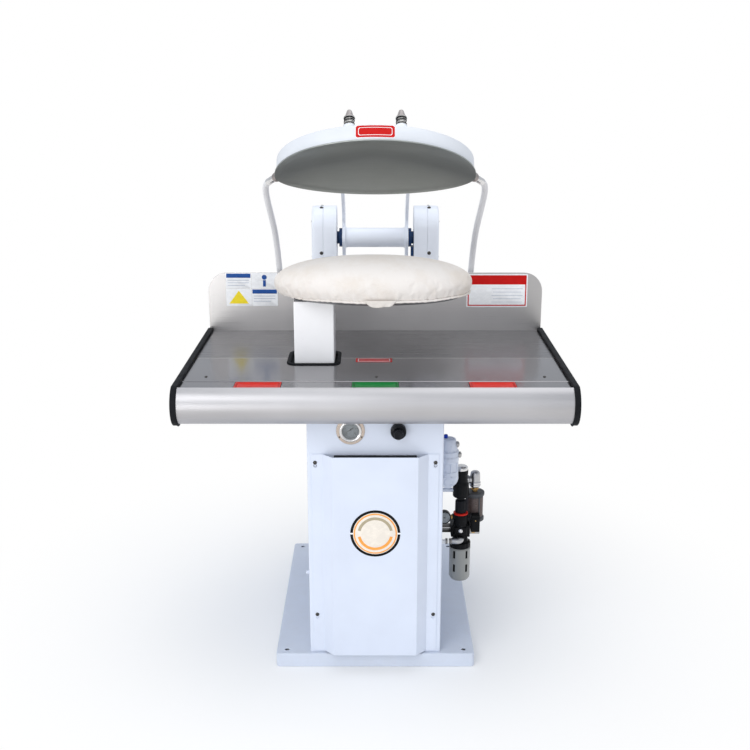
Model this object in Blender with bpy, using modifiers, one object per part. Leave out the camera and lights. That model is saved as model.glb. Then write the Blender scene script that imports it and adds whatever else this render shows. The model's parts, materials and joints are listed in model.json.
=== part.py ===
"""Mushroom ironing press, built piece by piece. Metres, +Z up, the operator stands on the -Y side.

The origin is on the floor, midway between the end trims' front and the air cylinder's rear.
"""

import math

import bmesh
import bpy
from mathutils import Matrix, Vector

# Fits shared by the whole machine
GAP = 0.0003
RUNNING_GAP = 0.00009
OVERRUN = 0.004

# Facet counts
FINE_STEPS = 24
ROUND_STEPS = 16
SMALL_STEPS = 12
TINY_STEPS = 8
ARC_STEPS = 5

# Base pan
BASE_WIDTH = 0.610
BASE_DEPTH = 0.800
BASE_HEIGHT = 0.045
BASE_SHEET = 0.004
BASE_LIP = 0.025
BASE_TOE = 0.013
BASE_CORNER_RADIUS = 0.010
BASE_EDGE_RADIUS = 0.003
ANCHOR_HOLE_RADIUS = 0.007
ANCHOR_INSET_X = 0.032
ANCHOR_INSET_Y = 0.028

# Column
COLUMN_WIDTH = 0.400
COLUMN_DEPTH = 0.700
COLUMN_HEIGHT = 0.7947
COLUMN_SHEET = 0.003
COLUMN_CORNER_RADIUS = 0.005
FRONT_OPENING_MARGIN = 0.048
REAR_OPENING_MARGIN = 0.090

# Raised front cover
COVER_SIDE_BORDER = 0.013
COVER_TOP_DROP = 0.147
COVER_BOTTOM_LIFT = 0.005
COVER_SHEET = 0.002
COVER_FLANGE = 0.031
COVER_BEND = 0.031
COVER_RAISE = 0.030
KEYHOLE_INSET = 0.011
KEYHOLE_TOP_DROP = 0.026
KEYHOLE_BOTTOM_LIFT = 0.124
KEYHOLE_RADIUS = 0.0045
KEYHOLE_PITCH = 0.011

# Rear cover with its louvre slots
REAR_COVER_HALF_WIDTH = 0.125
REAR_COVER_HEIGHT = 0.500
REAR_COVER_LIFT = 0.075
REAR_COVER_SHEET = 0.002
LOUVRE_COUNT = 5
LOUVRE_WIDTH = 0.140
LOUVRE_HEIGHT = 0.006
LOUVRE_PITCH = 0.022

# Deck plate on the column
DECK_HALF_WIDTH = 0.260
DECK_THICKNESS = 0.008
DECK_FRONT_INSET = 0.005
DECK_NOTCH_HALF_WIDTH = 0.062
DECK_NOTCH_FRONT_GAP = 0.008

# Table
TABLE_HALF_WIDTH = 0.5567
TABLE_SHEET = 0.002
RAIL_HEIGHT = 0.0591
RAIL_DEPTH = 0.030
RAIL_WALL = 0.003
FRONT_RAIL_SETBACK = 0.025
SEAM_SETBACK = 0.272
LEDGE_SETBACK = 0.015
LEDGE_STEP = 0.0015
LIP_SETBACK = -0.0605
SPLASH_SETBACK = 0.640

# Rolled nose
NOSE_OVERHANG = 0.100
NOSE_RADIUS = 0.0585
NOSE_CENTRE_DROP = 0.049
NOSE_START_DEG = 113.6
NOSE_END_DEG = 290.0
NOSE_STEPS = 16

# Black end trims
TRIM_THICKNESS = 0.0167
TRIM_PROUD = 0.005
TRIM_UNDERSIDE_SETBACK = 0.080

# Slot for the post and its edging
POST_WIDTH = 0.122
POST_DEPTH = 0.120
POST_LEFT_X = -0.247
POST_FRONT_SETBACK = 0.215
POST_HEIGHT = 0.2515
POST_CORNER_RADIUS = 0.004
SLOT_LEFT_GAP = 0.019
SLOT_RIGHT_GAP = 0.014
SLOT_FRONT_GAP = 0.021
SLOT_REAR_GAP = 0.014
SLOT_CORNER_RADIUS = 0.026
EDGING_FLANGE = 0.005
EDGING_WALL = 0.007
EDGING_RISE = 0.004

# Splash panel
SPLASH_HALF_WIDTH = 0.568
SPLASH_RISE = 0.201
SPLASH_SHEET = 0.003
SPLASH_CORNER_RADIUS = 0.065

# Push plates and their frames
BUTTON_END_SETBACK = 0.2217
BUTTON_SETBACK = -0.024
FRAME_WIDTH = 0.132
FRAME_DEPTH = 0.064
FRAME_FLANGE = 0.002
FRAME_FLANGE_THICKNESS = 0.0015
FRAME_BORDER = 0.0065
FRAME_FLOOR_DROP = 0.018
FRAME_FLOOR = 0.002
BUTTON_SIDE_GAP = 0.0007
BUTTON_THICKNESS = 0.006
BUTTON_RECESS = 0.0012
BUTTON_CORNER_RADIUS = 0.003
BUTTON_TRAVEL = 0.004
BUTTON_STEM_RADIUS = 0.006

# Buck: casting and pad, on the mushroom plan of the head plate
PLATE_HALF_WIDTH = 0.309
PLATE_FRONT_REACH = 0.199
PLATE_REAR_REACH = 0.103
WIDEST_SETBACK = 0.305
PAD_INSET = 0.004
PAD_CROWN = 0.089
PAD_CREASE_RISE = 0.034
PAD_HEM_LIFT = 0.0116
PAD_HEM_TUCK = 0.012
PAD_SIDE_BULGE = 0.003
CASTING_HEIGHT = 0.040
CASTING_INSET = 0.032
CASTING_BOTTOM_TAPER = 0.014
PLAN_STEPS = 40

# Pivot towers and covers
TOWER_DEPTH = 0.140
TOWER_SPLASH_GAP = 0.007
TOWER_HEIGHT = 0.4787
TOWER_INNER_X = 0.131
TOWER_BODY_WIDTH = 0.0447
TOWER_WEB = 0.012
TOWER_WALL = 0.006
TOWER_COVER_WIDTH = 0.0385
TOWER_COVER_SHEET = 0.003
TOWER_COVER_ROUNDING = 0.010
TOWER_ARC_STEPS = 14

# Pivot shaft, bushes and yoke
PIVOT_DROP = 0.1095
PIVOT_SETBACK_IN_TOWER = 0.075
SHAFT_RADIUS = 0.016
SHAFT_END_STAND = 0.005
BUSH_FLANGE_RADIUS = 0.032
BUSH_FLANGE_THICKNESS = 0.0105
BUSH_NECK_RADIUS = 0.0215
ARM_OUTER_X = 0.1125
ARM_THICKNESS = 0.010
ARM_BOSS_RADIUS = 0.042
TUBE_RADIUS = 0.033
TUBE_FLARE = 0.009
OPEN_ANGLE_DEG = 37.3
LEVER_BACK = 0.040
LEVER_DROP = 0.090
LEVER_PIN_RADIUS = 0.010
LEVER_EYE_RADIUS = 0.024
YOKE_PLATE_DEPTH = 0.070
YOKE_PLATE_THICKNESS = 0.014
YOKE_PLATE_RISE = 0.118
YOKE_BEAM_DEPTH = 0.026
YOKE_BOSS_RADIUS = 0.0185
YOKE_BOSS_RISE = 0.027
KNEE_RISE = 0.020

# Head
RIM_ABOVE_CREASE = 0.051
PRESSING_GAP = 0.002
PLATE_RIM_THICKNESS = 0.004
PLATE_DISH_THICKNESS = 0.010
SHELL_INSET = 0.005
SHELL_HEIGHT = 0.0600
SHELL_WALL = 0.003
SHELL_TOP_ROUNDING = 0.007
HEAD_DISH_RINGS = 6

# Head bolts with their cone nuts and springs
BOLT_SPREAD = 0.080
BOLT_SETBACK_FROM_WIDEST = -0.055
BOLT_RADIUS = 0.008
BOLT_FLANGE_RADIUS = 0.020
BOLT_FLANGE_THICKNESS = 0.010
CONE_BASE_RADIUS = 0.0140
CONE_TIP_RADIUS = 0.0068
CONE_HEIGHT = 0.0275
CONE_COLLAR = 0.003
CONE_COLLAR_RADIUS = 0.0170
SPRING_HEIGHT = 0.0299
SPRING_COIL_RADIUS = 0.0155
SPRING_WIRE_RADIUS = 0.0015
SPRING_CURLS = 3
SPRING_POINTS_PER_CURL = 9

# Steam hoses and their unions
UNION_SETBACK_FROM_WIDEST = 0.030
UNION_RISE = 0.030
UNION_LENGTH = 0.036
UNION_RADIUS = 0.0155
HOSE_RADIUS = 0.010
HOSE_POINTS = 15
HOSE_BEND_SHARES = ((0.0, 0.05, 0.22), (0.7, 0.30, 0.56), (2.3, 0.72, 0.90))
PIPE_RADIUS = 0.0135
PIPE_OUTER_X = 0.328
PIPE_INNER_X = 0.155
PIPE_SOCKET_RADIUS = 0.0185
PIPE_SOCKET_LENGTH = 0.030
PIPE_TOP_Z = 0.985
PIPE_CROSS_DROP = 0.040
PIPE_OUTLET_Z = 0.160
PIPE_BEND_RADIUS = 0.032
PIPE_BEND_STEPS = 5

# Air cylinder behind the column
CYLINDER_PIVOT_SETBACK = 0.765
CYLINDER_PIVOT_DROP = 0.160
BARREL_RADIUS = 0.030
BARREL_BORE = 0.025
BARREL_FOOT = 0.045
BARREL_LENGTH = 0.200
BARREL_CAP = 0.020
ROD_RADIUS = 0.010
ROD_EYE_RADIUS = 0.0215
ROD_EYE_WIDTH = 0.026
ROD_EYE_PLAY = 0.0047
PISTON_THICKNESS = 0.018
PISTON_FLOOR_GAP = 0.012
FOOT_EYE_RADIUS = 0.018
FOOT_EYE_WIDTH = 0.024
FOOT_PIN_RADIUS = 0.008
BRACKET_PLATE_WIDTH = 0.110
BRACKET_PLATE_HEIGHT = 0.100
BRACKET_PLATE_THICKNESS = 0.006
BRACKET_EAR_THICKNESS = 0.008

# Instruments on the front of the column
GAUGE_X = -0.072
GAUGE_DROP = 0.0755
GAUGE_FLANGE_RADIUS = 0.0418
GAUGE_FLANGE_THICKNESS = 0.0025
GAUGE_BEZEL_RADIUS = 0.0325
GAUGE_BEZEL_RISE = 0.010
GAUGE_BODY_RADIUS = 0.0305
GAUGE_BODY_DEPTH = 0.028
GAUGE_CUP_RADIUS = 0.0255
GAUGE_CUP_DEPTH = 0.010
GAUGE_LENS_RADIUS = 0.0275
GAUGE_LENS_THICKNESS = 0.0017
NEEDLE_LENGTH = 0.020
NEEDLE_TAIL = 0.010
NEEDLE_HALF_WIDTH = 0.0009
NEEDLE_HUB_RADIUS = 0.0026
NEEDLE_THICKNESS = 0.001
NEEDLE_ZERO_DEG = -32.0
KNOB_X = 0.067
KNOB_DROP = 0.0745
KNOB_SKIRT_RADIUS = 0.0228
KNOB_SKIRT_LENGTH = 0.020
KNOB_GRIP_RADIUS = 0.0140
KNOB_LENGTH = 0.048
KNOB_STEM_RADIUS = 0.004
KNOB_STEM_LENGTH = 0.020

# Steam and air fittings on the right side of the column
AIR_SETBACK = 0.300
AIR_AXIS_X = 0.279
FILTER_TOP_Z = 0.262
GUARD_RADIUS = 0.0345
GUARD_HEIGHT = 0.117
GUARD_WALL = 0.0015
GUARD_SLOT_WIDTH = 0.008
GUARD_SLOT_HEIGHT = 0.027
GUARD_SLOT_LIFTS = (0.048, 0.096)
GUARD_SLOT_ANGLES_DEG = (53, 127)
BLOCK_EDGE_RADIUS = 0.004
REGULATOR_RADIUS = 0.0245
REGULATOR_HEIGHT = 0.121
REGULATOR_COLLAR_RADIUS = 0.0345
REGULATOR_COLLAR_HEIGHT = 0.018
PORT_DEPTH = 0.006
REGULATOR_BLOCK_SIZE = (0.062, 0.062, 0.040)
REGULATOR_BLOCK_LIFT = 0.055
REGULATOR_KNOB_RADIUS = 0.0185
REGULATOR_KNOB_HEIGHT = 0.042
REGULATOR_NECK_RADIUS = 0.007
BRACKET_ARM_HEIGHT = 0.020
AIR_BRACKET_SIZE = (0.003, 0.060, 0.070)
SIDE_GAUGE_X = 0.2255
SIDE_GAUGE_RADIUS = 0.0215
SIDE_GAUGE_DEPTH = 0.024
SIDE_GAUGE_LIFT = 0.106
SIDE_GAUGE_STEM_RADIUS = 0.006
AIR_TUBE_RADIUS = 0.0062
AIR_TUBE_LIFT = 0.035
AIR_TUBE_STAND = 0.018
COIL_SHIFT_X = 0.049
COIL_SHIFT_BACK = 0.045
COIL_RADIUS = 0.0270
COIL_FLANGE_RADIUS = 0.0320
COIL_HEIGHT = 0.0995
COIL_FLANGE_THICKNESS = 0.013
COIL_BOX_SIZE = (0.029, 0.018, 0.060)
COIL_BOX_RISE = 0.0335
VALVE_BLOCK_SIZE = (0.036, 0.036, 0.046)
COIL_TOP_RADIUS = 0.012
COIL_TOP_HEIGHT = 0.016
COIL_HEAD_RADIUS = 0.0185
COIL_HEAD_HEIGHT = 0.0555
PILOT_LIFT = 0.171
PILOT_SETBACK = 0.309
PILOT_RADIUS = 0.026
PILOT_NECK_RADIUS = 0.0225
PILOT_BODY_HEIGHT = 0.045
PILOT_HEIGHT = 0.094
PILOT_CAP_HEIGHT = 0.014
PILOT_STUB_RADIUS = 0.010
STEAM_VALVE_X = 0.233
STEAM_VALVE_SETBACK = 0.255
STEAM_VALVE_BOTTOM_Z = 0.4885
STEAM_VALVE_RADIUS = 0.0325
STEAM_VALVE_DOME_HEIGHT = 0.115
STEAM_VALVE_TOP_HEIGHT = 0.1665
STEAM_VALVE_TOP_RADIUS = 0.026
STEAM_VALVE_STUB_RADIUS = 0.022
STEAM_VALVE_CAP_RADIUS = 0.0068
STEAM_VALVE_CAP_HEIGHT = 0.010
STEAM_VALVE_CAP_SHIFT = 0.010

# Heights and setbacks that follow from the sizes above
FRONT_REACH = NOSE_OVERHANG + TRIM_PROUD
TOWER_REACH = SPLASH_SETBACK + SPLASH_SHEET + TOWER_SPLASH_GAP + TOWER_DEPTH
REAR_REACH = max(TOWER_REACH, CYLINDER_PIVOT_SETBACK + BARREL_RADIUS)
COLUMN_FRONT_Y = (FRONT_REACH - REAR_REACH) / 2
BUTTON_SPACING = TABLE_HALF_WIDTH - BUTTON_END_SETBACK
COLUMN_BOTTOM_Z = BASE_HEIGHT + GAP
COLUMN_TOP_Z = COLUMN_BOTTOM_Z + COLUMN_HEIGHT
COLUMN_REAR_Y = COLUMN_FRONT_Y + COLUMN_DEPTH
CYLINDER_PIVOT_Z = COLUMN_TOP_Z - CYLINDER_PIVOT_DROP
DECK_BOTTOM_Z = COLUMN_TOP_Z + GAP
DECK_TOP_Z = DECK_BOTTOM_Z + DECK_THICKNESS
RAIL_BOTTOM_Z = DECK_TOP_Z + GAP
RAIL_TOP_Z = RAIL_BOTTOM_Z + RAIL_HEIGHT
TABLE_TOP_Z = RAIL_TOP_Z + GAP + TABLE_SHEET
BAND_TOP_Z = TABLE_TOP_Z - LEDGE_STEP
NOSE_CENTRE_Y = COLUMN_FRONT_Y - NOSE_OVERHANG + NOSE_RADIUS
NOSE_CENTRE_Z = TABLE_TOP_Z - NOSE_CENTRE_DROP
SEAM_Y = COLUMN_FRONT_Y + SEAM_SETBACK
LEDGE_Y = COLUMN_FRONT_Y + LEDGE_SETBACK
LIP_Y = COLUMN_FRONT_Y + LIP_SETBACK
SPLASH_Y = COLUMN_FRONT_Y + SPLASH_SETBACK
TOWER_FRONT_Y = SPLASH_Y + SPLASH_SHEET + TOWER_SPLASH_GAP
TOWER_REAR_Y = TOWER_FRONT_Y + TOWER_DEPTH
TOWER_BOTTOM_Z = DECK_TOP_Z + GAP
TOWER_TOP_Z = TOWER_BOTTOM_Z + TOWER_HEIGHT
PIVOT_Y = TOWER_FRONT_Y + PIVOT_SETBACK_IN_TOWER
PIVOT_Z = TOWER_TOP_Z - PIVOT_DROP
POST_RIGHT_X = POST_LEFT_X + POST_WIDTH
POST_FRONT_Y = COLUMN_FRONT_Y + POST_FRONT_SETBACK
POST_REAR_Y = POST_FRONT_Y + POST_DEPTH
POST_BOTTOM_Z = DECK_TOP_Z + GAP
POST_TOP_Z = POST_BOTTOM_Z + POST_HEIGHT
WIDEST_Y = COLUMN_FRONT_Y + WIDEST_SETBACK
CASTING_BOTTOM_Z = POST_TOP_Z + GAP
CASTING_TOP_Z = CASTING_BOTTOM_Z + CASTING_HEIGHT
PAD_HEM_Z = CASTING_BOTTOM_Z + PAD_HEM_LIFT
PAD_CREASE_Z = PAD_HEM_Z + PAD_CREASE_RISE
DISH_DEPTH = PAD_CROWN - RIM_ABOVE_CREASE + PRESSING_GAP

# The head is laid out closed, from the pivot, and its parent empty swings it open
HEAD_WIDEST_Y = WIDEST_Y - PIVOT_Y
HEAD_RIM_Z = PAD_CREASE_Z + RIM_ABOVE_CREASE - PIVOT_Z
YOKE_PLATE_TOP_Z = HEAD_RIM_Z + YOKE_PLATE_RISE
YOKE_PLATE_BOTTOM_Z = YOKE_PLATE_TOP_Z - YOKE_PLATE_THICKNESS
BOLT_Y = HEAD_WIDEST_Y + BOLT_SETBACK_FROM_WIDEST
ARM_INNER_X = ARM_OUTER_X - ARM_THICKNESS

WHITE = ("painted_white", (0.72, 0.77, 0.88), 0.35, 0.0)
STAINLESS = ("brushed_stainless", (0.52, 0.51, 0.52), 0.34, 1.0)
POLISHED = ("polished_plate", (0.36, 0.39, 0.38), 0.22, 1.0)
CHROME = ("chrome", (0.72, 0.70, 0.70), 0.12, 1.0)
STEEL = ("machined_steel", (0.48, 0.47, 0.47), 0.35, 1.0)
BLACK_RUBBER = ("black_rubber", (0.018, 0.022, 0.025), 0.6, 0.0)
BLACK_PLASTIC = ("black_plastic", (0.012, 0.013, 0.015), 0.4, 0.0)
RED_PLASTIC = ("red_plastic", (0.78, 0.045, 0.025), 0.35, 0.0)
GREEN_PLASTIC = ("green_plastic", (0.02, 0.30, 0.07), 0.35, 0.0)
PAD_CLOTH = ("pad_cloth", (0.93, 0.88, 0.84), 0.9, 0.0)
CASTING_IRON = ("casting", (0.34, 0.34, 0.35), 0.55, 1.0)
HOSE_GREY = ("hose_grey", (0.50, 0.51, 0.53), 0.5, 0.2)
DARK_BLUE_BUSH = ("dark_bush", (0.02, 0.05, 0.13), 0.4, 0.0)
BRONZE = ("bronze_bezel", (0.60, 0.46, 0.36), 0.3, 1.0)
CLEAR = ("clear_lens", (0.9, 0.93, 0.95), 0.05, 0.0)
GUARD_GREY = ("guard_grey", (0.36, 0.36, 0.36), 0.35, 0.8)
COIL_GREY = ("coil_grey", (0.20, 0.19, 0.20), 0.45, 0.4)

PARTS = "mushroom_ironing_press"
CUTTERS = "cutters"


# Scene set-up and small builders

def clear_scene():
    for item in list(bpy.data.objects):
        bpy.data.objects.remove(item, do_unlink=True)


def collection(name):
    found = bpy.data.collections.get(name)
    if found is None:
        found = bpy.data.collections.new(name)
        bpy.context.scene.collection.children.link(found)
    return found


def material(finish):
    name, colour, roughness, metallic = finish
    made = bpy.data.materials.get(name)
    if made is None:
        made = bpy.data.materials.new(name)
        made.use_nodes = True
        shader = made.node_tree.nodes["Principled BSDF"]
        shader.inputs["Base Color"].default_value = (*colour, 1.0)
        shader.inputs["Roughness"].default_value = roughness
        shader.inputs["Metallic"].default_value = metallic
        made.diffuse_color = (*colour, 1.0)
    return made


def add_part(name, data, finish, place=(0, 0, 0), turn=(0, 0, 0), parent=None):
    part = bpy.data.objects.new(name, data)
    part.location = place
    part.rotation_euler = turn
    part.parent = parent
    collection(PARTS).objects.link(part)
    data.materials.append(material(finish))
    return part


def add_cutter(name, data, place=(0, 0, 0), turn=(0, 0, 0), parent=None):
    cutter = bpy.data.objects.new(name, data)
    cutter.location = place
    cutter.rotation_euler = turn
    cutter.parent = parent
    cutter.hide_render = True
    cutter.display_type = "WIRE"
    collection(CUTTERS).objects.link(cutter)
    return cutter


def boolean(part, tool, operation):
    step = part.modifiers.new(f"{operation.lower()} {tool.name}", "BOOLEAN")
    step.operation = operation
    step.solver = "EXACT"
    step.object = tool


def cut(part, tool):
    boolean(part, tool, "DIFFERENCE")


def join(part, tool):
    boolean(part, tool, "UNION")


def soften(part, width, segments=2, angle_deg=40):
    step = part.modifiers.new("soft edges", "BEVEL")
    step.width = width
    step.segments = segments
    step.limit_method = "ANGLE"
    step.angle_limit = math.radians(angle_deg)


def block(name, size, radius=0.0, axis="Z", segments=3):
    """A box with the given size, centred, its edges along one axis rounded."""
    work = bmesh.new()
    bmesh.ops.create_cube(work, size=1.0)
    bmesh.ops.scale(work, vec=size, verts=work.verts)
    if radius:
        index = "XYZ".index(axis)
        edges = [e for e in work.edges
                 if abs((e.verts[0].co - e.verts[1].co)[index]) > size[index] / 2]
        bmesh.ops.bevel(work, geom=edges, offset=radius, segments=segments,
                        profile=0.5, affect="EDGES")
    data = bpy.data.meshes.new(name)
    work.to_mesh(data)
    work.free()
    return data


def block_between(low, high):
    size = [b - a for a, b in zip(low, high)]
    centre = [(a + b) / 2 for a, b in zip(low, high)]
    return size, centre


def cylinder(name, radius, length, steps=SMALL_STEPS, axis="Z"):
    work = bmesh.new()
    bmesh.ops.create_cone(work, cap_ends=True, segments=steps, radius1=radius, radius2=radius,
                          depth=length)
    turns = {"X": Matrix.Rotation(math.pi / 2, 3, "Y"), "Y": Matrix.Rotation(math.pi / 2, 3, "X")}
    if axis in turns:
        bmesh.ops.rotate(work, matrix=turns[axis], verts=work.verts)
    data = bpy.data.meshes.new(name)
    work.to_mesh(data)
    work.free()
    data.shade_smooth()
    data.set_sharp_from_angle(angle=math.radians(35))
    return data


def bore_radius(radius, steps, clearance=GAP):
    """The corner radius of a faceted bore whose flats clear a round piece of the radius."""
    return (radius + clearance) / math.cos(math.pi / steps)


def turned(name, profile, finish, steps=ROUND_STEPS, closed=False, **where):
    """A turned piece: the profile of (radius, height) runs down its outer side, top to bottom."""
    data = bpy.data.meshes.new(name)
    count = len(profile)
    edges = [(i, i + 1) for i in range(count - 1)]
    if closed:
        edges.append((count - 1, 0))
    data.from_pydata([(r, 0, z) for r, z in profile], edges, [])
    if finish is None:
        part = add_cutter(name, data, **where)
    else:
        part = add_part(name, data, finish, **where)
    screw = part.modifiers.new("turn", "SCREW")
    screw.steps = steps
    screw.render_steps = steps
    screw.use_merge_vertices = True
    screw.merge_threshold = 0.00001
    screw.use_smooth_shade = True
    return part


def arc(centre, radius, start_deg, end_deg, steps):
    points = []
    for i in range(steps + 1):
        angle = math.radians(start_deg + (end_deg - start_deg) * i / steps)
        points.append((centre[0] + radius * math.cos(angle), centre[1] + radius * math.sin(angle)))
    return points


def rounded_outline(corners, steps=ARC_STEPS):
    """A closed outline from (a, b, radius) corners, each corner filleted by its radius."""
    points = []
    count = len(corners)
    for i, (a, b, radius) in enumerate(corners):
        here = Vector((a, b))
        before = Vector(corners[i - 1][:2])
        after = Vector(corners[(i + 1) % count][:2])
        into = (before - here).normalized()
        out = (after - here).normalized()
        half = into.angle(out) / 2
        if radius <= 0:
            points.append(tuple(here))
            continue
        reach = radius / math.tan(half)
        centre = here + (into + out).normalized() * (radius / math.sin(half))
        first = here + into * reach - centre
        last = here + out * reach - centre
        sweep = first.angle_signed(last)
        for k in range(steps + 1):
            turn = Matrix.Rotation(-sweep * k / steps, 2)
            points.append(tuple(centre + turn @ first))
    return points


def sheet_outline(path, thickness):
    """A closed outline that follows a path and lies to its left, one thickness deep."""
    inner = []
    for i, point in enumerate(path):
        here = Vector(point)
        before = here - Vector(path[i - 1]) if i else Vector(path[1]) - here
        after = Vector(path[i + 1]) - here if i + 1 < len(path) else before
        left_before = Vector((-before.y, before.x)).normalized()
        left_after = Vector((-after.y, after.x)).normalized()
        middle = (left_before + left_after).normalized()
        inner.append(tuple(here + middle * thickness / middle.dot(left_before)))
    return list(path) + inner[::-1]


PLANE_TURNS = {
    "XY": Matrix.Identity(4),
    "XZ": Matrix(((1, 0, 0, 0), (0, 0, -1, 0), (0, 1, 0, 0), (0, 0, 0, 1))),
    "YZ": Matrix(((0, 0, 1, 0), (1, 0, 0, 0), (0, 1, 0, 0), (0, 0, 0, 1))),
}


def flat_mesh(name, outline, thickness, plane, holes=()):
    """A flat outline (with holes) of one thickness, as a mesh centred on its plane."""
    curve = bpy.data.curves.new(name, "CURVE")
    curve.dimensions = "2D"
    curve.fill_mode = "BOTH"
    curve.extrude = thickness / 2
    for loop in [outline, *holes]:
        spline = curve.splines.new("POLY")
        spline.points.add(len(loop) - 1)
        for point, (a, b) in zip(spline.points, loop):
            point.co = (a, b, 0, 1)
        spline.use_cyclic_u = True
    drawn = bpy.data.objects.new(name, curve)
    bpy.context.scene.collection.objects.link(drawn)
    data = meshed(drawn)
    data.transform(PLANE_TURNS[plane])
    return data


def meshed(drawn):
    """The evaluated mesh of a curve object, its caps welded. The curve is removed."""
    bpy.context.view_layer.update()
    graph = bpy.context.evaluated_depsgraph_get()
    data = bpy.data.meshes.new_from_object(drawn.evaluated_get(graph))
    bpy.data.objects.remove(drawn, do_unlink=True)
    work = bmesh.new()
    work.from_mesh(data)
    bmesh.ops.remove_doubles(work, verts=work.verts, dist=0.000001)
    bmesh.ops.recalc_face_normals(work, faces=work.faces)
    work.to_mesh(data)
    work.free()
    return data


def tube_curve(name, points, radius, resolution):
    curve = bpy.data.curves.new(name, "CURVE")
    curve.dimensions = "3D"
    curve.bevel_depth = radius
    curve.bevel_resolution = resolution
    curve.use_fill_caps = True
    spline = curve.splines.new("POLY")
    spline.points.add(len(points) - 1)
    for point, place in zip(spline.points, points):
        point.co = (*place, 1)
    return curve


def tube_mesh(name, points, radius, resolution=2):
    drawn = bpy.data.objects.new(name, tube_curve(name, points, radius, resolution))
    bpy.context.scene.collection.objects.link(drawn)
    data = meshed(drawn)
    data.shade_smooth()
    data.set_sharp_from_angle(angle=math.radians(50))
    return data


def loft(name, rings):
    """A closed skin through rings of equal count, its first and last ring filled."""
    work = bmesh.new()
    rows = [[work.verts.new(point) for point in ring] for ring in rings]
    count = len(rows[0])
    for low, high in zip(rows, rows[1:]):
        for i in range(count):
            k = (i + 1) % count
            work.faces.new((low[i], low[k], high[k], high[i]))
    work.faces.new(rows[0])
    work.faces.new(rows[-1])
    bmesh.ops.recalc_face_normals(work, faces=work.faces)
    data = bpy.data.meshes.new(name)
    work.to_mesh(data)
    work.free()
    data.shade_smooth()
    data.set_sharp_from_angle(angle=math.radians(35))
    return data


def smooth_route(stops, count):
    """Evenly spaced points on a smooth curve through the inner stops; the outer two only aim it."""
    dense = []
    spans = 24
    for a, b, c, d in zip(stops, stops[1:], stops[2:], stops[3:]):
        for i in range(spans):
            t = i / spans
            dense.append(0.5 * ((2 * b) + (c - a) * t + (2 * a - 5 * b + 4 * c - d) * t ** 2
                                + (3 * b - a - 3 * c + d) * t ** 3))
    dense.append(stops[-2])
    lengths = [0.0]
    for a, b in zip(dense, dense[1:]):
        lengths.append(lengths[-1] + (b - a).length)
    points = []
    spot = 0
    for i in range(count):
        target = lengths[-1] * i / (count - 1)
        while spot < len(lengths) - 2 and lengths[spot + 1] < target:
            spot += 1
        share = (target - lengths[spot]) / (lengths[spot + 1] - lengths[spot])
        points.append(dense[spot].lerp(dense[spot + 1], share))
    return points


def bent_route(stops, radius, steps):
    """Straight runs between the stops, each inner stop replaced by an arc of the radius."""
    stops = [Vector(stop) for stop in stops]
    points = [stops[0]]
    for before, here, after in zip(stops, stops[1:], stops[2:]):
        into = (before - here).normalized()
        out = (after - here).normalized()
        half = into.angle(out) / 2
        reach = radius / math.tan(half)
        centre = here + (into + out).normalized() * (radius / math.sin(half))
        first = here + into * reach - centre
        last = here + out * reach - centre
        axis = first.cross(last).normalized()
        sweep = first.angle(last)
        for k in range(steps + 1):
            points.append(centre + Matrix.Rotation(sweep * k / steps, 3, axis) @ first)
    points.append(stops[-1])
    return points


def plan_ring(inset, height, widest_y, steps=PLAN_STEPS):
    """The mushroom plan, drawn in by an inset: long in front of its widest line, short behind."""
    ring = []
    for i in range(steps):
        angle = 2 * math.pi * i / steps
        across = (PLATE_HALF_WIDTH - inset) * math.cos(angle)
        reach = PLATE_REAR_REACH if math.sin(angle) > 0 else PLATE_FRONT_REACH
        ring.append((across, widest_y + (reach - inset) * math.sin(angle), height))
    return ring


def scaled_ring(share, inset, height, widest_y, steps=PLAN_STEPS):
    """The same plan shrunk to a share of its size about the middle of its length."""
    middle_y = widest_y + (PLATE_REAR_REACH - PLATE_FRONT_REACH) / 2
    ring = plan_ring(inset, height, widest_y, steps)
    return [(x * share, middle_y + (y - middle_y) * share, z) for x, y, z in ring]


# Base and column

def make_base():
    size = (BASE_WIDTH, BASE_DEPTH, BASE_HEIGHT)
    centre_y = COLUMN_FRONT_Y - BASE_TOE + BASE_DEPTH / 2
    base = add_part("base_pan", block("base_pan", size, BASE_CORNER_RADIUS), WHITE,
                    (0, centre_y, BASE_HEIGHT / 2))
    soften(base, BASE_EDGE_RADIUS, 2, 60)
    hollow_size = (BASE_WIDTH - 2 * BASE_SHEET, BASE_DEPTH - 2 * BASE_SHEET,
                   BASE_HEIGHT - 2 * BASE_SHEET)
    hollow = add_cutter("base_hollow", block("base_hollow", hollow_size),
                        (0, centre_y, BASE_HEIGHT / 2))
    mouth_size = (BASE_WIDTH - 2 * BASE_LIP, BASE_DEPTH - 2 * BASE_LIP, BASE_HEIGHT / 2)
    mouth = add_cutter("base_mouth", block("base_mouth", mouth_size), (0, centre_y, 0))
    cut(base, hollow)
    cut(base, mouth)
    for side in (-1, 1):
        for end in (-1, 1):
            hole = cylinder("anchor_hole", ANCHOR_HOLE_RADIUS, BASE_SHEET + 2 * OVERRUN)
            place = (side * (BASE_WIDTH / 2 - ANCHOR_INSET_X),
                     centre_y + end * (BASE_DEPTH / 2 - ANCHOR_INSET_Y),
                     BASE_HEIGHT - BASE_SHEET / 2)
            cut(base, add_cutter("anchor_hole", hole, place))


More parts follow.
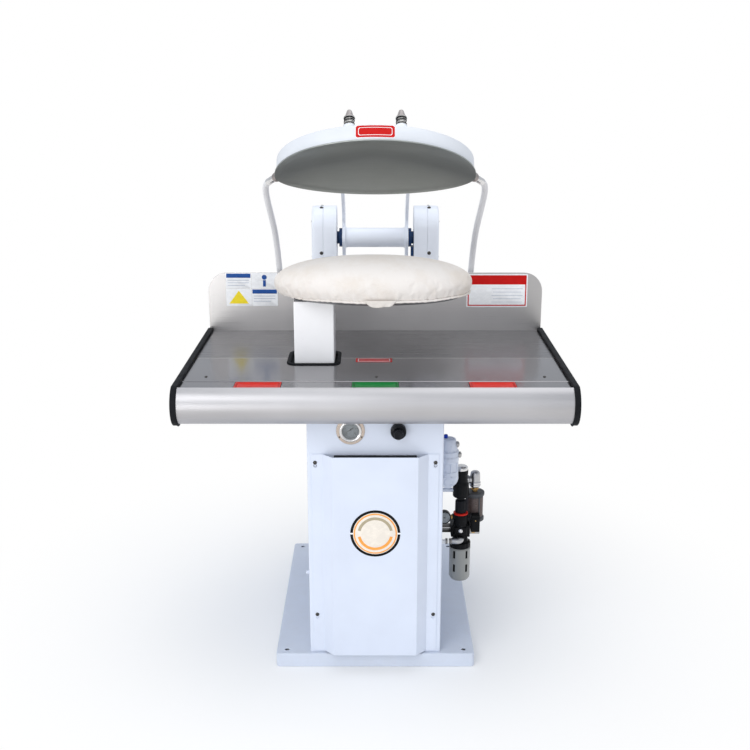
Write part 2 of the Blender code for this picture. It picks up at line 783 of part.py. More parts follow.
def make_column():
    size = (COLUMN_WIDTH, COLUMN_DEPTH, COLUMN_HEIGHT)
    centre = (0, COLUMN_FRONT_Y + COLUMN_DEPTH / 2, COLUMN_BOTTOM_Z + COLUMN_HEIGHT / 2)
    column = add_part("column_shell", block("column_shell", size, COLUMN_CORNER_RADIUS),
                      WHITE, centre)
    inside = (COLUMN_WIDTH - 2 * COLUMN_SHEET, COLUMN_DEPTH - 2 * COLUMN_SHEET,
              COLUMN_HEIGHT + 2 * OVERRUN)
    cut(column, add_cutter("column_inside", block("column_inside", inside), centre))
    cover_bottom = COLUMN_BOTTOM_Z + COVER_BOTTOM_LIFT
    cover_top = COLUMN_TOP_Z - COVER_TOP_DROP
    openings = {
        "front_opening": (COLUMN_WIDTH / 2 - FRONT_OPENING_MARGIN, COLUMN_FRONT_Y,
                          cover_bottom + FRONT_OPENING_MARGIN, cover_top - FRONT_OPENING_MARGIN),
        "rear_opening": (COLUMN_WIDTH / 2 - REAR_OPENING_MARGIN, COLUMN_REAR_Y,
                         COLUMN_BOTTOM_Z + REAR_OPENING_MARGIN,
                         COLUMN_BOTTOM_Z + REAR_COVER_LIFT + REAR_COVER_HEIGHT
                         - COVER_SIDE_BORDER),
    }
    for name, (half_width, face_y, low_z, high_z) in openings.items():
        low = (-half_width, face_y - COLUMN_SHEET - OVERRUN, low_z)
        high = (half_width, face_y + COLUMN_SHEET + OVERRUN, high_z)
        opening_size, place = block_between(low, high)
        cut(column, add_cutter(name, block(name, opening_size), place))
    for name, x, drop, radius in (("gauge_hole", GAUGE_X, GAUGE_DROP, GAUGE_BODY_RADIUS),
                                  ("knob_hole", KNOB_X, KNOB_DROP, KNOB_STEM_RADIUS)):
        hole = cylinder(name, bore_radius(radius, ROUND_STEPS), 2 * (COLUMN_SHEET + OVERRUN),
                        ROUND_STEPS, "Y")
        cut(column, add_cutter(name, hole, (x, COLUMN_FRONT_Y, COLUMN_TOP_Z - drop)))


def cover_outline():
    half = COLUMN_WIDTH / 2 - COVER_SIDE_BORDER
    flat_y = COLUMN_FRONT_Y - GAP - COVER_SHEET
    bend_x = half - COVER_FLANGE
    crest_x = bend_x - COVER_BEND
    path = [(half, flat_y), (bend_x, flat_y), (crest_x, flat_y - COVER_RAISE),
            (-crest_x, flat_y - COVER_RAISE), (-bend_x, flat_y), (-half, flat_y)]
    return sheet_outline(path[::-1], COVER_SHEET)


def make_front_cover():
    low_z = COLUMN_BOTTOM_Z + COVER_BOTTOM_LIFT
    high_z = COLUMN_TOP_Z - COVER_TOP_DROP
    data = flat_mesh("front_cover", cover_outline(), high_z - low_z, "XY")
    cover = add_part("front_cover", data, WHITE, (0, 0, (low_z + high_z) / 2))
    flange_y = COLUMN_FRONT_Y - GAP - COVER_SHEET / 2
    for side in (-1, 1):
        x = side * (COLUMN_WIDTH / 2 - COVER_SIDE_BORDER - KEYHOLE_INSET)
        for z in (high_z - KEYHOLE_TOP_DROP, low_z + KEYHOLE_BOTTOM_LIFT):
            hole = cylinder("keyhole", KEYHOLE_RADIUS, COVER_SHEET + 2 * OVERRUN, TINY_STEPS, "Y")
            cut(cover, add_cutter("keyhole", hole, (x, flange_y, z - KEYHOLE_PITCH)))


def make_rear_cover():
    low_z = COLUMN_BOTTOM_Z + REAR_COVER_LIFT
    high_z = low_z + REAR_COVER_HEIGHT
    y = COLUMN_REAR_Y + GAP + REAR_COVER_SHEET / 2
    half = REAR_COVER_HALF_WIDTH
    corner = BASE_CORNER_RADIUS
    outline = rounded_outline([(-half, low_z, corner), (half, low_z, corner),
                               (half, high_z, corner), (-half, high_z, corner)], 3)
    slots = []
    for i in range(LOUVRE_COUNT):
        middle = high_z - REAR_COVER_HEIGHT / 4 - i * LOUVRE_PITCH
        a, b = LOUVRE_WIDTH / 2, LOUVRE_HEIGHT / 2
        slots.append([(-a, middle - b), (a, middle - b), (a, middle + b), (-a, middle + b)])
    data = flat_mesh("rear_cover", outline, REAR_COVER_SHEET, "XZ", slots)
    add_part("rear_cover", data, WHITE, (0, y, 0))


def make_deck():
    low = (-DECK_HALF_WIDTH, COLUMN_FRONT_Y + DECK_FRONT_INSET, DECK_BOTTOM_Z)
    high = (DECK_HALF_WIDTH, TOWER_REAR_Y, DECK_TOP_Z)
    size, centre = block_between(low, high)
    deck = add_part("deck_plate", block("deck_plate", size, BASE_CORNER_RADIUS), WHITE, centre)
    notch_low = (-DECK_NOTCH_HALF_WIDTH, COLUMN_REAR_Y + DECK_NOTCH_FRONT_GAP,
                 DECK_BOTTOM_Z - OVERRUN)
    notch_high = (DECK_NOTCH_HALF_WIDTH, TOWER_REAR_Y + OVERRUN, DECK_TOP_Z + OVERRUN)
    size, centre = block_between(notch_low, notch_high)
    cut(deck, add_cutter("deck_notch", block("deck_notch", size), centre))


# Table

def make_rails():
    """Two channels that carry the table, open towards each other."""
    length = 2 * TABLE_HALF_WIDTH
    rear_y = SPLASH_Y - GAP
    for name, front_y, opening in (
            ("table_rail_front", COLUMN_FRONT_Y + FRONT_RAIL_SETBACK, 1),
            ("table_rail_rear", rear_y - RAIL_DEPTH, -1)):
        low = Vector((front_y, RAIL_BOTTOM_Z))
        high = Vector((front_y + RAIL_DEPTH, RAIL_TOP_Z))
        if opening > 0:
            path = [(high.x, high.y), (low.x, high.y), (low.x, low.y), (high.x, low.y)]
        else:
            path = [(low.x, low.y), (high.x, low.y), (high.x, high.y), (low.x, high.y)]
        data = flat_mesh(name, sheet_outline(path, RAIL_WALL), length, "YZ")
        add_part(name, data, WHITE)


def slot_bounds():
    return ((POST_LEFT_X - SLOT_LEFT_GAP, POST_FRONT_Y - SLOT_FRONT_GAP),
            (POST_RIGHT_X + SLOT_RIGHT_GAP, POST_REAR_Y + SLOT_REAR_GAP))


def slot_outline(grow):
    (low_x, low_y), (high_x, high_y) = slot_bounds()
    radius = SLOT_CORNER_RADIUS + grow
    return rounded_outline([(low_x - grow, low_y - grow, radius),
                            (high_x + grow, low_y - grow, radius),
                            (high_x + grow, high_y + grow, radius),
                            (low_x - grow, high_y + grow, radius)], 5)


def cut_slot(panel, name):
    data = flat_mesh(name, slot_outline(0), 2 * (TABLE_SHEET + OVERRUN), "XY")
    cut(panel, add_cutter(name, data, (0, 0, TABLE_TOP_Z - TABLE_SHEET / 2)))


def make_table_panels():
    length = 2 * TABLE_HALF_WIDTH
    rear_path = [(SPLASH_Y - GAP, TABLE_TOP_Z), (SEAM_Y + GAP, TABLE_TOP_Z)]
    data = flat_mesh("table_rear_panel", sheet_outline(rear_path, TABLE_SHEET), length, "YZ")
    rear = add_part("table_rear_panel", data, STAINLESS)
    cut_slot(rear, "slot_rear_half")
    front_path = [(SEAM_Y, TABLE_TOP_Z), (LEDGE_Y, TABLE_TOP_Z),
                  (LEDGE_Y - LEDGE_STEP, BAND_TOP_Z), (LIP_Y + GAP, BAND_TOP_Z)]
    data = flat_mesh("table_front_panel", sheet_outline(front_path, TABLE_SHEET), length, "YZ")
    front = add_part("table_front_panel", data, STAINLESS)
    cut_slot(front, "slot_front_half")
    opening = (FRAME_WIDTH - 2 * FRAME_FLANGE + 2 * GAP, FRAME_DEPTH - 2 * FRAME_FLANGE + 2 * GAP,
               2 * (TABLE_SHEET + OVERRUN))
    for x in (-BUTTON_SPACING, 0, BUTTON_SPACING):
        place = (x, COLUMN_FRONT_Y + BUTTON_SETBACK, BAND_TOP_Z)
        cut(front, add_cutter("frame_opening", block("frame_opening", opening), place))


def nose_arc(radius):
    return arc((NOSE_CENTRE_Y, NOSE_CENTRE_Z), radius, NOSE_START_DEG, NOSE_END_DEG, NOSE_STEPS)


def make_nose():
    path = [(LIP_Y, BAND_TOP_Z - TABLE_SHEET), *nose_arc(NOSE_RADIUS)]
    data = flat_mesh("table_nose", sheet_outline(path, TABLE_SHEET), 2 * TABLE_HALF_WIDTH, "YZ")
    add_part("table_nose", data, STAINLESS)


def make_end_trims():
    """Moulded end caps: they follow the table's top and nose and stand a little proud of both."""
    top = TABLE_TOP_Z + TRIM_PROUD
    outer_arc = nose_arc(NOSE_RADIUS + TRIM_PROUD)
    outline = [(SPLASH_Y - GAP, top), (LIP_Y + TRIM_PROUD, top), *outer_arc,
               (COLUMN_FRONT_Y + TRIM_UNDERSIDE_SETBACK, RAIL_BOTTOM_Z),
               (SPLASH_Y - GAP, RAIL_BOTTOM_Z)]
    for side, name in ((-1, "end_trim_left"), (1, "end_trim_right")):
        data = flat_mesh(name, outline, TRIM_THICKNESS, "YZ")
        x = side * (TABLE_HALF_WIDTH + GAP + TRIM_THICKNESS / 2)
        trim = add_part(name, data, BLACK_RUBBER, (x, 0, 0))
        soften(trim, TRIM_PROUD / 2, 2, 60)


def make_slot_edging():
    neck = flat_mesh("edging_neck", slot_outline(-GAP), TABLE_SHEET + 2 * EDGING_RISE, "XY")
    flange_bottom = TABLE_TOP_Z + GAP
    flange = flat_mesh("slot_edging", slot_outline(EDGING_FLANGE), EDGING_RISE - GAP, "XY")
    edging = add_part("slot_edging", flange, BLACK_RUBBER,
                      (0, 0, flange_bottom + (EDGING_RISE - GAP) / 2))
    neck_centre = (0, 0, TABLE_TOP_Z - TABLE_SHEET / 2 - GAP)
    join(edging, add_cutter("edging_neck", neck, neck_centre))
    mouth = flat_mesh("edging_mouth", slot_outline(-EDGING_WALL),
                      TABLE_SHEET + 2 * EDGING_RISE + 2 * OVERRUN, "XY")
    cut(edging, add_cutter("edging_mouth", mouth, neck_centre))


def make_splash():
    top = TABLE_TOP_Z + SPLASH_RISE
    half = SPLASH_HALF_WIDTH
    outline = rounded_outline([(-half, RAIL_BOTTOM_Z, 0), (half, RAIL_BOTTOM_Z, 0),
                               (half, top, SPLASH_CORNER_RADIUS),
                               (-half, top, SPLASH_CORNER_RADIUS)], 8)
    data = flat_mesh("splash_panel", outline, SPLASH_SHEET, "XZ")
    add_part("splash_panel", data, STAINLESS, (0, SPLASH_Y + SPLASH_SHEET / 2, 0))


def make_push_plates():
    flange_bottom = BAND_TOP_Z + GAP
    flange_top = flange_bottom + FRAME_FLANGE_THICKNESS
    well_wide = FRAME_WIDTH - 2 * FRAME_BORDER
    well_deep = FRAME_DEPTH - 2 * FRAME_BORDER
    plate_top = flange_top - BUTTON_RECESS
    plate_bottom = plate_top - BUTTON_THICKNESS
    floor_top = BAND_TOP_Z - FRAME_FLOOR_DROP + FRAME_FLOOR
    for side, name, finish in ((-1, "left", RED_PLASTIC), (0, "centre", GREEN_PLASTIC),
                               (1, "right", RED_PLASTIC)):
        x = side * BUTTON_SPACING
        y = COLUMN_FRONT_Y + BUTTON_SETBACK
        size = (FRAME_WIDTH, FRAME_DEPTH, FRAME_FLANGE_THICKNESS)
        frame = add_part(f"button_frame_{name}", block("flange", size, BUTTON_CORNER_RADIUS),
                         finish, (x, y, flange_bottom + FRAME_FLANGE_THICKNESS / 2))
        low_z = floor_top - FRAME_FLOOR
        size = (FRAME_WIDTH - 2 * FRAME_FLANGE, FRAME_DEPTH - 2 * FRAME_FLANGE,
                flange_top - FRAME_FLANGE_THICKNESS / 2 - low_z)
        tray = add_cutter("tray", block("tray", size), (x, y, low_z + size[2] / 2))
        join(frame, tray)
        size = (well_wide, well_deep, flange_top + OVERRUN - floor_top)
        well = add_cutter("well", block("well", size, BUTTON_CORNER_RADIUS),
                          (x, y, floor_top + size[2] / 2))
        cut(frame, well)
        guide = cylinder("guide", BUTTON_STEM_RADIUS + GAP, FRAME_FLOOR + 2 * OVERRUN)
        cut(frame, add_cutter("guide", guide, (x, y, floor_top - FRAME_FLOOR / 2)))
        size = (well_wide - 2 * BUTTON_SIDE_GAP, well_deep - 2 * BUTTON_SIDE_GAP, BUTTON_THICKNESS)
        plate = add_part(f"button_{name}", block("plate", size, BUTTON_CORNER_RADIUS),
                         finish, (x, y, plate_top - BUTTON_THICKNESS / 2))
        stem_length = plate_bottom - floor_top + FRAME_FLOOR + BUTTON_TRAVEL + OVERRUN
        stem = cylinder("stem", BUTTON_STEM_RADIUS, stem_length)
        join(plate, add_cutter("stem", stem,
                               (x, y, plate_bottom + OVERRUN / 2 - stem_length / 2)))


# Buck

def make_post():
    size = (POST_WIDTH, POST_DEPTH, POST_HEIGHT)
    place = (POST_LEFT_X + POST_WIDTH / 2, POST_FRONT_Y + POST_DEPTH / 2,
             POST_BOTTOM_Z + POST_HEIGHT / 2)
    add_part("buck_post", block("buck_post", size, POST_CORNER_RADIUS), WHITE, place)


def casting_rings(grow):
    inset = CASTING_INSET - grow
    step_z = CASTING_BOTTOM_Z + CASTING_HEIGHT / 3
    return [plan_ring(inset + CASTING_BOTTOM_TAPER, CASTING_BOTTOM_Z - grow, WIDEST_Y),
            plan_ring(inset, step_z, WIDEST_Y),
            plan_ring(inset, CASTING_TOP_Z + grow, WIDEST_Y)]


def make_buck():
    add_part("buck_casting", loft("buck_casting", casting_rings(0)), CASTING_IRON)
    rings = [plan_ring(PAD_INSET + PAD_HEM_TUCK, PAD_HEM_Z, WIDEST_Y),
             plan_ring(PAD_INSET + PAD_SIDE_BULGE, PAD_HEM_Z + PAD_CREASE_RISE / 2, WIDEST_Y)]
    crown_steps = 7
    for i in range(crown_steps):
        angle = math.pi / 2 * i / crown_steps
        rings.append(scaled_ring(math.cos(angle), PAD_INSET,
                                 PAD_CREASE_Z + PAD_CROWN * math.sin(angle), WIDEST_Y))
    last = math.pi / 2 * (crown_steps - 0.3) / crown_steps
    rings.append(scaled_ring(math.cos(last), PAD_INSET,
                             PAD_CREASE_Z + PAD_CROWN * math.sin(last), WIDEST_Y))
    pad = add_part("buck_pad", loft("buck_pad", rings), PAD_CLOTH)
    cut(pad, add_cutter("pad_hollow", loft("pad_hollow", casting_rings(GAP))))


# Towers and pivot

def tower_outline(inset):
    """The side view of a tower: straight sides and a round top, drawn in by an inset."""
    radius = TOWER_DEPTH / 2 - inset
    middle_y = TOWER_FRONT_Y + TOWER_DEPTH / 2
    centre = (middle_y, TOWER_TOP_Z - TOWER_DEPTH / 2)
    top = arc(centre, radius, 0, 180, TOWER_ARC_STEPS)
    return [(middle_y - radius, TOWER_BOTTOM_Z + inset),
            (middle_y + radius, TOWER_BOTTOM_Z + inset), *top]


def make_towers():
    for side, name in ((-1, "left"), (1, "right")):
        body = flat_mesh(f"tower_{name}", tower_outline(0), TOWER_BODY_WIDTH, "YZ")
        centre_x = side * (TOWER_INNER_X + TOWER_BODY_WIDTH / 2)
        tower = add_part(f"tower_{name}", body, WHITE, (centre_x, 0, 0))
        pocket_width = TOWER_BODY_WIDTH - TOWER_WEB
        pocket = flat_mesh("tower_pocket", tower_outline(TOWER_WALL), pocket_width + OVERRUN, "YZ")
        pocket_x = side * (TOWER_INNER_X + TOWER_WEB + (pocket_width + OVERRUN) / 2)
        cut(tower, add_cutter("tower_pocket", pocket, (pocket_x, 0, 0)))
        bore = cylinder("tower_bore", bore_radius(BUSH_NECK_RADIUS, ROUND_STEPS),
                        TOWER_WEB + 2 * OVERRUN, ROUND_STEPS, "X")
        cut(tower, add_cutter("tower_bore", bore,
                              (side * (TOWER_INNER_X + TOWER_WEB / 2), PIVOT_Y, PIVOT_Z)))
        make_tower_cover(side, name)
        make_bush(side, name)


def make_tower_cover(side, name):
    near = TOWER_INNER_X + TOWER_BODY_WIDTH + GAP
    far = near + TOWER_COVER_WIDTH
    rounding = TOWER_COVER_ROUNDING
    rows = [(far - TOWER_COVER_SHEET, TOWER_COVER_SHEET), (near, TOWER_COVER_SHEET), (near, 0)]
    for i in range(4):
        angle = math.pi / 2 * i / 3
        rows.append((far - rounding + rounding * math.sin(angle),
                     rounding * (1 - math.cos(angle)) / 2))
    rings = [[(side * x, y, z) for y, z in tower_outline(inset)] for x, inset in rows]
    add_part(f"tower_cover_{name}", loft("tower_cover", rings), WHITE)


def make_bush(side, name):
    """A flanged bush: its flange runs against the yoke arm, its neck sits in the tower's web."""
    neck_end = TOWER_INNER_X + TOWER_WEB - ARM_OUTER_X - 2 * GAP
    bore = bore_radius(SHAFT_RADIUS, ROUND_STEPS, RUNNING_GAP)
    profile = [(bore, neck_end), (BUSH_NECK_RADIUS, neck_end),
               (BUSH_NECK_RADIUS, BUSH_FLANGE_THICKNESS),
               (BUSH_FLANGE_RADIUS, BUSH_FLANGE_THICKNESS), (BUSH_FLANGE_RADIUS, 0), (bore, 0)]
    turned(f"bush_{name}", profile, DARK_BLUE_BUSH, closed=True,
           place=(side * (ARM_OUTER_X + GAP), PIVOT_Y, PIVOT_Z), turn=(0, side * math.pi / 2, 0))


# Swinging head, laid out closed round the pivot

def make_pivot_empty():
    pivot = bpy.data.objects.new("head_pivot", None)
    pivot.location = (0, PIVOT_Y, PIVOT_Z)
    pivot.rotation_euler = (-math.radians(OPEN_ANGLE_DEG), 0, 0)
    collection(PARTS).objects.link(pivot)
    return pivot


def closed_lever_pin():
    """The lever pin in the closed layout, from its place with the head open."""
    turn = Matrix.Rotation(math.radians(OPEN_ANGLE_DEG), 2)
    return turn @ Vector((LEVER_BACK, -LEVER_DROP))


def arm_outline():
    """Side view of one yoke arm: lever eye behind the pivot, neck, knee, beam over the head."""
    pin = closed_lever_pin()
    boss = ARM_BOSS_RADIUS
    eye = LEVER_EYE_RADIUS
    beam_top = YOKE_PLATE_TOP_Z
    beam_bottom = beam_top - YOKE_BEAM_DEPTH
    beam_front = BOLT_Y - YOKE_PLATE_DEPTH / 2
    knee_top = beam_top - OVERRUN / 2
    return rounded_outline([
        (-boss, -0.7 * boss, 0.7 * boss),
        (pin.x - 0.6 * eye, pin.y - 1.3 * eye, 0.8 * eye),
        (pin.x + 1.2 * eye, pin.y - 0.3 * eye, 0.8 * eye),
        (pin.x + 0.4 * eye, pin.y + 1.2 * eye, 0.8 * eye),
        (0.85 * boss, 0.85 * boss, 0.5 * boss),
        (-0.45 * boss, knee_top, 0.8 * boss),
        (beam_front, beam_top, YOKE_BEAM_DEPTH / 4),
        (beam_front, beam_bottom, YOKE_BEAM_DEPTH / 3),
        (-2.0 * boss, beam_bottom - KNEE_RISE, boss),
        (-1.05 * boss, 0.7 * boss, 0.6 * boss),
    ], 5)


def make_yoke(pivot):
    outline = arm_outline()
    arm_x = ARM_OUTER_X - ARM_THICKNESS / 2
    yoke = add_part("yoke", flat_mesh("yoke", outline, ARM_THICKNESS, "YZ"), WHITE,
                    (-arm_x, 0, 0), parent=pivot)
    other = add_cutter("yoke_arm", flat_mesh("yoke_arm", outline, ARM_THICKNESS, "YZ"),
                       (arm_x, 0, 0), parent=pivot)
    sunk = ARM_THICKNESS / 3
    reach = ARM_INNER_X + sunk
    flare = [(TUBE_RADIUS + TUBE_FLARE * (1 - math.sin(a)), ARM_INNER_X - TUBE_FLARE
              * (1 - math.cos(a))) for a in (0, math.pi / 6, math.pi / 3, math.pi / 2)]
    upper = [(0, reach), (TUBE_RADIUS + TUBE_FLARE, reach), *flare]
    profile = upper + [(r, -z) for r, z in reversed(upper)]
    tube = turned("yoke_tube", profile, None, FINE_STEPS, turn=(0, math.pi / 2, 0), parent=pivot)
    size = (2 * reach, YOKE_PLATE_DEPTH, YOKE_PLATE_THICKNESS)
    plate = add_cutter("yoke_plate", block("yoke_plate", size),
                       (0, BOLT_Y, YOKE_PLATE_BOTTOM_Z + YOKE_PLATE_THICKNESS / 2), parent=pivot)
    plate.location.z -= OVERRUN / 4
    for piece in (other, tube, plate):
        join(yoke, piece)
    boss_height = YOKE_BOSS_RISE + YOKE_PLATE_THICKNESS / 2
    for side in (-1, 1):
        boss = cylinder("spring_boss", YOKE_BOSS_RADIUS, boss_height)
        join(yoke, add_cutter("spring_boss", boss, (side * BOLT_SPREAD, BOLT_Y, YOKE_PLATE_TOP_Z
                                                    + YOKE_BOSS_RISE - boss_height / 2),
                              parent=pivot))
    bore = cylinder("shaft_bore", bore_radius(SHAFT_RADIUS, ROUND_STEPS),
                    2 * (ARM_OUTER_X + OVERRUN), ROUND_STEPS, "X")
    cut(yoke, add_cutter("shaft_bore", bore, parent=pivot))
    pin = closed_lever_pin()
    bore = cylinder("pin_bore", bore_radius(LEVER_PIN_RADIUS, SMALL_STEPS),
                    2 * (ARM_OUTER_X + OVERRUN), SMALL_STEPS, "X")
    cut(yoke, add_cutter("pin_bore", bore, (0, pin.x, pin.y), parent=pivot))
    bore_length = YOKE_PLATE_THICKNESS + YOKE_BOSS_RISE + 4 * OVERRUN
    for side in (-1, 1):
        bore = cylinder("bolt_bore", bore_radius(BOLT_RADIUS, SMALL_STEPS), bore_length)
        cut(yoke, add_cutter("bolt_bore", bore, (side * BOLT_SPREAD, BOLT_Y, YOKE_PLATE_TOP_Z),
                             parent=pivot))
    shaft_length = 2 * (TOWER_INNER_X + TOWER_WEB + SHAFT_END_STAND)
    shaft = cylinder("pivot_shaft", SHAFT_RADIUS, shaft_length, ROUND_STEPS, "X")
    add_part("pivot_shaft", shaft, STEEL, parent=pivot)
    lever_pin = cylinder("lever_pin", LEVER_PIN_RADIUS, 2 * ARM_OUTER_X, SMALL_STEPS, "X")
    add_part("lever_pin", lever_pin, STEEL, (0, pin.x, pin.y), parent=pivot)


def dish_ring(share, lift):
    return scaled_ring(share, 0, HEAD_RIM_Z + DISH_DEPTH * (1 - share * share) + lift,
                       HEAD_WIDEST_Y)


def make_head(pivot):
    rings = []
    smallest_share = 0.06
    for i in range(HEAD_DISH_RINGS):
        share = smallest_share + (1 - smallest_share) * i / (HEAD_DISH_RINGS - 1)
        rings.append(dish_ring(share, 0))
    top_lip = PLATE_HALF_WIDTH * 0.05
    rings.append(plan_ring(0, HEAD_RIM_Z + PLATE_RIM_THICKNESS, HEAD_WIDEST_Y))
    rings.append(plan_ring(top_lip, HEAD_RIM_Z + PLATE_RIM_THICKNESS, HEAD_WIDEST_Y))
    for share in (0.75, 0.45, smallest_share):
        rings.append(dish_ring(share, PLATE_DISH_THICKNESS))
    add_part("head_plate", loft("head_plate", rings), POLISHED, parent=pivot)
    low = HEAD_RIM_Z + PLATE_RIM_THICKNESS + GAP
    high = HEAD_RIM_Z + SHELL_HEIGHT
    rounding = SHELL_TOP_ROUNDING
    inner = SHELL_INSET + SHELL_WALL
    rings = [plan_ring(inner + rounding, high - SHELL_WALL, HEAD_WIDEST_Y),
             plan_ring(inner, high - SHELL_WALL - rounding, HEAD_WIDEST_Y),
             plan_ring(inner, low, HEAD_WIDEST_Y),
             plan_ring(SHELL_INSET, low, HEAD_WIDEST_Y)]
    for i in range(4):
        angle = math.pi / 2 * i / 3
        rings.append(plan_ring(SHELL_INSET + rounding * (1 - math.cos(angle)),
                               high - rounding + rounding * math.sin(angle), HEAD_WIDEST_Y))
    add_part("head_shell", loft("head_shell", rings), WHITE, parent=pivot)


def spring_points():
    """A compression spring: both ends run straight up for one wire diameter."""
    wire = 2 * SPRING_WIRE_RADIUS
    rise = SPRING_HEIGHT - 2 * wire
    steps = SPRING_CURLS * SPRING_POINTS_PER_CURL
    points = [Vector((SPRING_COIL_RADIUS, 0, 0))]
    for i in range(steps + 1):
        angle = 2 * math.pi * i / SPRING_POINTS_PER_CURL
        points.append(Vector((SPRING_COIL_RADIUS * math.cos(angle),
                              SPRING_COIL_RADIUS * math.sin(angle), wire + rise * i / steps)))
    points.append(Vector((SPRING_COIL_RADIUS, 0, SPRING_HEIGHT)))
    return points


def least_gap_to_itself(points, radius, neighbours):
    """The least free distance between turns, skipping each point's own neighbours."""
    least = math.inf
    for i, first in enumerate(points):
        for second in points[i + neighbours:]:
            least = min(least, (second - first).length - 2 * radius)
    return least


def make_head_bolts(pivot):
    seat = HEAD_RIM_Z + SHELL_HEIGHT + GAP
    spring_seat = YOKE_PLATE_TOP_Z + YOKE_BOSS_RISE + GAP
    cone_seat = spring_seat + SPRING_HEIGHT + GAP
    collar = CONE_COLLAR_RADIUS
    profile = [(0, cone_seat + CONE_HEIGHT), (CONE_TIP_RADIUS, cone_seat + CONE_HEIGHT),
               (CONE_BASE_RADIUS, cone_seat + CONE_COLLAR), (collar, cone_seat + CONE_COLLAR),
               (collar, cone_seat), (BOLT_RADIUS, cone_seat),
               (BOLT_RADIUS, seat + BOLT_FLANGE_THICKNESS),
               (BOLT_FLANGE_RADIUS, seat + BOLT_FLANGE_THICKNESS), (BOLT_FLANGE_RADIUS, seat),
               (0, seat)]
    points = spring_points()
    gap = least_gap_to_itself(points, SPRING_WIRE_RADIUS, SPRING_POINTS_PER_CURL // 2)
    print(f"head spring: least gap to itself {gap * 1000:.2f} mm")
    for side, name in ((-1, "left"), (1, "right")):
        turned(f"head_bolt_{name}", profile, STEEL, SMALL_STEPS,
               place=(side * BOLT_SPREAD, BOLT_Y, 0), parent=pivot)
        curve = tube_curve("head_spring", points, SPRING_WIRE_RADIUS, 1)
        add_part(f"head_spring_{name}", curve, CHROME, (side * BOLT_SPREAD, BOLT_Y, spring_seat),
                 parent=pivot)


# Steam route: unions on the head, hoses, rigid pipes

def union_place():
    """Where a union leaves the rim, and its outward direction, in the closed layout."""
    half = PLATE_HALF_WIDTH - SHELL_INSET
    reach = PLATE_REAR_REACH - SHELL_INSET
    y = UNION_SETBACK_FROM_WIDEST
    x = half * math.sqrt(1 - (y / reach) ** 2)
    outward = Vector((x / half ** 2, y / reach ** 2, 0)).normalized()
    return Vector((x, HEAD_WIDEST_Y + y, HEAD_RIM_Z + UNION_RISE)), outward


def make_unions(pivot):
    place, outward = union_place()
    radius = UNION_RADIUS
    neck = 0.75 * radius
    inside = -2 * SHELL_WALL
    profile = [(0, UNION_LENGTH), (0.8 * radius, UNION_LENGTH), (0.95 * radius, 0.8 * UNION_LENGTH),
               (radius, 0.55 * UNION_LENGTH), (0.95 * radius, 0.30 * UNION_LENGTH),
               (neck, 0.18 * UNION_LENGTH), (neck, inside), (0, inside)]
    for side, name in ((-1, "left"), (1, "right")):
        direction = Vector((side * outward.x, outward.y, 0))
        start = Vector((side * place.x, place.y, place.z))
        turn = direction.to_track_quat("Z", "Y").to_euler()
        turned(f"head_union_{name}", profile, CHROME, SMALL_STEPS, place=start, turn=turn,
               parent=pivot)
        hole = cylinder("union_hole", neck + GAP, 4 * radius)
        cut(bpy.data.objects["head_shell"], add_cutter("union_hole", hole, start, turn, pivot))


def hose_stops(side, pivot_matrix):
    """Stops along a hose at rest, from the rigid pipe up to the union on the open head."""
    place, outward = union_place()
    end = place + outward * (UNION_LENGTH + GAP)
    leave = end + outward * 1.4 * HOSE_RADIUS
    end, leave = [pivot_matrix @ Vector((side * p.x, p.y, p.z)) for p in (end, leave)]
    pipe_y = COLUMN_REAR_Y + GAP + PIPE_RADIUS
    foot_z = PIPE_TOP_Z + GAP
    span_y = pipe_y - end.y
    span_z = end.z - foot_z
    stops = [(PIPE_OUTER_X, pipe_y, foot_z), (PIPE_OUTER_X, pipe_y, foot_z + HOSE_RADIUS)]
    for bow_share, y_share, z_share in HOSE_BEND_SHARES:
        stops.append((PIPE_OUTER_X + bow_share * HOSE_RADIUS, pipe_y - y_share * span_y,
                      foot_z + z_share * span_z))
    return [Vector((side * x, y, z)) for x, y, z in stops] + [leave, end]


def make_hoses(pivot):
    bpy.context.view_layer.update()
    for side, name in ((-1, "left"), (1, "right")):
        stops = hose_stops(side, pivot.matrix_world)
        route = [stops[0], *smooth_route(stops, HOSE_POINTS), stops[-1]]
        curve = tube_curve(f"steam_hose_{name}", route, HOSE_RADIUS, 2)
        add_part(f"steam_hose_{name}", curve, HOSE_GREY)


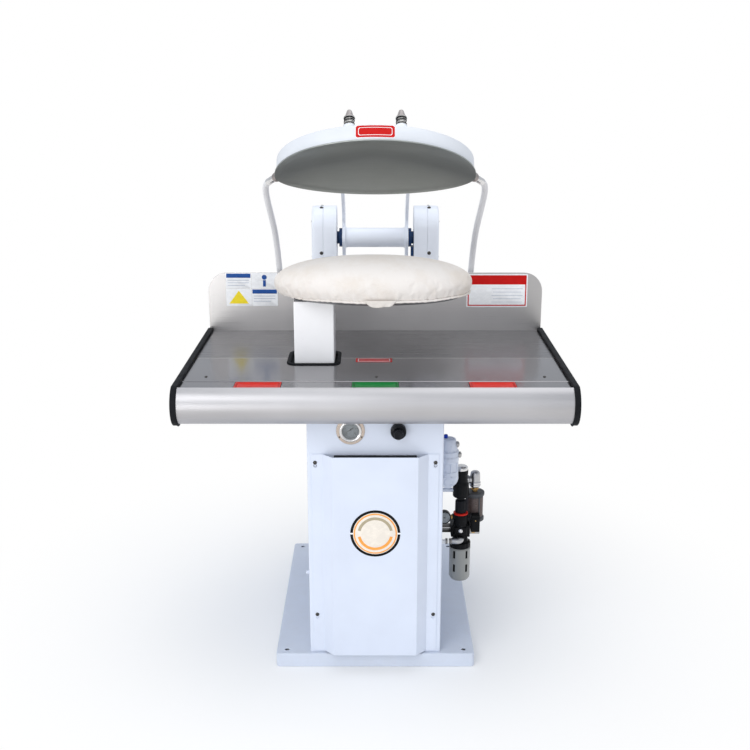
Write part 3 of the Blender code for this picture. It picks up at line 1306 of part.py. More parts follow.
def make_pipes():
    pipe_y = COLUMN_REAR_Y + GAP + PIPE_RADIUS
    cross_z = DECK_BOTTOM_Z - PIPE_CROSS_DROP
    outlet_y = TOWER_REAR_Y - OVERRUN
    for side, name in ((-1, "left"), (1, "right")):
        sunk = PIPE_SOCKET_LENGTH / 3
        stops = [(side * PIPE_OUTER_X, pipe_y, PIPE_TOP_Z - sunk),
                 (side * PIPE_OUTER_X, pipe_y, cross_z), (side * PIPE_INNER_X, pipe_y, cross_z),
                 (side * PIPE_INNER_X, pipe_y, PIPE_OUTLET_Z),
                 (side * PIPE_INNER_X, outlet_y - sunk, PIPE_OUTLET_Z)]
        route = bent_route(stops, PIPE_BEND_RADIUS, PIPE_BEND_STEPS)
        pipe = add_part(f"steam_pipe_{name}", tube_mesh("steam_pipe", route, PIPE_RADIUS), STEEL)
        top = cylinder("top_socket", PIPE_SOCKET_RADIUS, PIPE_SOCKET_LENGTH)
        top_z = PIPE_TOP_Z - PIPE_SOCKET_LENGTH / 2
        outlet = cylinder("outlet_socket", PIPE_SOCKET_RADIUS, PIPE_SOCKET_LENGTH, SMALL_STEPS, "Y")
        join(pipe, add_cutter("top_socket", top, (side * PIPE_OUTER_X, pipe_y, top_z)))
        join(pipe, add_cutter("outlet_socket", outlet,
                              (side * PIPE_INNER_X, outlet_y - PIPE_SOCKET_LENGTH / 2,
                               PIPE_OUTLET_Z)))


# Air cylinder

def cylinder_lean():
    """The cylinder's lean at rest, and the distance between its two pins."""
    lower = Vector((COLUMN_FRONT_Y + CYLINDER_PIVOT_SETBACK, CYLINDER_PIVOT_Z))
    upper = Vector((PIVOT_Y + LEVER_BACK, PIVOT_Z - LEVER_DROP))
    axis = upper - lower
    return math.atan2(axis.x, axis.y), axis.length


def make_cylinder():
    lean, length = cylinder_lean()
    foot = bpy.data.objects.new("cylinder_foot_pivot", None)
    foot.location = (0, COLUMN_FRONT_Y + CYLINDER_PIVOT_SETBACK, CYLINDER_PIVOT_Z)
    foot.rotation_euler = (-lean, 0, 0)
    collection(PARTS).objects.link(foot)
    top = BARREL_FOOT + BARREL_LENGTH
    inner_top = top - BARREL_CAP
    inner_bottom = BARREL_FOOT + BARREL_CAP
    groove = BARREL_RADIUS - BARREL_CAP / 10
    rod_bore = ROD_RADIUS + RUNNING_GAP
    profile = [(0, inner_bottom), (BARREL_BORE, inner_bottom), (BARREL_BORE, inner_top),
               (rod_bore, inner_top), (rod_bore, top), (BARREL_RADIUS, top),
               (BARREL_RADIUS, inner_top), (groove, inner_top), (groove, inner_bottom),
               (BARREL_RADIUS, inner_bottom), (BARREL_RADIUS, BARREL_FOOT), (0, BARREL_FOOT)]
    barrel = turned("cylinder_barrel", profile, WHITE, parent=foot)
    tongue_size = (FOOT_EYE_WIDTH, 2 * FOOT_EYE_RADIUS, BARREL_FOOT + BARREL_CAP / 2)
    tongue = add_cutter("foot_tongue", block("foot_tongue", tongue_size),
                        (0, 0, tongue_size[2] / 2), parent=foot)
    eye = add_cutter("foot_eye", cylinder("foot_eye", FOOT_EYE_RADIUS, FOOT_EYE_WIDTH
                                          - OVERRUN / 4, ROUND_STEPS, "X"), parent=foot)
    join(barrel, tongue)
    join(barrel, eye)
    bore = cylinder("foot_bore", bore_radius(FOOT_PIN_RADIUS, SMALL_STEPS, RUNNING_GAP),
                    FOOT_EYE_WIDTH + 2 * OVERRUN, SMALL_STEPS, "X")
    cut(barrel, add_cutter("foot_bore", bore, parent=foot))
    piston_bottom = inner_bottom + PISTON_FLOOR_GAP
    piston_top = piston_bottom + PISTON_THICKNESS
    eye_bottom = length - ROD_EYE_RADIUS / 2
    piston_radius = BARREL_BORE - GAP
    profile = [(0, eye_bottom), (ROD_RADIUS, eye_bottom), (ROD_RADIUS, piston_top),
               (piston_radius, piston_top), (piston_radius, piston_bottom), (0, piston_bottom)]
    rod = turned("piston_rod", profile, STEEL, parent=foot)
    eye = cylinder("rod_eye", ROD_EYE_RADIUS, ROD_EYE_WIDTH, ROUND_STEPS, "X")
    join(rod, add_cutter("rod_eye", eye, (0, 0, length), parent=foot))
    bore = cylinder("rod_bore", bore_radius(LEVER_PIN_RADIUS, SMALL_STEPS, ROD_EYE_PLAY),
                    ROD_EYE_WIDTH + 2 * OVERRUN, SMALL_STEPS, "X")
    cut(rod, add_cutter("rod_bore", bore, (0, 0, length), parent=foot))


def make_cylinder_bracket():
    plate_y = COLUMN_REAR_Y + GAP + BRACKET_PLATE_THICKNESS / 2
    size = (BRACKET_PLATE_WIDTH, BRACKET_PLATE_THICKNESS, BRACKET_PLATE_HEIGHT)
    bracket = add_part("cylinder_bracket", block("cylinder_bracket", size), WHITE,
                       (0, plate_y, CYLINDER_PIVOT_Z))
    pin_y = COLUMN_FRONT_Y + CYLINDER_PIVOT_SETBACK
    ear_x = FOOT_EYE_WIDTH / 2 + GAP + BRACKET_EAR_THICKNESS / 2
    root_y = plate_y - BRACKET_PLATE_THICKNESS / 4
    radius = FOOT_EYE_RADIUS
    outline = [(root_y, CYLINDER_PIVOT_Z - 1.6 * radius),
               *arc((pin_y, CYLINDER_PIVOT_Z), radius, -90, 90, 8),
               (root_y, CYLINDER_PIVOT_Z + 1.6 * radius)]
    for side in (-1, 1):
        ear = flat_mesh("bracket_ear", outline, BRACKET_EAR_THICKNESS, "YZ")
        join(bracket, add_cutter("bracket_ear", ear, (side * ear_x, 0, 0)))
    pin_length = 2 * (ear_x + BRACKET_EAR_THICKNESS / 2 + OVERRUN)
    pin = cylinder("bracket_pin", FOOT_PIN_RADIUS, pin_length, SMALL_STEPS, "X")
    join(bracket, add_cutter("bracket_pin", pin, (0, pin_y, CYLINDER_PIVOT_Z)))


# Instruments on the front

FACING_FRONT = (math.pi / 2, 0, 0)


def make_gauge():
    place = (GAUGE_X, COLUMN_FRONT_Y, COLUMN_TOP_Z - GAUGE_DROP)
    step = GAUGE_BEZEL_RISE - GAUGE_LENS_THICKNESS - 2 * GAP
    flange = GAP + GAUGE_FLANGE_THICKNESS
    profile = [(0, -GAUGE_CUP_DEPTH), (GAUGE_CUP_RADIUS, -GAUGE_CUP_DEPTH),
               (GAUGE_CUP_RADIUS, step), (GAUGE_LENS_RADIUS + GAP, step),
               (GAUGE_LENS_RADIUS + GAP, GAUGE_BEZEL_RISE), (GAUGE_BEZEL_RADIUS, GAUGE_BEZEL_RISE),
               (GAUGE_BEZEL_RADIUS, flange), (GAUGE_FLANGE_RADIUS, flange),
               (GAUGE_FLANGE_RADIUS, GAP), (GAUGE_BODY_RADIUS, GAP),
               (GAUGE_BODY_RADIUS, -GAUGE_BODY_DEPTH), (0, -GAUGE_BODY_DEPTH)]
    turned("gauge_case", profile, BRONZE, FINE_STEPS, place=place, turn=FACING_FRONT)
    lens_bottom = step + GAP
    radius = GAUGE_LENS_RADIUS
    turned("gauge_lens", [(0, lens_bottom + GAUGE_LENS_THICKNESS),
                          (radius, lens_bottom + GAUGE_LENS_THICKNESS), (radius, lens_bottom),
                          (0, lens_bottom)], CLEAR, FINE_STEPS, place=place, turn=FACING_FRONT)
    make_needle(place, GAP - GAUGE_CUP_DEPTH)


def make_needle(place, lift):
    """The needle lies just above the dial; its object's origin is on the needle's axis."""
    half = NEEDLE_HALF_WIDTH
    outline = [(-NEEDLE_TAIL, -half), (-half, -half), (NEEDLE_LENGTH, -half / 4),
               (NEEDLE_LENGTH, half / 4), (-half, half), (-NEEDLE_TAIL, half)]
    data = flat_mesh("gauge_needle", outline, NEEDLE_THICKNESS, "XY")
    middle = lift + NEEDLE_THICKNESS / 2
    data.transform(Matrix.Rotation(math.radians(180 - NEEDLE_ZERO_DEG), 4, "Z"))
    data.transform(Matrix.Translation((0, 0, middle)))
    needle = add_part("gauge_needle", data, BLACK_PLASTIC, place, FACING_FRONT)
    hub = cylinder("needle_hub", NEEDLE_HUB_RADIUS, NEEDLE_THICKNESS + GAP, TINY_STEPS)
    hub.transform(Matrix.Translation((0, 0, middle + GAP / 2)))
    join(needle, add_cutter("needle_hub", hub, place, FACING_FRONT))


def make_panel_knob():
    taper = 0.92
    profile = [(0, KNOB_LENGTH), (KNOB_GRIP_RADIUS * taper, KNOB_LENGTH),
               (KNOB_GRIP_RADIUS, KNOB_LENGTH * taper),
               (KNOB_GRIP_RADIUS, KNOB_SKIRT_LENGTH + GAP),
               (KNOB_SKIRT_RADIUS * taper, KNOB_SKIRT_LENGTH),
               (KNOB_SKIRT_RADIUS, KNOB_SKIRT_LENGTH * taper), (KNOB_SKIRT_RADIUS, GAP),
               (KNOB_STEM_RADIUS, GAP), (KNOB_STEM_RADIUS, -KNOB_STEM_LENGTH),
               (0, -KNOB_STEM_LENGTH)]
    turned("panel_knob", profile, BLACK_PLASTIC, place=(KNOB_X, COLUMN_FRONT_Y,
                                                        COLUMN_TOP_Z - KNOB_DROP),
           turn=FACING_FRONT)


# Steam valve and air fittings on the column's right side

def side_x(stand=0.0):
    return COLUMN_WIDTH / 2 + GAP + stand


def make_steam_valve():
    y = COLUMN_FRONT_Y + STEAM_VALVE_SETBACK
    radius = STEAM_VALVE_RADIUS
    dome = arc((0, radius), radius, 0, -90, 6)
    dome[-1] = (0, dome[-1][1])
    profile = [(0, STEAM_VALVE_TOP_HEIGHT), (STEAM_VALVE_TOP_RADIUS, STEAM_VALVE_TOP_HEIGHT),
               (STEAM_VALVE_TOP_RADIUS, STEAM_VALVE_DOME_HEIGHT + STEAM_VALVE_CAP_RADIUS),
               (radius, STEAM_VALVE_DOME_HEIGHT), *dome]
    valve = turned("steam_valve", profile, WHITE, SMALL_STEPS,
                   place=(STEAM_VALVE_X, y, STEAM_VALVE_BOTTOM_Z))
    trim = add_cutter("valve_trim", block("valve_trim", (STEAM_VALVE_X, 4 * radius,
                                                         2 * STEAM_VALVE_TOP_HEIGHT)),
                      (side_x() - STEAM_VALVE_X / 2, y, STEAM_VALVE_BOTTOM_Z
                       + STEAM_VALVE_TOP_HEIGHT / 2))
    stub_length = STEAM_VALVE_X - side_x() + radius / 2
    stub_z = STEAM_VALVE_BOTTOM_Z + STEAM_VALVE_DOME_HEIGHT / 2
    stub = cylinder("valve_stub", STEAM_VALVE_STUB_RADIUS, stub_length, ROUND_STEPS, "X")
    join(valve, add_cutter("valve_stub", stub, (side_x() + stub_length / 2, y, stub_z)))
    cut(valve, trim)
    cap_length = STEAM_VALVE_CAP_HEIGHT + OVERRUN
    cap = cylinder("valve_cap", STEAM_VALVE_CAP_RADIUS, cap_length)
    top_z = STEAM_VALVE_BOTTOM_Z + STEAM_VALVE_TOP_HEIGHT + STEAM_VALVE_CAP_HEIGHT
    join(valve, add_cutter("valve_cap", cap, (STEAM_VALVE_X - STEAM_VALVE_CAP_SHIFT, y,
                                              top_z - cap_length / 2)))


def make_regulator():
    """Filter-regulator body: collar, waist with a port block, bracket arm and bracket plate."""
    y = COLUMN_FRONT_Y + AIR_SETBACK
    bottom = FILTER_TOP_Z + GAP
    radius = REGULATOR_RADIUS
    tall = REGULATOR_HEIGHT
    neck_bore = bore_radius(REGULATOR_NECK_RADIUS, ROUND_STEPS)
    profile = [(0, tall - 2 * PORT_DEPTH), (neck_bore, tall - 2 * PORT_DEPTH), (neck_bore, tall),
               (0.92 * radius, tall), (radius, 0.92 * tall),
               (radius, 1.5 * REGULATOR_COLLAR_HEIGHT),
               (REGULATOR_COLLAR_RADIUS, REGULATOR_COLLAR_HEIGHT), (REGULATOR_COLLAR_RADIUS, 0),
               (0, 0)]
    body = turned("regulator_body", profile, BLACK_PLASTIC, place=(AIR_AXIS_X, y, bottom))
    block_y = y + REGULATOR_BLOCK_SIZE[1] / 2 - radius / 2
    block_z = bottom + REGULATOR_BLOCK_LIFT
    ports = block("regulator_ports", REGULATOR_BLOCK_SIZE, BLOCK_EDGE_RADIUS, "Z", 2)
    join(body, add_cutter("regulator_ports", ports, (AIR_AXIS_X, block_y, block_z)))
    wide, deep, high = AIR_BRACKET_SIZE
    reach = AIR_AXIS_X - side_x(wide / 2)
    arm = add_cutter("bracket_arm", block("bracket_arm", (reach, deep / 2, BRACKET_ARM_HEIGHT)),
                     (side_x(wide / 2) + reach / 2, block_y, block_z))
    plate = add_cutter("bracket_plate", block("bracket_plate", AIR_BRACKET_SIZE),
                       (side_x(wide / 2), block_y, block_z))
    join(body, arm)
    join(body, plate)
    gauge_port = cylinder("gauge_port", bore_radius(SIDE_GAUGE_STEM_RADIUS, SMALL_STEPS),
                          2 * (radius + OVERRUN), SMALL_STEPS, "X")
    cut(body, add_cutter("gauge_port", gauge_port,
                         (AIR_AXIS_X - 2 * radius - OVERRUN + PORT_DEPTH, side_gauge_y(),
                          FILTER_TOP_Z + SIDE_GAUGE_LIFT)))
    air_port = cylinder("air_port", bore_radius(AIR_TUBE_RADIUS, SMALL_STEPS),
                        2 * (radius + OVERRUN), SMALL_STEPS, "Y")
    cut(body, add_cutter("air_port", air_port,
                         (AIR_AXIS_X, y - 2 * radius - OVERRUN + PORT_DEPTH,
                          FILTER_TOP_Z + AIR_TUBE_LIFT)))
    make_regulator_knob(bottom + tall + GAP)


def make_regulator_knob(bottom):
    radius = REGULATOR_KNOB_RADIUS
    high = REGULATOR_KNOB_HEIGHT
    neck = REGULATOR_NECK_RADIUS
    profile = [(0, high), (0.85 * radius, high), (radius, 0.92 * high), (radius, 0.1 * high),
               (0.9 * radius, 0), (neck, 0), (neck, -1.5 * PORT_DEPTH), (0, -1.5 * PORT_DEPTH)]
    turned("regulator_knob", profile, BLACK_PLASTIC,
           place=(AIR_AXIS_X, COLUMN_FRONT_Y + AIR_SETBACK, bottom))


def make_filter():
    y = COLUMN_FRONT_Y + AIR_SETBACK
    bottom = FILTER_TOP_Z - GUARD_HEIGHT
    radius = GUARD_RADIUS
    wall = GUARD_WALL
    round_low = radius / 3
    profile = [(0, wall), (0.5 * radius - wall / 2, wall),
               (0.85 * radius - wall, round_low / 4 + wall),
               (radius - wall, round_low + wall / 2), (radius - wall, GUARD_HEIGHT),
               (radius, GUARD_HEIGHT), (radius, round_low), (0.85 * radius, round_low / 4),
               (0.5 * radius, 0), (0, 0)]
    guard = turned("filter_guard", profile, GUARD_GREY, place=(AIR_AXIS_X, y, bottom))
    for lift in GUARD_SLOT_LIFTS:
        for angle_deg in GUARD_SLOT_ANGLES_DEG:
            slot = block("guard_slot", (2 * (radius + OVERRUN), GUARD_SLOT_WIDTH,
                                        GUARD_SLOT_HEIGHT))
            cut(guard, add_cutter("guard_slot", slot, (AIR_AXIS_X, y, bottom + lift),
                                  (0, 0, math.radians(angle_deg))))


def side_gauge_y():
    return COLUMN_FRONT_Y + AIR_SETBACK - REGULATOR_RADIUS / 4


def make_side_gauge():
    """A small gauge that faces the operator, on a stem screwed into the regulator's side."""
    z = FILTER_TOP_Z + SIDE_GAUGE_LIFT
    radius = SIDE_GAUGE_RADIUS
    deep = SIDE_GAUGE_DEPTH
    profile = [(0, 0.9 * deep), (0.84 * radius, 0.9 * deep), (0.88 * radius, deep),
               (radius, 0.95 * deep), (radius, 0.6 * deep), (0.93 * radius, 0.55 * deep),
               (0.93 * radius, 0), (0, 0)]
    gauge = turned("side_gauge", profile, BLACK_PLASTIC,
                   place=(SIDE_GAUGE_X, side_gauge_y() + deep / 2, z), turn=FACING_FRONT)
    port_floor = AIR_AXIS_X - REGULATOR_RADIUS + PORT_DEPTH
    length = port_floor - GAP - SIDE_GAUGE_X
    stem = cylinder("gauge_stem", SIDE_GAUGE_STEM_RADIUS, length, SMALL_STEPS, "X")
    join(gauge, add_cutter("gauge_stem", stem, (SIDE_GAUGE_X + length / 2, side_gauge_y(), z)))


def make_air_tube():
    """A bright elbow out of the regulator's front, then a tube to the column's side."""
    y = COLUMN_FRONT_Y + AIR_SETBACK - REGULATOR_RADIUS + PORT_DEPTH - GAP
    z = FILTER_TOP_Z + AIR_TUBE_LIFT
    front_y = y - PORT_DEPTH - AIR_TUBE_STAND
    stops = [(AIR_AXIS_X, y, z), (AIR_AXIS_X, front_y, z), (side_x(), front_y, z)]
    route = bent_route(stops, 0.6 * AIR_TUBE_STAND, 4)
    tube = add_part("air_tube", tube_mesh("air_tube", route, AIR_TUBE_RADIUS, 2), STEEL)
    nut_length = AIR_TUBE_STAND / 2
    nut = cylinder("air_nut", 1.5 * AIR_TUBE_RADIUS, nut_length, 6, "X")
    join(tube, add_cutter("air_nut", nut, (AIR_AXIS_X - 2 * AIR_TUBE_STAND, front_y, z)))


def make_solenoid():
    x = AIR_AXIS_X + COIL_SHIFT_X
    y = COLUMN_FRONT_Y + AIR_SETBACK + COIL_SHIFT_BACK
    bottom = FILTER_TOP_Z + REGULATOR_BLOCK_LIFT + REGULATOR_BLOCK_SIZE[2] / 2 + 2 * GAP
    block_high = VALVE_BLOCK_SIZE[2]
    valve_x = AIR_AXIS_X + REGULATOR_BLOCK_SIZE[0] / 2 + GAP + VALVE_BLOCK_SIZE[0] / 2
    add_part("solenoid_valve", block("solenoid_valve", VALVE_BLOCK_SIZE, BLOCK_EDGE_RADIUS, "Z", 2),
             STEEL, (valve_x, y, bottom - GAP - block_high / 2))
    tall = COIL_HEIGHT
    flange = COIL_FLANGE_THICKNESS
    neck_top = tall + COIL_TOP_HEIGHT
    head = COIL_HEAD_RADIUS
    head_top = neck_top + COIL_HEAD_HEIGHT
    profile = [(0, head_top), (0.8 * head, head_top), (head, head_top - head / 3),
               (head, neck_top + head / 3), (0.8 * head, neck_top), (COIL_TOP_RADIUS, neck_top),
               (COIL_TOP_RADIUS, tall), (COIL_FLANGE_RADIUS, tall),
               (COIL_FLANGE_RADIUS, tall - flange), (COIL_RADIUS, tall - flange),
               (COIL_RADIUS, flange), (COIL_FLANGE_RADIUS, flange), (COIL_FLANGE_RADIUS, 0),
               (0, 0)]
    coil = turned("solenoid_coil", profile, COIL_GREY, place=(x, y, bottom))
    wide, deep, high = COIL_BOX_SIZE
    clear = VALVE_BLOCK_SIZE[1] / 2 + GAP
    deep += COIL_FLANGE_RADIUS - clear
    box = block("coil_connector", (wide, deep, high), BUTTON_CORNER_RADIUS)
    join(coil, add_cutter("coil_connector", box, (x, y - clear - deep / 2,
                                                  bottom + COIL_BOX_RISE - high / 2)))


def make_pilot_valve():
    y = COLUMN_FRONT_Y + PILOT_SETBACK
    z = FILTER_TOP_Z + PILOT_LIFT
    neck = PILOT_NECK_RADIUS
    body = PILOT_BODY_HEIGHT
    cap = PILOT_CAP_HEIGHT
    top = PILOT_HEIGHT + cap
    profile = [(0, top), (0.5 * neck, top - 0.05 * cap), (0.9 * neck, top - 0.3 * cap),
               (0.98 * neck, top - 0.7 * cap), (0.98 * neck, PILOT_HEIGHT), (neck, PILOT_HEIGHT),
               (neck, body + cap / 2), (PILOT_RADIUS, body), (PILOT_RADIUS, 0), (0, 0)]
    valve = turned("pilot_valve", profile, BLACK_PLASTIC, SMALL_STEPS, place=(AIR_AXIS_X, y, z))
    length = AIR_AXIS_X - side_x()
    stub = cylinder("pilot_stub", PILOT_STUB_RADIUS, length, SMALL_STEPS, "X")
    join(valve, add_cutter("pilot_stub", stub, (side_x() + length / 2, y, z + body / 2)))


def build():
    clear_scene()
    make_base()
    make_column()
    make_front_cover()
    make_rear_cover()
    make_deck()
    make_rails()
    make_table_panels()
    make_nose()
    make_end_trims()
    make_slot_edging()
    make_splash()
    make_push_plates()
    make_post()
    make_buck()
    make_towers()
    pivot = make_pivot_empty()
    make_yoke(pivot)
    make_head(pivot)
    make_head_bolts(pivot)
    make_unions(pivot)
    make_hoses(pivot)
    make_pipes()
    make_cylinder()
    make_cylinder_bracket()
    make_gauge()
    make_panel_knob()
    make_steam_valve()
    make_regulator()
    make_filter()
    make_side_gauge()
    make_air_tube()
    make_solenoid()
    make_pilot_valve()


build()
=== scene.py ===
"""Looks of a mushroom ironing press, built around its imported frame. Metres, +Z up, -Y to the operator."""
import json
import math

import bmesh
import bpy
import numpy as np
from mathutils import Matrix, Vector


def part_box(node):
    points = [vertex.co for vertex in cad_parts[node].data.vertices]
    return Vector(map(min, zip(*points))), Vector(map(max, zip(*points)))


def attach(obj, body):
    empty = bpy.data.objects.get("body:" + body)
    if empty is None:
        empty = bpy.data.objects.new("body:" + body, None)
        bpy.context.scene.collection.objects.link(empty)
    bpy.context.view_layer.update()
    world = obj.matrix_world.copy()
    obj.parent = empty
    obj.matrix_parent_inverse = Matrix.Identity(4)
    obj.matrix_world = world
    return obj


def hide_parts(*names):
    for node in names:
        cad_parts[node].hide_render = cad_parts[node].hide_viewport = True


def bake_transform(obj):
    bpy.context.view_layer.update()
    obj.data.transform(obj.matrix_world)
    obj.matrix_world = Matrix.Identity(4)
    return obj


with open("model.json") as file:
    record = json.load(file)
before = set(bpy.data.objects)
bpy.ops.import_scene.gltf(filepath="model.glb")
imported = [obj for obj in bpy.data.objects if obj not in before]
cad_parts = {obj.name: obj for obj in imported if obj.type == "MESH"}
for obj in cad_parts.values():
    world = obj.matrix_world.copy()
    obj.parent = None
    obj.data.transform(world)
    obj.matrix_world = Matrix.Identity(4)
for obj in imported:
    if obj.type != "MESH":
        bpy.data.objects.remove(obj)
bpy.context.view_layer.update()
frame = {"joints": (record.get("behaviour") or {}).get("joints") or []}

MM = 0.001
GAP = 0.3 * MM
SIDES = ((-1, "left"), (1, "right"))

# Places read from the frame

joints = {joint["name"]: joint for joint in frame["joints"]}
PIVOT = Vector(joints["head_swing"]["pos_m"])
OPEN_ANGLE = math.radians(joints["head_swing"]["range_deg"][1])
HEAD = Matrix.Translation(PIVOT) @ Matrix.Rotation(-OPEN_ANGLE, 4, "X")
COLUMN_LOW, COLUMN_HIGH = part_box("column_shell")
FRONT_Y = COLUMN_LOW.y
SIDE_X = COLUMN_HIGH.x
PAD_LOW, PAD_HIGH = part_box("buck_pad")
TABLE_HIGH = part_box("table_rear_panel")[1]
BAND_Z = TABLE_HIGH.z - 0.0015

# The mushroom plan that pad, plate and rim share

WIDEST_Y = FRONT_Y + 0.305
PLATE_HALF_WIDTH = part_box("head_plate")[1].x
PLATE_FRONT_REACH = 0.199
PLATE_REAR_REACH = 0.103
HEAD_WIDEST_Y = WIDEST_Y - PIVOT.y
HEAD_RIM_Z = PAD_LOW.z + 0.085 - PIVOT.z


def plan_ring(inset, height, widest_y, steps):
    """The mushroom plan drawn in by an inset: long in front of its widest line, short behind."""
    ring = []
    for i in range(steps):
        angle = 2 * math.pi * i / steps
        reach = PLATE_REAR_REACH if math.sin(angle) > 0 else PLATE_FRONT_REACH
        ring.append(Vector(((PLATE_HALF_WIDTH - inset) * math.cos(angle),
            widest_y + (reach - inset) * math.sin(angle), height)))
    return ring


def plan_rings(pairs, widest_y, steps):
    return [plan_ring(inset, height, widest_y, steps) for inset, height in pairs]


def scaled_ring(share, inset, height, widest_y, steps):
    """The same plan shrunk to a share of its size about the middle of its length."""
    middle = Vector((0, widest_y + (PLATE_REAR_REACH - PLATE_FRONT_REACH) / 2, height))
    return [middle + (point - middle) * share for point in plan_ring(inset, height, widest_y, steps)]


# Camera at the photograph's viewing angle

PHOTO_WIDTH = 750
FOCAL_PIXELS = 1069.35
PHOTO_SHIFT = -0.3
CAMERA_AT = (0, -3.2851, 1.7719)
CAMERA_DOWN_DEG = 15.93


def make_camera():
    camera = bpy.data.cameras.new("camera")
    camera.sensor_width = 36
    camera.lens = FOCAL_PIXELS / PHOTO_WIDTH * camera.sensor_width
    camera.shift_x = PHOTO_SHIFT / PHOTO_WIDTH
    holder = bpy.data.objects.new("camera", camera)
    holder.location = CAMERA_AT
    holder.rotation_euler = (math.radians(90 - CAMERA_DOWN_DEG), 0, 0)
    bpy.context.scene.collection.objects.link(holder)
    bpy.context.scene.camera = holder


# Materials: each has its colour, gloss and relief from nodes

def feed(tree, socket, value):
    """Sets an input to a value, or links it to another node's output."""
    if isinstance(value, bpy.types.NodeSocket):
        tree.links.new(value, socket)
    else:
        socket.default_value = value


def add_node(tree, kind, **inputs):
    """Adds a shader node; an underscore in an input's name stands for a space."""
    made = tree.nodes.new("ShaderNode" + kind)
    for name, value in inputs.items():
        feed(tree, made.inputs[name.replace("_", " ")], value)
    return made


class Finish:
    """A Principled material on object coordinates, whose nodes are added one by one."""

    def __init__(self, name, **constants):
        self.material = bpy.data.materials.new(name)
        self.material.use_nodes = True
        self.tree = self.material.node_tree
        self.tree.nodes.clear()
        self.bsdf = self.node("BsdfPrincipled", **constants)
        self.node("OutputMaterial", Surface=self.bsdf.outputs["BSDF"])
        self.coordinates = self.node("TexCoord").outputs["Object"]

    def node(self, kind, **inputs):
        return add_node(self.tree, kind, **inputs)

    def mapped(self, **inputs):
        return self.node("Mapping", Vector=self.coordinates, **inputs).outputs["Vector"]

    def stretched(self, scale):
        return self.mapped(Scale=scale)

    def wave(self, turn, **inputs):
        return self.node("TexWave", Vector=self.mapped(Rotation=turn), **inputs).outputs["Fac"]

    def noise(self, scale, detail=3.0, roughness=0.55, vector=None):
        return self.node("TexNoise", Vector=vector or self.coordinates, Scale=scale, Detail=detail,
            Roughness=roughness).outputs["Fac"]

    def ramp(self, factor, *stops):
        made = self.node("ValToRGB", Fac=factor)
        elements = made.color_ramp.elements
        while len(elements) < len(stops):
            elements.new(0.5)
        for element, (place, colour) in zip(elements, stops):
            element.position = place
            element.color = (*colour, 1)
        return made.outputs["Color"]

    def span(self, factor, low, high, from_low=0.3, from_high=0.7):
        return self.node("MapRange", Value=factor, From_Min=from_low, From_Max=from_high, To_Min=low,
            To_Max=high).outputs["Result"]

    def maths(self, operation, first, second):
        made = self.node("Math")
        made.operation = operation
        feed(self.tree, made.inputs[0], first)
        feed(self.tree, made.inputs[1], second)
        return made.outputs[0]

    def mix(self, factor, first, second, blend="MIX"):
        made = self.node("Mix")
        made.data_type = "RGBA"
        made.blend_type = blend
        feed(self.tree, made.inputs["Factor"], factor)
        for socket, value in ((made.inputs[6], first), (made.inputs[7], second)):
            feed(self.tree, socket, value if isinstance(value, bpy.types.NodeSocket) else (*value, 1))
        return made.outputs[2]

    def colour(self, value):
        feed(self.tree, self.bsdf.inputs["Base Color"], value)

    def roughness(self, value):
        feed(self.tree, self.bsdf.inputs["Roughness"], value)

    def bump(self, height, distance, strength=1.0):
        made = self.node("Bump", Height=height, Distance=distance, Strength=strength)
        previous = self.bsdf.inputs["Normal"]
        if previous.is_linked:
            self.tree.links.new(previous.links[0].from_socket, made.inputs["Normal"])
        self.tree.links.new(made.outputs["Normal"], previous)


def shades(colour, low, high):
    return [tuple(channel * share for channel in colour) for share in (low, high)]


def painted(name, colour, roughness=0.36, dust=0.0):
    """Powder coat: orange peel, cloudy gloss and, where asked for, a little dust."""
    finish = Finish(name, Specular_IOR_Level=0.5, Coat_Weight=0.12, Coat_Roughness=0.18)
    dark, light = shades(colour, 0.955, 1.02)
    tone = finish.ramp(finish.noise(5.5, 4), (0.30, dark), (0.68, light))
    if dust:
        speckle = finish.noise(38, 6, 0.7)
        tone = finish.mix(finish.span(speckle, 0, dust, 0.45, 0.75), tone, (0.50, 0.48, 0.46))
    finish.colour(tone)
    finish.roughness(finish.span(finish.noise(21, 4), roughness - 0.07, roughness + 0.08))
    finish.bump(finish.noise(620, 2), 0.12 * MM, 0.35)
    finish.bump(finish.noise(9, 2), 0.6 * MM, 0.25)
    return finish.material


GRAIN = (2.2, 900, 900)


def brushed(name, colour, roughness=0.33, contrast=0.025):
    """Stainless sheet with its grain along the table, faint cloudiness and hairline scratches."""
    finish = Finish(name, Metallic=1.0)
    grain = finish.noise(1.0, 5, 0.62, finish.stretched(GRAIN))
    clouds = finish.noise(2.6, 3)
    dark, light = shades(colour, 1 - contrast, 1 + contrast)
    streaks = finish.ramp(grain, (0.34, dark), (0.66, light))
    low, high = shades((1, 1, 1), 0.90, 1.0)
    finish.colour(finish.mix(1.0, streaks, finish.ramp(clouds, (0.35, low), (0.65, high)), "MULTIPLY"))
    finish.roughness(finish.maths("ADD", finish.span(grain, roughness - 0.06, roughness + 0.07),
        finish.span(clouds, -0.03, 0.04)))
    finish.bump(grain, 0.02 * MM, 0.35)
    return finish.material


def turned_metal(name, colour, roughness=0.22, metallic=1.0, contrast=0.12):
    """Machined or plated metal: fine tool marks, small spots and a slightly uneven gloss."""
    finish = Finish(name, Metallic=metallic)
    dark, light = shades(colour, 1 - contrast, 1 + contrast / 2)
    marks = finish.noise(1.0, 4, 0.6, finish.stretched((160, 160, 1500)))
    finish.colour(finish.mix(finish.span(finish.noise(70, 4), 0, 0.35, 0.5, 0.8),
        finish.ramp(marks, (0.35, dark), (0.65, light)), tuple(channel * 0.72 for channel in colour)))
    finish.roughness(finish.span(finish.noise(45, 4), roughness - 0.05, roughness + 0.10))
    finish.bump(marks, 0.03 * MM, 0.4)
    return finish.material


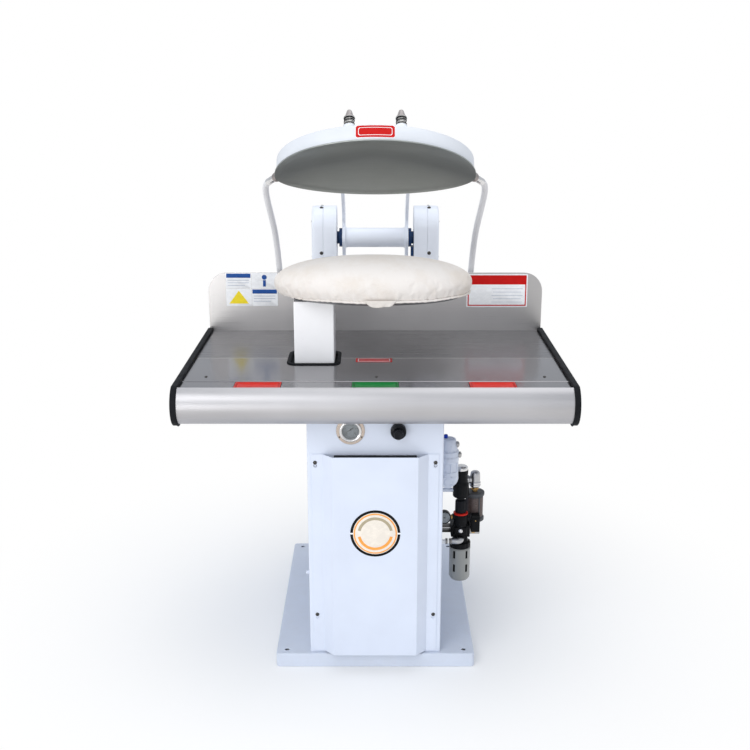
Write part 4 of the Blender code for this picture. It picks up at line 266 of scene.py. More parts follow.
def moulded(name, colour, roughness=0.45, grain=800, depth=0.05):
    """Moulded plastic or rubber: a fine spark texture, scuffs and slightly uneven gloss."""
    finish = Finish(name, Specular_IOR_Level=0.13)
    scuffs = finish.noise(1.0, 5, 0.7, finish.stretched((60, 180, 90)))
    lighter = tuple(min(1, channel * 1.15 + 0.004) for channel in colour)
    finish.colour(finish.ramp(scuffs, (0.45, colour), (0.78, lighter)))
    finish.roughness(finish.span(finish.noise(33, 4), roughness - 0.07, roughness + 0.09))
    finish.bump(finish.noise(grain, 2), depth * MM, 0.5)
    return finish.material


def pad_cotton():
    """Undyed woven cotton: threads both ways, soft rumples and faint warm stains."""
    finish = Finish("pad_cotton", Sheen_Weight=0.25, Sheen_Roughness=0.5, Specular_IOR_Level=0.25,
        Sheen_Tint=(1.0, 0.96, 0.92, 1))
    across, along = (finish.wave(turn, Scale=230.0, Distortion=1.1, Detail=2.0)
        for turn in ((0, 0, 0), (0, 0, math.pi / 2)))
    weave = finish.maths("ADD", across, along)
    rumples = finish.noise(42, 4, 0.55)
    stains = finish.noise(6.5, 5, 0.65)
    tone = finish.ramp(stains, (0.36, (0.800, 0.735, 0.670)), (0.56, (0.865, 0.823, 0.786)))
    shade = finish.ramp(finish.span(weave, 0, 1, 0.1, 1.6), (0.0, (0.888, 0.883, 0.879)),
        (1.0, (0.930, 0.930, 0.930)))
    finish.colour(finish.mix(1.0, tone, shade, "MULTIPLY"))
    finish.roughness(finish.span(rumples, 0.82, 0.93))
    finish.bump(weave, 0.10 * MM, 0.45)
    finish.bump(rumples, 0.9 * MM, 0.30)
    return finish.material


def hose_braid():
    """Grey sleeved hose: a shallow braid under a smooth skin."""
    finish = Finish("hose_braid", Specular_IOR_Level=0.5)
    cross = finish.maths("MULTIPLY", *(finish.wave((0, tilt, 0), Scale=150.0, Distortion=0.4)
        for tilt in (0.9, -0.9)))
    tone = finish.ramp(cross, (0.0, (0.68, 0.68, 0.70)), (0.8, (0.88, 0.88, 0.90)))
    finish.colour(finish.mix(finish.span(finish.noise(30, 4), 0, 0.3), tone, (0.76, 0.755, 0.77)))
    finish.roughness(finish.span(finish.noise(60, 3), 0.36, 0.50))
    finish.bump(cross, 0.25 * MM, 0.5)
    return finish.material


def cast_metal(name, colour, roughness=0.55):
    finish = Finish(name, Metallic=0.85)
    dark, light = shades(colour, 0.75, 1.1)
    finish.colour(finish.ramp(finish.noise(90, 6, 0.65), (0.32, dark), (0.7, light)))
    finish.roughness(finish.span(finish.noise(50, 4), roughness - 0.1, roughness + 0.12))
    finish.bump(finish.noise(420, 5, 0.7), 0.4 * MM, 0.6)
    return finish.material


def polished_dish():
    """Ground plate: fine circular haze, grey-green, with heat tints where steam has dried."""
    finish = Finish("polished_dish", Metallic=1.0)
    haze = finish.noise(1.0, 4, 0.6, finish.stretched((6, 260, 260)))
    spots = finish.noise(11, 5, 0.6)
    tone = finish.ramp(haze, (0.32, (0.375, 0.396, 0.380)), (0.68, (0.400, 0.420, 0.405)))
    finish.colour(finish.mix(finish.span(spots, 0, 0.35, 0.45, 0.75), tone, (0.42, 0.43, 0.425)))
    finish.roughness(finish.span(spots, 0.37, 0.43))
    finish.bump(haze, 0.03 * MM, 0.4)
    return finish.material


def wrapped_coil():
    """A solenoid coil in its foil and paper wrap."""
    finish = Finish("wrapped_coil", Metallic=0.35)
    flecks = finish.noise(1.0, 6, 0.72, finish.stretched((300, 300, 420)))
    finish.colour(finish.ramp(flecks, (0.36, (0.060, 0.040, 0.036)), (0.54, (0.115, 0.088, 0.083)),
        (0.74, (0.27, 0.24, 0.23))))
    finish.roughness(finish.span(flecks, 0.34, 0.6))
    finish.bump(flecks, 0.15 * MM, 0.5)
    return finish.material


def clear_glass():
    """Thin clear glass: light goes straight through, with a soft sheen on top."""
    finish = Finish("clear_glass", Alpha=0.06, IOR=1.45, Specular_IOR_Level=0.5)
    finish.colour(finish.ramp(finish.noise(30, 3), (0.3, (0.93, 0.96, 0.97)), (0.7, (0.97, 0.99, 1))))
    finish.roughness(finish.span(finish.noise(160, 3), 0.02, 0.06))
    return finish.material


LABEL_COLOURS = {
    "gold": ((0.42, 0.36, 0.25), 0.40),
    "white": ((0.84, 0.85, 0.87), 0.32),
    "red": ((0.52, 0.006, 0.005), 0.42),
    "blue": ((0.02, 0.08, 0.30), 0.30),
    "yellow": ((0.83, 0.66, 0.03), 0.32),
    "grey": ((0.52, 0.55, 0.62), 0.34),
    "orange": ((0.86, 0.36, 0.08), 0.32),
    "cream": ((0.80, 0.74, 0.66), 0.34),
}
M = {
    "white": painted("paint_pale_blue", (0.675, 0.730, 0.850)),
    # Painted light: the towers, their covers and the yoke get a lighter copy of the column's pale blue paint,
    # so that they look lit.
    "white_lit_copy": painted("paint_pale_blue_lit_copy", (0.845, 0.885, 0.965)),
    # Painted shade: the base pan gets a darker copy of the column's paint, with a little speckled dust on
    # top.
    "white_shaded_dusty": painted("paint_pale_blue_shaded_dusty", (0.62, 0.675, 0.785), 0.40, 0.10),
    "rim_white": painted("paint_rim", (0.70, 0.728, 0.775), 0.36),
    # Partly painted light: the post's own white wrap, made lighter still to make up for the pad's shadow on
    # it; with a little dust.
    "post_white_painted_light": painted("paint_post_painted_light", (0.95, 0.95, 0.965), 0.34, 0.04),
    # Painted light and shade: these four stainless sheets are one steel, given lighter and darker copies to
    # match how light falls on each; the table's panels are the shaded copies, the splash and the nose the lit
    # ones.
    "table": brushed("stainless_table_shaded_copy", (0.235, 0.230, 0.240), roughness=0.26),
    "table_front": brushed("stainless_front_shaded_copy", (0.300, 0.294, 0.305), roughness=0.18),
    "splash": brushed("stainless_splash_lit_copy", (0.525, 0.512, 0.507), roughness=0.34),
    "nose": brushed("stainless_nose_lit_copy", (0.52, 0.512, 0.525), roughness=0.44, contrast=0.035),
    "dish": polished_dish(),
    "chrome": turned_metal("chrome_plate", (0.74, 0.73, 0.73), 0.13),
    "steel": turned_metal("turned_steel", (0.50, 0.49, 0.48), 0.30),
    "dark_steel": turned_metal("blackened_steel", (0.10, 0.095, 0.09), 0.38),
    "brass": turned_metal("brass", (0.58, 0.36, 0.13), 0.28),
    "bronze": turned_metal("bronze_flange", (0.55, 0.47, 0.41), 0.27),
    "cone": turned_metal("cone_nut", (0.40, 0.365, 0.355), 0.42, 0.55, 0.08),
    "fitting": turned_metal("fitting", (0.52, 0.52, 0.53), 0.30, 1.0, 0.16),
    # Painted shade: dark red and dark green for the thin ring round each push plate, where the gap lies in
    # shadow.
    "red_deep": moulded("red_groove_painted_shade", (0.22, 0.006, 0.005), 0.45),
    "green_deep": moulded("green_groove_painted_shade", (0.002, 0.055, 0.012), 0.45),
    "union": turned_metal("union_metal", (0.34, 0.305, 0.295), 0.32, 0.9, 0.08),
    "pale_metal": turned_metal("pale_metal", (0.74, 0.725, 0.69), 0.36, 0.6, 0.10),
    "coil_dark": moulded("coil_enamel", (0.085, 0.088, 0.095), 0.42),
    "rubber": moulded("black_rubber", (0.006, 0.007, 0.009), 0.60, 500, 0.10),
    "black": moulded("black_plastic", (0.004, 0.0045, 0.0055), 0.42),
    "grip": moulded("black_grip", (0.007, 0.008, 0.011), 0.36),
    "red": moulded("red_plastic", (0.62, 0.020, 0.012), 0.36),
    "green": moulded("green_plastic", (0.006, 0.185, 0.036), 0.36),
    "blue": moulded("blue_plastic", (0.01, 0.045, 0.42), 0.35),
    # Partly painted shade: the bushes are real parts, but their dark blue is the shade between the yoke arms
    # and the towers.
    "bush": moulded("nylon_bush_painted_shade", (0.025, 0.06, 0.15), 0.40),
    "cotton": pad_cotton(),
    "hose": hose_braid(),
    "casting": cast_metal("sand_casting", (0.36, 0.36, 0.37)),
    "guard": painted("guard_grey", (0.335, 0.34, 0.325), 0.36),
    "coil": wrapped_coil(),
    "glass": clear_glass(),
    "dial": moulded("dial_grey", (0.20, 0.225, 0.24), 0.45, 300, 0.02),
}
for tint, (tint_colour, tint_roughness) in LABEL_COLOURS.items():
    M[f"label_{tint}"] = moulded(f"label_{tint}", tint_colour, tint_roughness, 300, 0.02)


# Mesh helpers


def new_object(name, mesh, material, smooth_deg):
    """Puts a mesh in the scene, smooth but for its edges above an angle."""
    made = bpy.data.objects.new(name, mesh)
    bpy.context.scene.collection.objects.link(made)
    mesh.materials.append(M[material])
    mesh.shade_smooth()
    mesh.set_sharp_from_angle(angle=math.radians(smooth_deg))
    return made


def add_piece(name, shape, material, smooth_deg=40, body="frame", slot=None, replaces=None):
    """Makes a piece of a bmesh or a mesh; the slot argument is not used."""
    mesh = mesh_from(shape, name) if isinstance(shape, bmesh.types.BMesh) else shape
    piece = new_object(name, mesh, material, smooth_deg)
    if replaces:
        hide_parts(replaces)
    if body:
        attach(piece, body)
    return piece


def mesh_from(bm, name):
    bmesh.ops.recalc_face_normals(bm, faces=bm.faces)
    mesh = bpy.data.meshes.new(name)
    bm.to_mesh(mesh)
    bm.free()
    return mesh


def add_rings(bm, rings, matrix=Matrix(), closed=False):
    """Lofts rings of equally many points; the first and last are capped unless they close up."""
    rows = [[bm.verts.new(matrix @ Vector(point)) for point in ring] for ring in rings]
    count = len(rows[0])
    pairs = list(zip(rows, rows[1:]))
    if closed:
        pairs.append((rows[-1], rows[0]))
    for low, high in pairs:
        for i in range(count):
            bm.faces.new((low[i], low[(i + 1) % count], high[(i + 1) % count], high[i]))
    if not closed:
        bm.faces.new(rows[0])
        bm.faces.new(rows[-1])


def circle(radius, height, steps):
    return [Vector((radius * math.cos(2 * math.pi * i / steps), radius * math.sin(2 * math.pi * i / steps),
        height)) for i in range(steps)]


def add_turned(bm, profile, matrix, steps=48):
    """A solid of revolution about Z from (radius, height) pairs, bottom to top."""
    add_rings(bm, [circle(max(radius, 0.02 * MM), height, steps) for radius, height in profile], matrix)


def turned_piece(name, material, profile, matrix, steps, smooth_deg=40, **options):
    """A piece that is one solid of revolution."""
    bm = bmesh.new()
    add_turned(bm, profile, matrix, steps)
    return add_piece(name, bm, material, smooth_deg, **options)


def rounded(profile, radius, steps=4):
    """Rounds the inner corners of a (radius, height) profile."""
    points = [Vector(point) for point in profile]
    done = [points[0]]
    for before, here, after in zip(points, points[1:], points[2:]):
        reach = min(radius, (before - here).length * 0.45, (after - here).length * 0.45)
        first = here + (before - here).normalized() * reach
        last = here + (after - here).normalized() * reach
        for i in range(steps + 1):
            t = i / steps
            done.append(first * (1 - t) ** 2 + here * 2 * t * (1 - t) + last * t * t)
    done.append(points[-1])
    return [tuple(point) for point in done]


def add_block(bm, size, matrix, radius=1.0 * MM, segments=3):
    """A box with rounded edges."""
    made = bmesh.ops.create_cube(bm, size=1.0)
    verts = made["verts"]
    bmesh.ops.scale(bm, vec=size, verts=verts)
    edges = list({edge for vert in verts for edge in vert.link_edges})
    result = bmesh.ops.bevel(bm, geom=edges, offset=radius, segments=segments, profile=0.5, affect="EDGES",
        clamp_overlap=True)
    moved = {vert for face in result["faces"] for vert in face.verts} | {v for v in verts if v.is_valid}
    bmesh.ops.transform(bm, matrix=matrix, verts=list(moved))


def add_hex(bm, radius, height, matrix):
    """A hexagon nut or bolt head, its corners turned off."""
    cut = 0.12 * radius
    add_rings(bm, [circle(radius - cut, 0, 6), circle(radius, cut, 6), circle(radius, height - cut, 6),
        circle(radius - cut, height, 6)], matrix)


def turned_frames(points):
    """A direction and a steady pair of cross axes at each point of a line."""
    tangents = []
    for i in range(len(points)):
        before = points[max(i - 1, 0)]
        after = points[min(i + 1, len(points) - 1)]
        tangents.append((after - before).normalized())
    side = tangents[0].orthogonal().normalized()
    frames = []
    for tangent in tangents:
        side = (side - tangent * side.dot(tangent)).normalized()
        frames.append((tangent, side, tangent.cross(side)))
    return frames


def add_tube(bm, points, radius, sides=20, matrix=Matrix()):
    """A tube along points; the radius is one number or one for each point."""
    radii = radius if isinstance(radius, (list, tuple)) else [radius] * len(points)
    rings = []
    for point, size, (_, side, up) in zip(points, radii, turned_frames(points)):
        rings.append([point + (side * math.cos(a) + up * math.sin(a)) * size
            for a in (2 * math.pi * k / sides for k in range(sides))])
    add_rings(bm, rings, matrix)


def smooth_route(stops, count):
    """Evenly spaced points on a smooth curve through the inner stops; the outer two only aim it."""
    dense = []
    spans = 24
    for a, b, c, d in zip(stops, stops[1:], stops[2:], stops[3:]):
        for i in range(spans):
            t = i / spans
            dense.append(0.5 * ((2 * b) + (c - a) * t + (2 * a - 5 * b + 4 * c - d) * t ** 2
                + (3 * b - a - 3 * c + d) * t ** 3))
    dense.append(stops[-2])
    lengths = [0.0]
    for a, b in zip(dense, dense[1:]):
        lengths.append(lengths[-1] + (b - a).length)
    points = []
    spot = 0
    for i in range(count):
        target = lengths[-1] * i / (count - 1)
        while spot < len(lengths) - 2 and lengths[spot + 1] < target:
            spot += 1
        share = (target - lengths[spot]) / (lengths[spot + 1] - lengths[spot])
        points.append(dense[spot].lerp(dense[spot + 1], share))
    return points


def place(x=0.0, y=0.0, z=0.0, turn=Matrix()):
    return Matrix.Translation((x, y, z)) @ turn


def spin(degrees, axis="Z"):
    return Matrix.Rotation(math.radians(degrees), 4, axis)


def lifted(ring, z):
    return [point + Vector((0, 0, z)) for point in ring]


def bar(radius, low, high):
    """The profile of a plain round bar."""
    return [(0, low), (radius, low), (radius, high), (0, high)]


def mm(*points):
    """Points given in millimetres."""
    return [tuple(value * MM for value in point) for point in points]


FACE_FRONT = spin(90, "X")
FACE_REAR = spin(-90, "X")
FACE_RIGHT = spin(90, "Y")
FACE_LEFT = spin(-90, "Y")


def rounded_plate(bm, width, height, thickness, radius, matrix, lift=0.0):
    """A flat plate with round corners, standing on its XY plane."""
    outline = []
    steps = 6
    for cx, cy, start in ((1, 1, 0), (-1, 1, 90), (-1, -1, 180), (1, -1, 270)):
        for i in range(steps + 1):
            angle = math.radians(start + 90 * i / steps)
            outline.append(Vector((cx * (width / 2 - radius) + radius * math.cos(angle),
                cy * (height / 2 - radius) + radius * math.sin(angle), 0)))
    edge = min(0.3 * thickness, 0.3 * MM)
    rings = []
    for inset, level in ((0, 0), (0, thickness - edge), (edge, thickness)):
        rings.append([Vector((p.x * (1 - 2 * inset / width), p.y * (1 - 2 * inset / height), lift + level))
            for p in outline])
    add_rings(bm, rings, matrix)


# Steam hoses, each from a rigid pipe behind the table up to a union on the head

HOSE_RADIUS = 0.010
PIPE_X = 0.328
PIPE_Y = COLUMN_HIGH.y + GAP + 0.0135
PIPE_TOP_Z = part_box("steam_pipe_right")[1].z
RIM_INSET = 0.005
UNION_SETBACK = 0.030
UNION_RISE = 0.030
UNION_LENGTH = 0.036
UNION_RADIUS = 0.0155
HOSE_BENDS = ((0.0, 0.05, 0.22), (0.7, 0.30, 0.56), (2.3, 0.72, 0.90))


def union_place(side):
    """Where a union leaves the rim, and its outward direction, in the closed layout."""
    half = PLATE_HALF_WIDTH - RIM_INSET
    reach = PLATE_REAR_REACH - RIM_INSET
    x = half * math.sqrt(1 - (UNION_SETBACK / reach) ** 2)
    outward = Vector((x / half ** 2, UNION_SETBACK / reach ** 2, 0)).normalized()
    return (Vector((side * x, HEAD_WIDEST_Y + UNION_SETBACK, HEAD_RIM_Z + UNION_RISE)),
        Vector((side * outward.x, outward.y, 0)))


def hose_route(side):
    start, outward = union_place(side)
    end = start + outward * (UNION_LENGTH + GAP)
    leave = HEAD @ (end + outward * 1.4 * HOSE_RADIUS)
    end = HEAD @ end
    foot_z = PIPE_TOP_Z + GAP
    stops = [Vector((side * PIPE_X, PIPE_Y, foot_z)), Vector((side * PIPE_X, PIPE_Y, foot_z + HOSE_RADIUS))]
    for bow, back, up in HOSE_BENDS:
        stops.append(Vector((side * (PIPE_X + bow * HOSE_RADIUS), PIPE_Y - back * (PIPE_Y - end.y),
            foot_z + up * (end.z - foot_z))))
    stops += [leave, end]
    return [stops[0], *smooth_route(stops, 60), stops[-1]]


def make_hoses():
    for side, name in SIDES:
        route = hose_route(side)
        bm = bmesh.new()
        add_tube(bm, route, HOSE_RADIUS, 24)
        hose = add_piece(f"hose_{name}", bm, "hose", 38, body=None, replaces=f"steam_hose_{name}")
        for end, body, points in (("foot", "frame", route[:6]), ("head", "head", route[-5:])):
            bm = bmesh.new()
            line = smooth_route([points[0], *points, points[-1]], 18)
            radii = [HOSE_RADIUS + (0.9 + 0.5 * (k % 4 in (1, 2))) * MM for k in range(len(line))]
            add_tube(bm, line, radii, 24)
            add_piece(f"hose_ferrule_{end}_{name}", bm, "chrome", 38, body=body)
        length = sum((b - a).length for a, b in zip(route, route[1:]))
        print(f"hose {name}: {length:.4f} m")
        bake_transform(hose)


# Pad: a cotton cover drawn over the buck with a gathered hem

PAD_STEPS = 168
PAD_CREASE_Z = PAD_LOW.z + 0.034
PAD_TOP_Z = PAD_HIGH.z
PAD_INSET = PLATE_HALF_WIDTH - PAD_HIGH.x
CASTING_LOW, CASTING_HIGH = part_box("buck_casting")
CASTING_INSET = PLATE_HALF_WIDTH - CASTING_HIGH.x
SWELL = 4 * MM
PAD_STRETCH = 1.018
PAD_SHIFT = 6.5 * MM


def pad_rings(smaller):
    """The cover's outside from its hem to the crown, then its inside back down to the hem."""
    crown = PAD_TOP_Z - PAD_CREASE_Z - smaller
    rings = plan_rings(((PAD_INSET + 0.016 + smaller, PAD_LOW.z + smaller),
        (PAD_INSET + 0.010 + smaller, PAD_LOW.z + 3 * MM + smaller),
        (PAD_INSET + 0.004 + smaller, PAD_LOW.z + 0.015), (PAD_INSET + 0.001 + smaller, PAD_LOW.z + 0.026)),
        WIDEST_Y, PAD_STEPS)
    steps = 13
    for i in range(steps):
        angle = math.pi / 2 * i / steps
        rings.append(scaled_ring(math.cos(angle), PAD_INSET + smaller, PAD_CREASE_Z + crown * math.sin(angle),
            WIDEST_Y, PAD_STEPS))
    inner = CASTING_INSET - 1.2 * MM
    rings.append(scaled_ring(0.02, PAD_INSET, PAD_CREASE_Z + crown, WIDEST_Y, PAD_STEPS))
    rings.append(scaled_ring(0.02, inner, CASTING_HIGH.z + MM, WIDEST_Y, PAD_STEPS))
    return rings + plan_rings(((inner, CASTING_HIGH.z + MM), (inner, PAD_LOW.z + smaller)),
        WIDEST_Y, PAD_STEPS)


def swell_by_cloth(pad):
    """Fills the pad with a little pressure; the wall against the casting stays pinned."""
    scene = bpy.context.scene
    remesh = pad.modifiers.new("remesh", "REMESH")
    remesh.mode = "VOXEL"
    remesh.voxel_size = 4.6 * MM
    bpy.context.view_layer.objects.active = pad
    bpy.ops.object.modifier_apply(modifier="remesh")
    start = np.array([v.co for v in pad.data.vertices])
    held = pad.vertex_groups.new(name="held")
    for vert in pad.data.vertices:
        across = (vert.co.x / (CASTING_HIGH.x + 6 * MM)) ** 2
        reach = (PLATE_REAR_REACH if vert.co.y > WIDEST_Y else PLATE_FRONT_REACH) - CASTING_INSET + 6 * MM
        inside = across + ((vert.co.y - WIDEST_Y) / reach) ** 2 < 1 and vert.co.z < CASTING_HIGH.z + 4 * MM
        held.add([vert.index], 1.0 if inside or vert.co.z < PAD_LOW.z + 8 * MM else 0.0, "REPLACE")
    cloth = pad.modifiers.new("cloth", "CLOTH")
    settings = cloth.settings
    settings.quality = 5
    settings.mass = 0.3
    settings.tension_stiffness = 18
    settings.compression_stiffness = 12
    settings.shear_stiffness = 6
    settings.bending_stiffness = 0.6
    settings.use_pressure = True
    settings.uniform_pressure_force = 4
    settings.vertex_group_mass = "held"
    settings.effector_weights.gravity = 0
    cloth.collision_settings.use_self_collision = False
    for number in range(1, 21):
        scene.frame_set(number)
    evaluated = pad.evaluated_get(bpy.context.evaluated_depsgraph_get())
    moved = np.array([v.co for v in evaluated.data.vertices])
    pad.modifiers.remove(cloth)
    scene.frame_set(1)
    shift = moved - start
    length = np.linalg.norm(shift, axis=1, keepdims=True)
    cap = 6.0 * MM
    shift *= np.minimum(1.0, cap / np.maximum(length, 1e-9))
    pad.data.vertices.foreach_set("co", (start + shift).ravel())
    pad.data.update()


def gather(angle):
    """Depth of the hem's folds round the buck, from -1 to 1: uneven, deepest at its left end."""
    value = 0.0
    for count, phase, share in ((47, 0.3, 0.42), (61, 1.9, 0.34), (83, 4.1, 0.24), (113, 2.2, 0.16)):
        value += share * math.sin(count * angle + phase + 1.3 * math.sin(3 * angle + phase))
    left = 0.5 - 0.5 * math.cos(angle)
    return value * (0.55 + 0.75 * left ** 3)


def drape_hem(pad):
    """Draws the side in below the crease and folds it into gathers towards the hem."""
    for vert in pad.data.vertices:
        point = vert.co
        if point.z > PAD_CREASE_Z + 14 * MM:
            continue
        reach = PLATE_REAR_REACH if point.y > WIDEST_Y else PLATE_FRONT_REACH
        angle = math.atan2((point.y - WIDEST_Y) / reach, point.x / PLATE_HALF_WIDTH)
        outside = math.hypot(point.x / (CASTING_HIGH.x + 5 * MM),
            (point.y - WIDEST_Y) / (reach - CASTING_INSET + 5 * MM))
        if outside < 1:
            continue
        drop = (PAD_CREASE_Z + 14 * MM - point.z) / (PAD_CREASE_Z + 14 * MM - PAD_LOW.z)
        depth = drop * drop * (3 - 2 * drop)
        away = Vector((point.x, (point.y - WIDEST_Y) * 1.6, 0)).normalized()
        vert.co = point + away * (4.4 * MM * depth * gather(angle) - 1.6 * MM * depth)
        vert.co.z += 1.3 * MM * depth * (math.sin(9 * angle + 1) + 0.8 * gather(angle + 0.4))
    pad.data.update()


def make_pad():
    bm = bmesh.new()
    add_rings(bm, pad_rings(SWELL), closed=True)
    pad = new_object("pad_cover", mesh_from(bm, "pad_cover"), "cotton", 180)
    swell_by_cloth(pad)
    drape_hem(pad)
    for vert in pad.data.vertices:
        vert.co.x = vert.co.x * PAD_STRETCH - PAD_SHIFT
    smooth = pad.modifiers.new("smooth", "SUBSURF")
    smooth.levels = 1
    smooth.render_levels = 1
    pad.data.shade_smooth()
    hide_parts("buck_pad")
    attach(pad, "frame")
    make_hem_cord()
    make_pad_tab()


def make_hem_cord():
    """The drawcord's tunnel: a soft roll round the hem."""
    bm = bmesh.new()
    points = []
    steps = 360
    for i in range(steps):
        angle = 2 * math.pi * i / steps
        reach = PLATE_REAR_REACH if math.sin(angle) > 0 else PLATE_FRONT_REACH
        inset = PAD_INSET + 0.0150 - 3.2 * MM * gather(angle)
        points.append(Vector(((PLATE_HALF_WIDTH - inset) * math.cos(angle),
            WIDEST_Y + (reach - inset) * math.sin(angle),
            PAD_LOW.z + 4.4 * MM + 0.8 * MM * math.sin(9 * angle + 1))))
    rings = []
    for i, point in enumerate(points):
        tangent = (points[(i + 1) % steps] - points[i - 1]).normalized()
        side = tangent.cross(Vector((0, 0, 1))).normalized()
        radius = (3.4 + 0.5 * math.sin(i * 1.7)) * MM
        rings.append([point + (side * math.cos(a) + Vector((0, 0, 1)) * math.sin(a)) * radius
            for a in (2 * math.pi * k / 10 for k in range(10))])
    add_rings(bm, rings, closed=True)
    add_piece("pad_hem", bm, "cotton", 180)


def make_pad_tab():
    """A small blank cloth tab sewn on the hem at the front."""
    bm = bmesh.new()
    wide = 0.092
    tall = 0.020
    middle = 0.014
    columns = 44
    rows = 9
    front = WIDEST_Y - PLATE_FRONT_REACH + PAD_INSET + 0.0070
    grid = []
    for j in range(rows + 1):
        row = []
        for i in range(columns + 1):
            u = 2 * i / columns - 1
            v = j / rows
            x = middle + u * wide / 2 * (1 - 0.10 * v * v)
            bow = 0.0013 * math.sin(9.3 * u + 1.5 * v) * v
            z = PAD_LOW.z + 0.0125 - v * tall * (1 - 0.60 * abs(u) ** 4) + 1.2 * MM * math.sin(5.1 * u) * v
            row.append(bm.verts.new((x, front - 2.4 * MM - bow - 3.4 * MM * (1 - v) + 2.6 * MM * u * u, z)))
        grid.append(row)
    for low, high in zip(grid, grid[1:]):
        for i in range(columns):
            bm.faces.new((low[i], low[i + 1], high[i + 1], high[i]))
    tab = add_piece("pad_tab", bm, "cotton", 180)
    thick = tab.modifiers.new("thickness", "SOLIDIFY")
    thick.thickness = 1.1 * MM
    thick.offset = 0


def make_casting():
    """The buck's cast body, stepped in towards its foot."""
    bm = bmesh.new()
    inset = CASTING_INSET
    low = CASTING_LOW.z
    third = (CASTING_HIGH.z - low) / 3
    add_rings(bm, plan_rings(((inset + 0.014 + 6 * MM, low), (inset + 0.014, low + 2 * MM),
        (inset + 2 * MM, low + third - 2 * MM), (inset, low + third + 2 * MM), (inset, CASTING_HIGH.z)),
        WIDEST_Y, 160))
    add_piece("buck_casting_fine", bm, "casting", replaces="buck_casting")


# Head: white rim, polished dish, spring bolts and unions

RIM_HEIGHT = 0.060
DISH_DEPTH = 0.040
RIM_STEPS = 192


def dish_ring(share, lift):
    return scaled_ring(share, 0, HEAD_RIM_Z + DISH_DEPTH * (1 - share * share) + lift,
        HEAD_WIDEST_Y, RIM_STEPS)


def head_rings(*pairs):
    """Rings of the head's plan, each at a height above the dish's rim."""
    return plan_rings(((inset, HEAD_RIM_Z + rise) for inset, rise in pairs), HEAD_WIDEST_Y, RIM_STEPS)


def make_head_plate():
    bm = bmesh.new()
    rings = [dish_ring(0.012 + 0.988 * (i / 22) ** 0.85, 0) for i in range(22)]
    rings += head_rings((0.7 * MM, 0), (0.15 * MM, 0.5 * MM), (0, 1.2 * MM), (0, 3.6 * MM),
        (0.6 * MM, 4 * MM), (0.0155, 4 * MM))
    rings += [dish_ring(share, 0.010) for share in (0.75, 0.45, 0.05)]
    add_rings(bm, rings, HEAD)
    add_piece("head_plate_fine", bm, "dish", 50, "head", replaces="head_plate")


def make_head_shell():
    bm = bmesh.new()
    low = 4 * MM + GAP
    rounding = 7 * MM
    inner = RIM_INSET + 3 * MM
    rings = head_rings((inner + rounding, RIM_HEIGHT - 3 * MM), (inner, RIM_HEIGHT - 3 * MM - rounding),
        (inner, low), (RIM_INSET + 0.6 * MM, low), (RIM_INSET, low + 0.8 * MM))
    for i in range(9):
        angle = math.pi / 2 * i / 8
        rings += head_rings((RIM_INSET + rounding * (1 - math.cos(angle)),
            RIM_HEIGHT - rounding + rounding * math.sin(angle)))
    for share in (0.75, 0.4, 0.05):
        rings.append(scaled_ring(share, RIM_INSET + rounding, HEAD_RIM_Z + RIM_HEIGHT, HEAD_WIDEST_Y,
            RIM_STEPS))
    add_rings(bm, rings, HEAD)
    add_piece("head_shell_fine", bm, "rim_white", 50, "head", replaces="head_shell")


def rim_patch(name, half_width, low, high, stand, material):
    """A thin blank plate laid on the front of the rim, which it follows."""
    half = PLATE_HALF_WIDTH - RIM_INSET
    reach = PLATE_FRONT_REACH - RIM_INSET
    columns = 24
    corner = min(4 * MM, half_width / 4)
    bm = bmesh.new()
    outer = []
    inner = []
    for i in range(columns + 1):
        x = half_width * (2 * i / columns - 1)
        near_end = max(0.0, corner - (half_width - abs(x)))
        cut = corner - math.sqrt(max(0.0, corner ** 2 - near_end ** 2))
        for row, lift in ((outer, stand), (inner, 0.0)):
            y = HEAD_WIDEST_Y - (reach + lift) * math.sqrt(1 - (x / (half + lift)) ** 2)
            row.append([HEAD @ Vector((x, y, HEAD_RIM_Z + z)) for z in (low + cut, high - cut)])
    rings = []
    for front, back in zip(outer, inner):
        rings.append([front[0], front[1], back[1], back[0]])
    add_rings(bm, rings)
    return add_piece(name, bm, material, 30, body="head")


def make_rim_label():
    rim_patch("rim_label_border", 0.0585, 0.0125, 0.0555, 0.35 * MM, "label_white")
    rim_patch("rim_label", 0.0570, 0.0140, 0.0540, 0.65 * MM, "label_red")
    rim_patch("rim_label_line", 0.0500, 0.0205, 0.0475, 0.80 * MM, "label_white")
    rim_patch("rim_label_field", 0.0482, 0.0223, 0.0457, 0.95 * MM, "label_red")


BOLT_SPREAD = 0.080
BOLT_Y = HEAD_WIDEST_Y - 0.055
PLATE_TOP_Z = HEAD_RIM_Z + 0.118
BOSS_RISE = 0.027
SPRING_HEIGHT = 0.0299
SPRING_COIL_RADIUS = 0.0155
SPRING_WIRE_RADIUS = 1.5 * MM
SPRING_CURLS = 3


def spring_line():
    """A compression spring whose end turns lie flat."""
    points = []
    steps = 40 * SPRING_CURLS
    wire = 2 * SPRING_WIRE_RADIUS
    for i in range(steps + 1):
        t = i / steps
        turns = SPRING_CURLS * t
        rise = wire * 0.5 + (SPRING_HEIGHT - wire) * (t - 0.055 * math.sin(2 * math.pi * t))
        points.append(Vector((SPRING_COIL_RADIUS * math.cos(2 * math.pi * turns),
            SPRING_COIL_RADIUS * math.sin(2 * math.pi * turns), rise)))
    return points


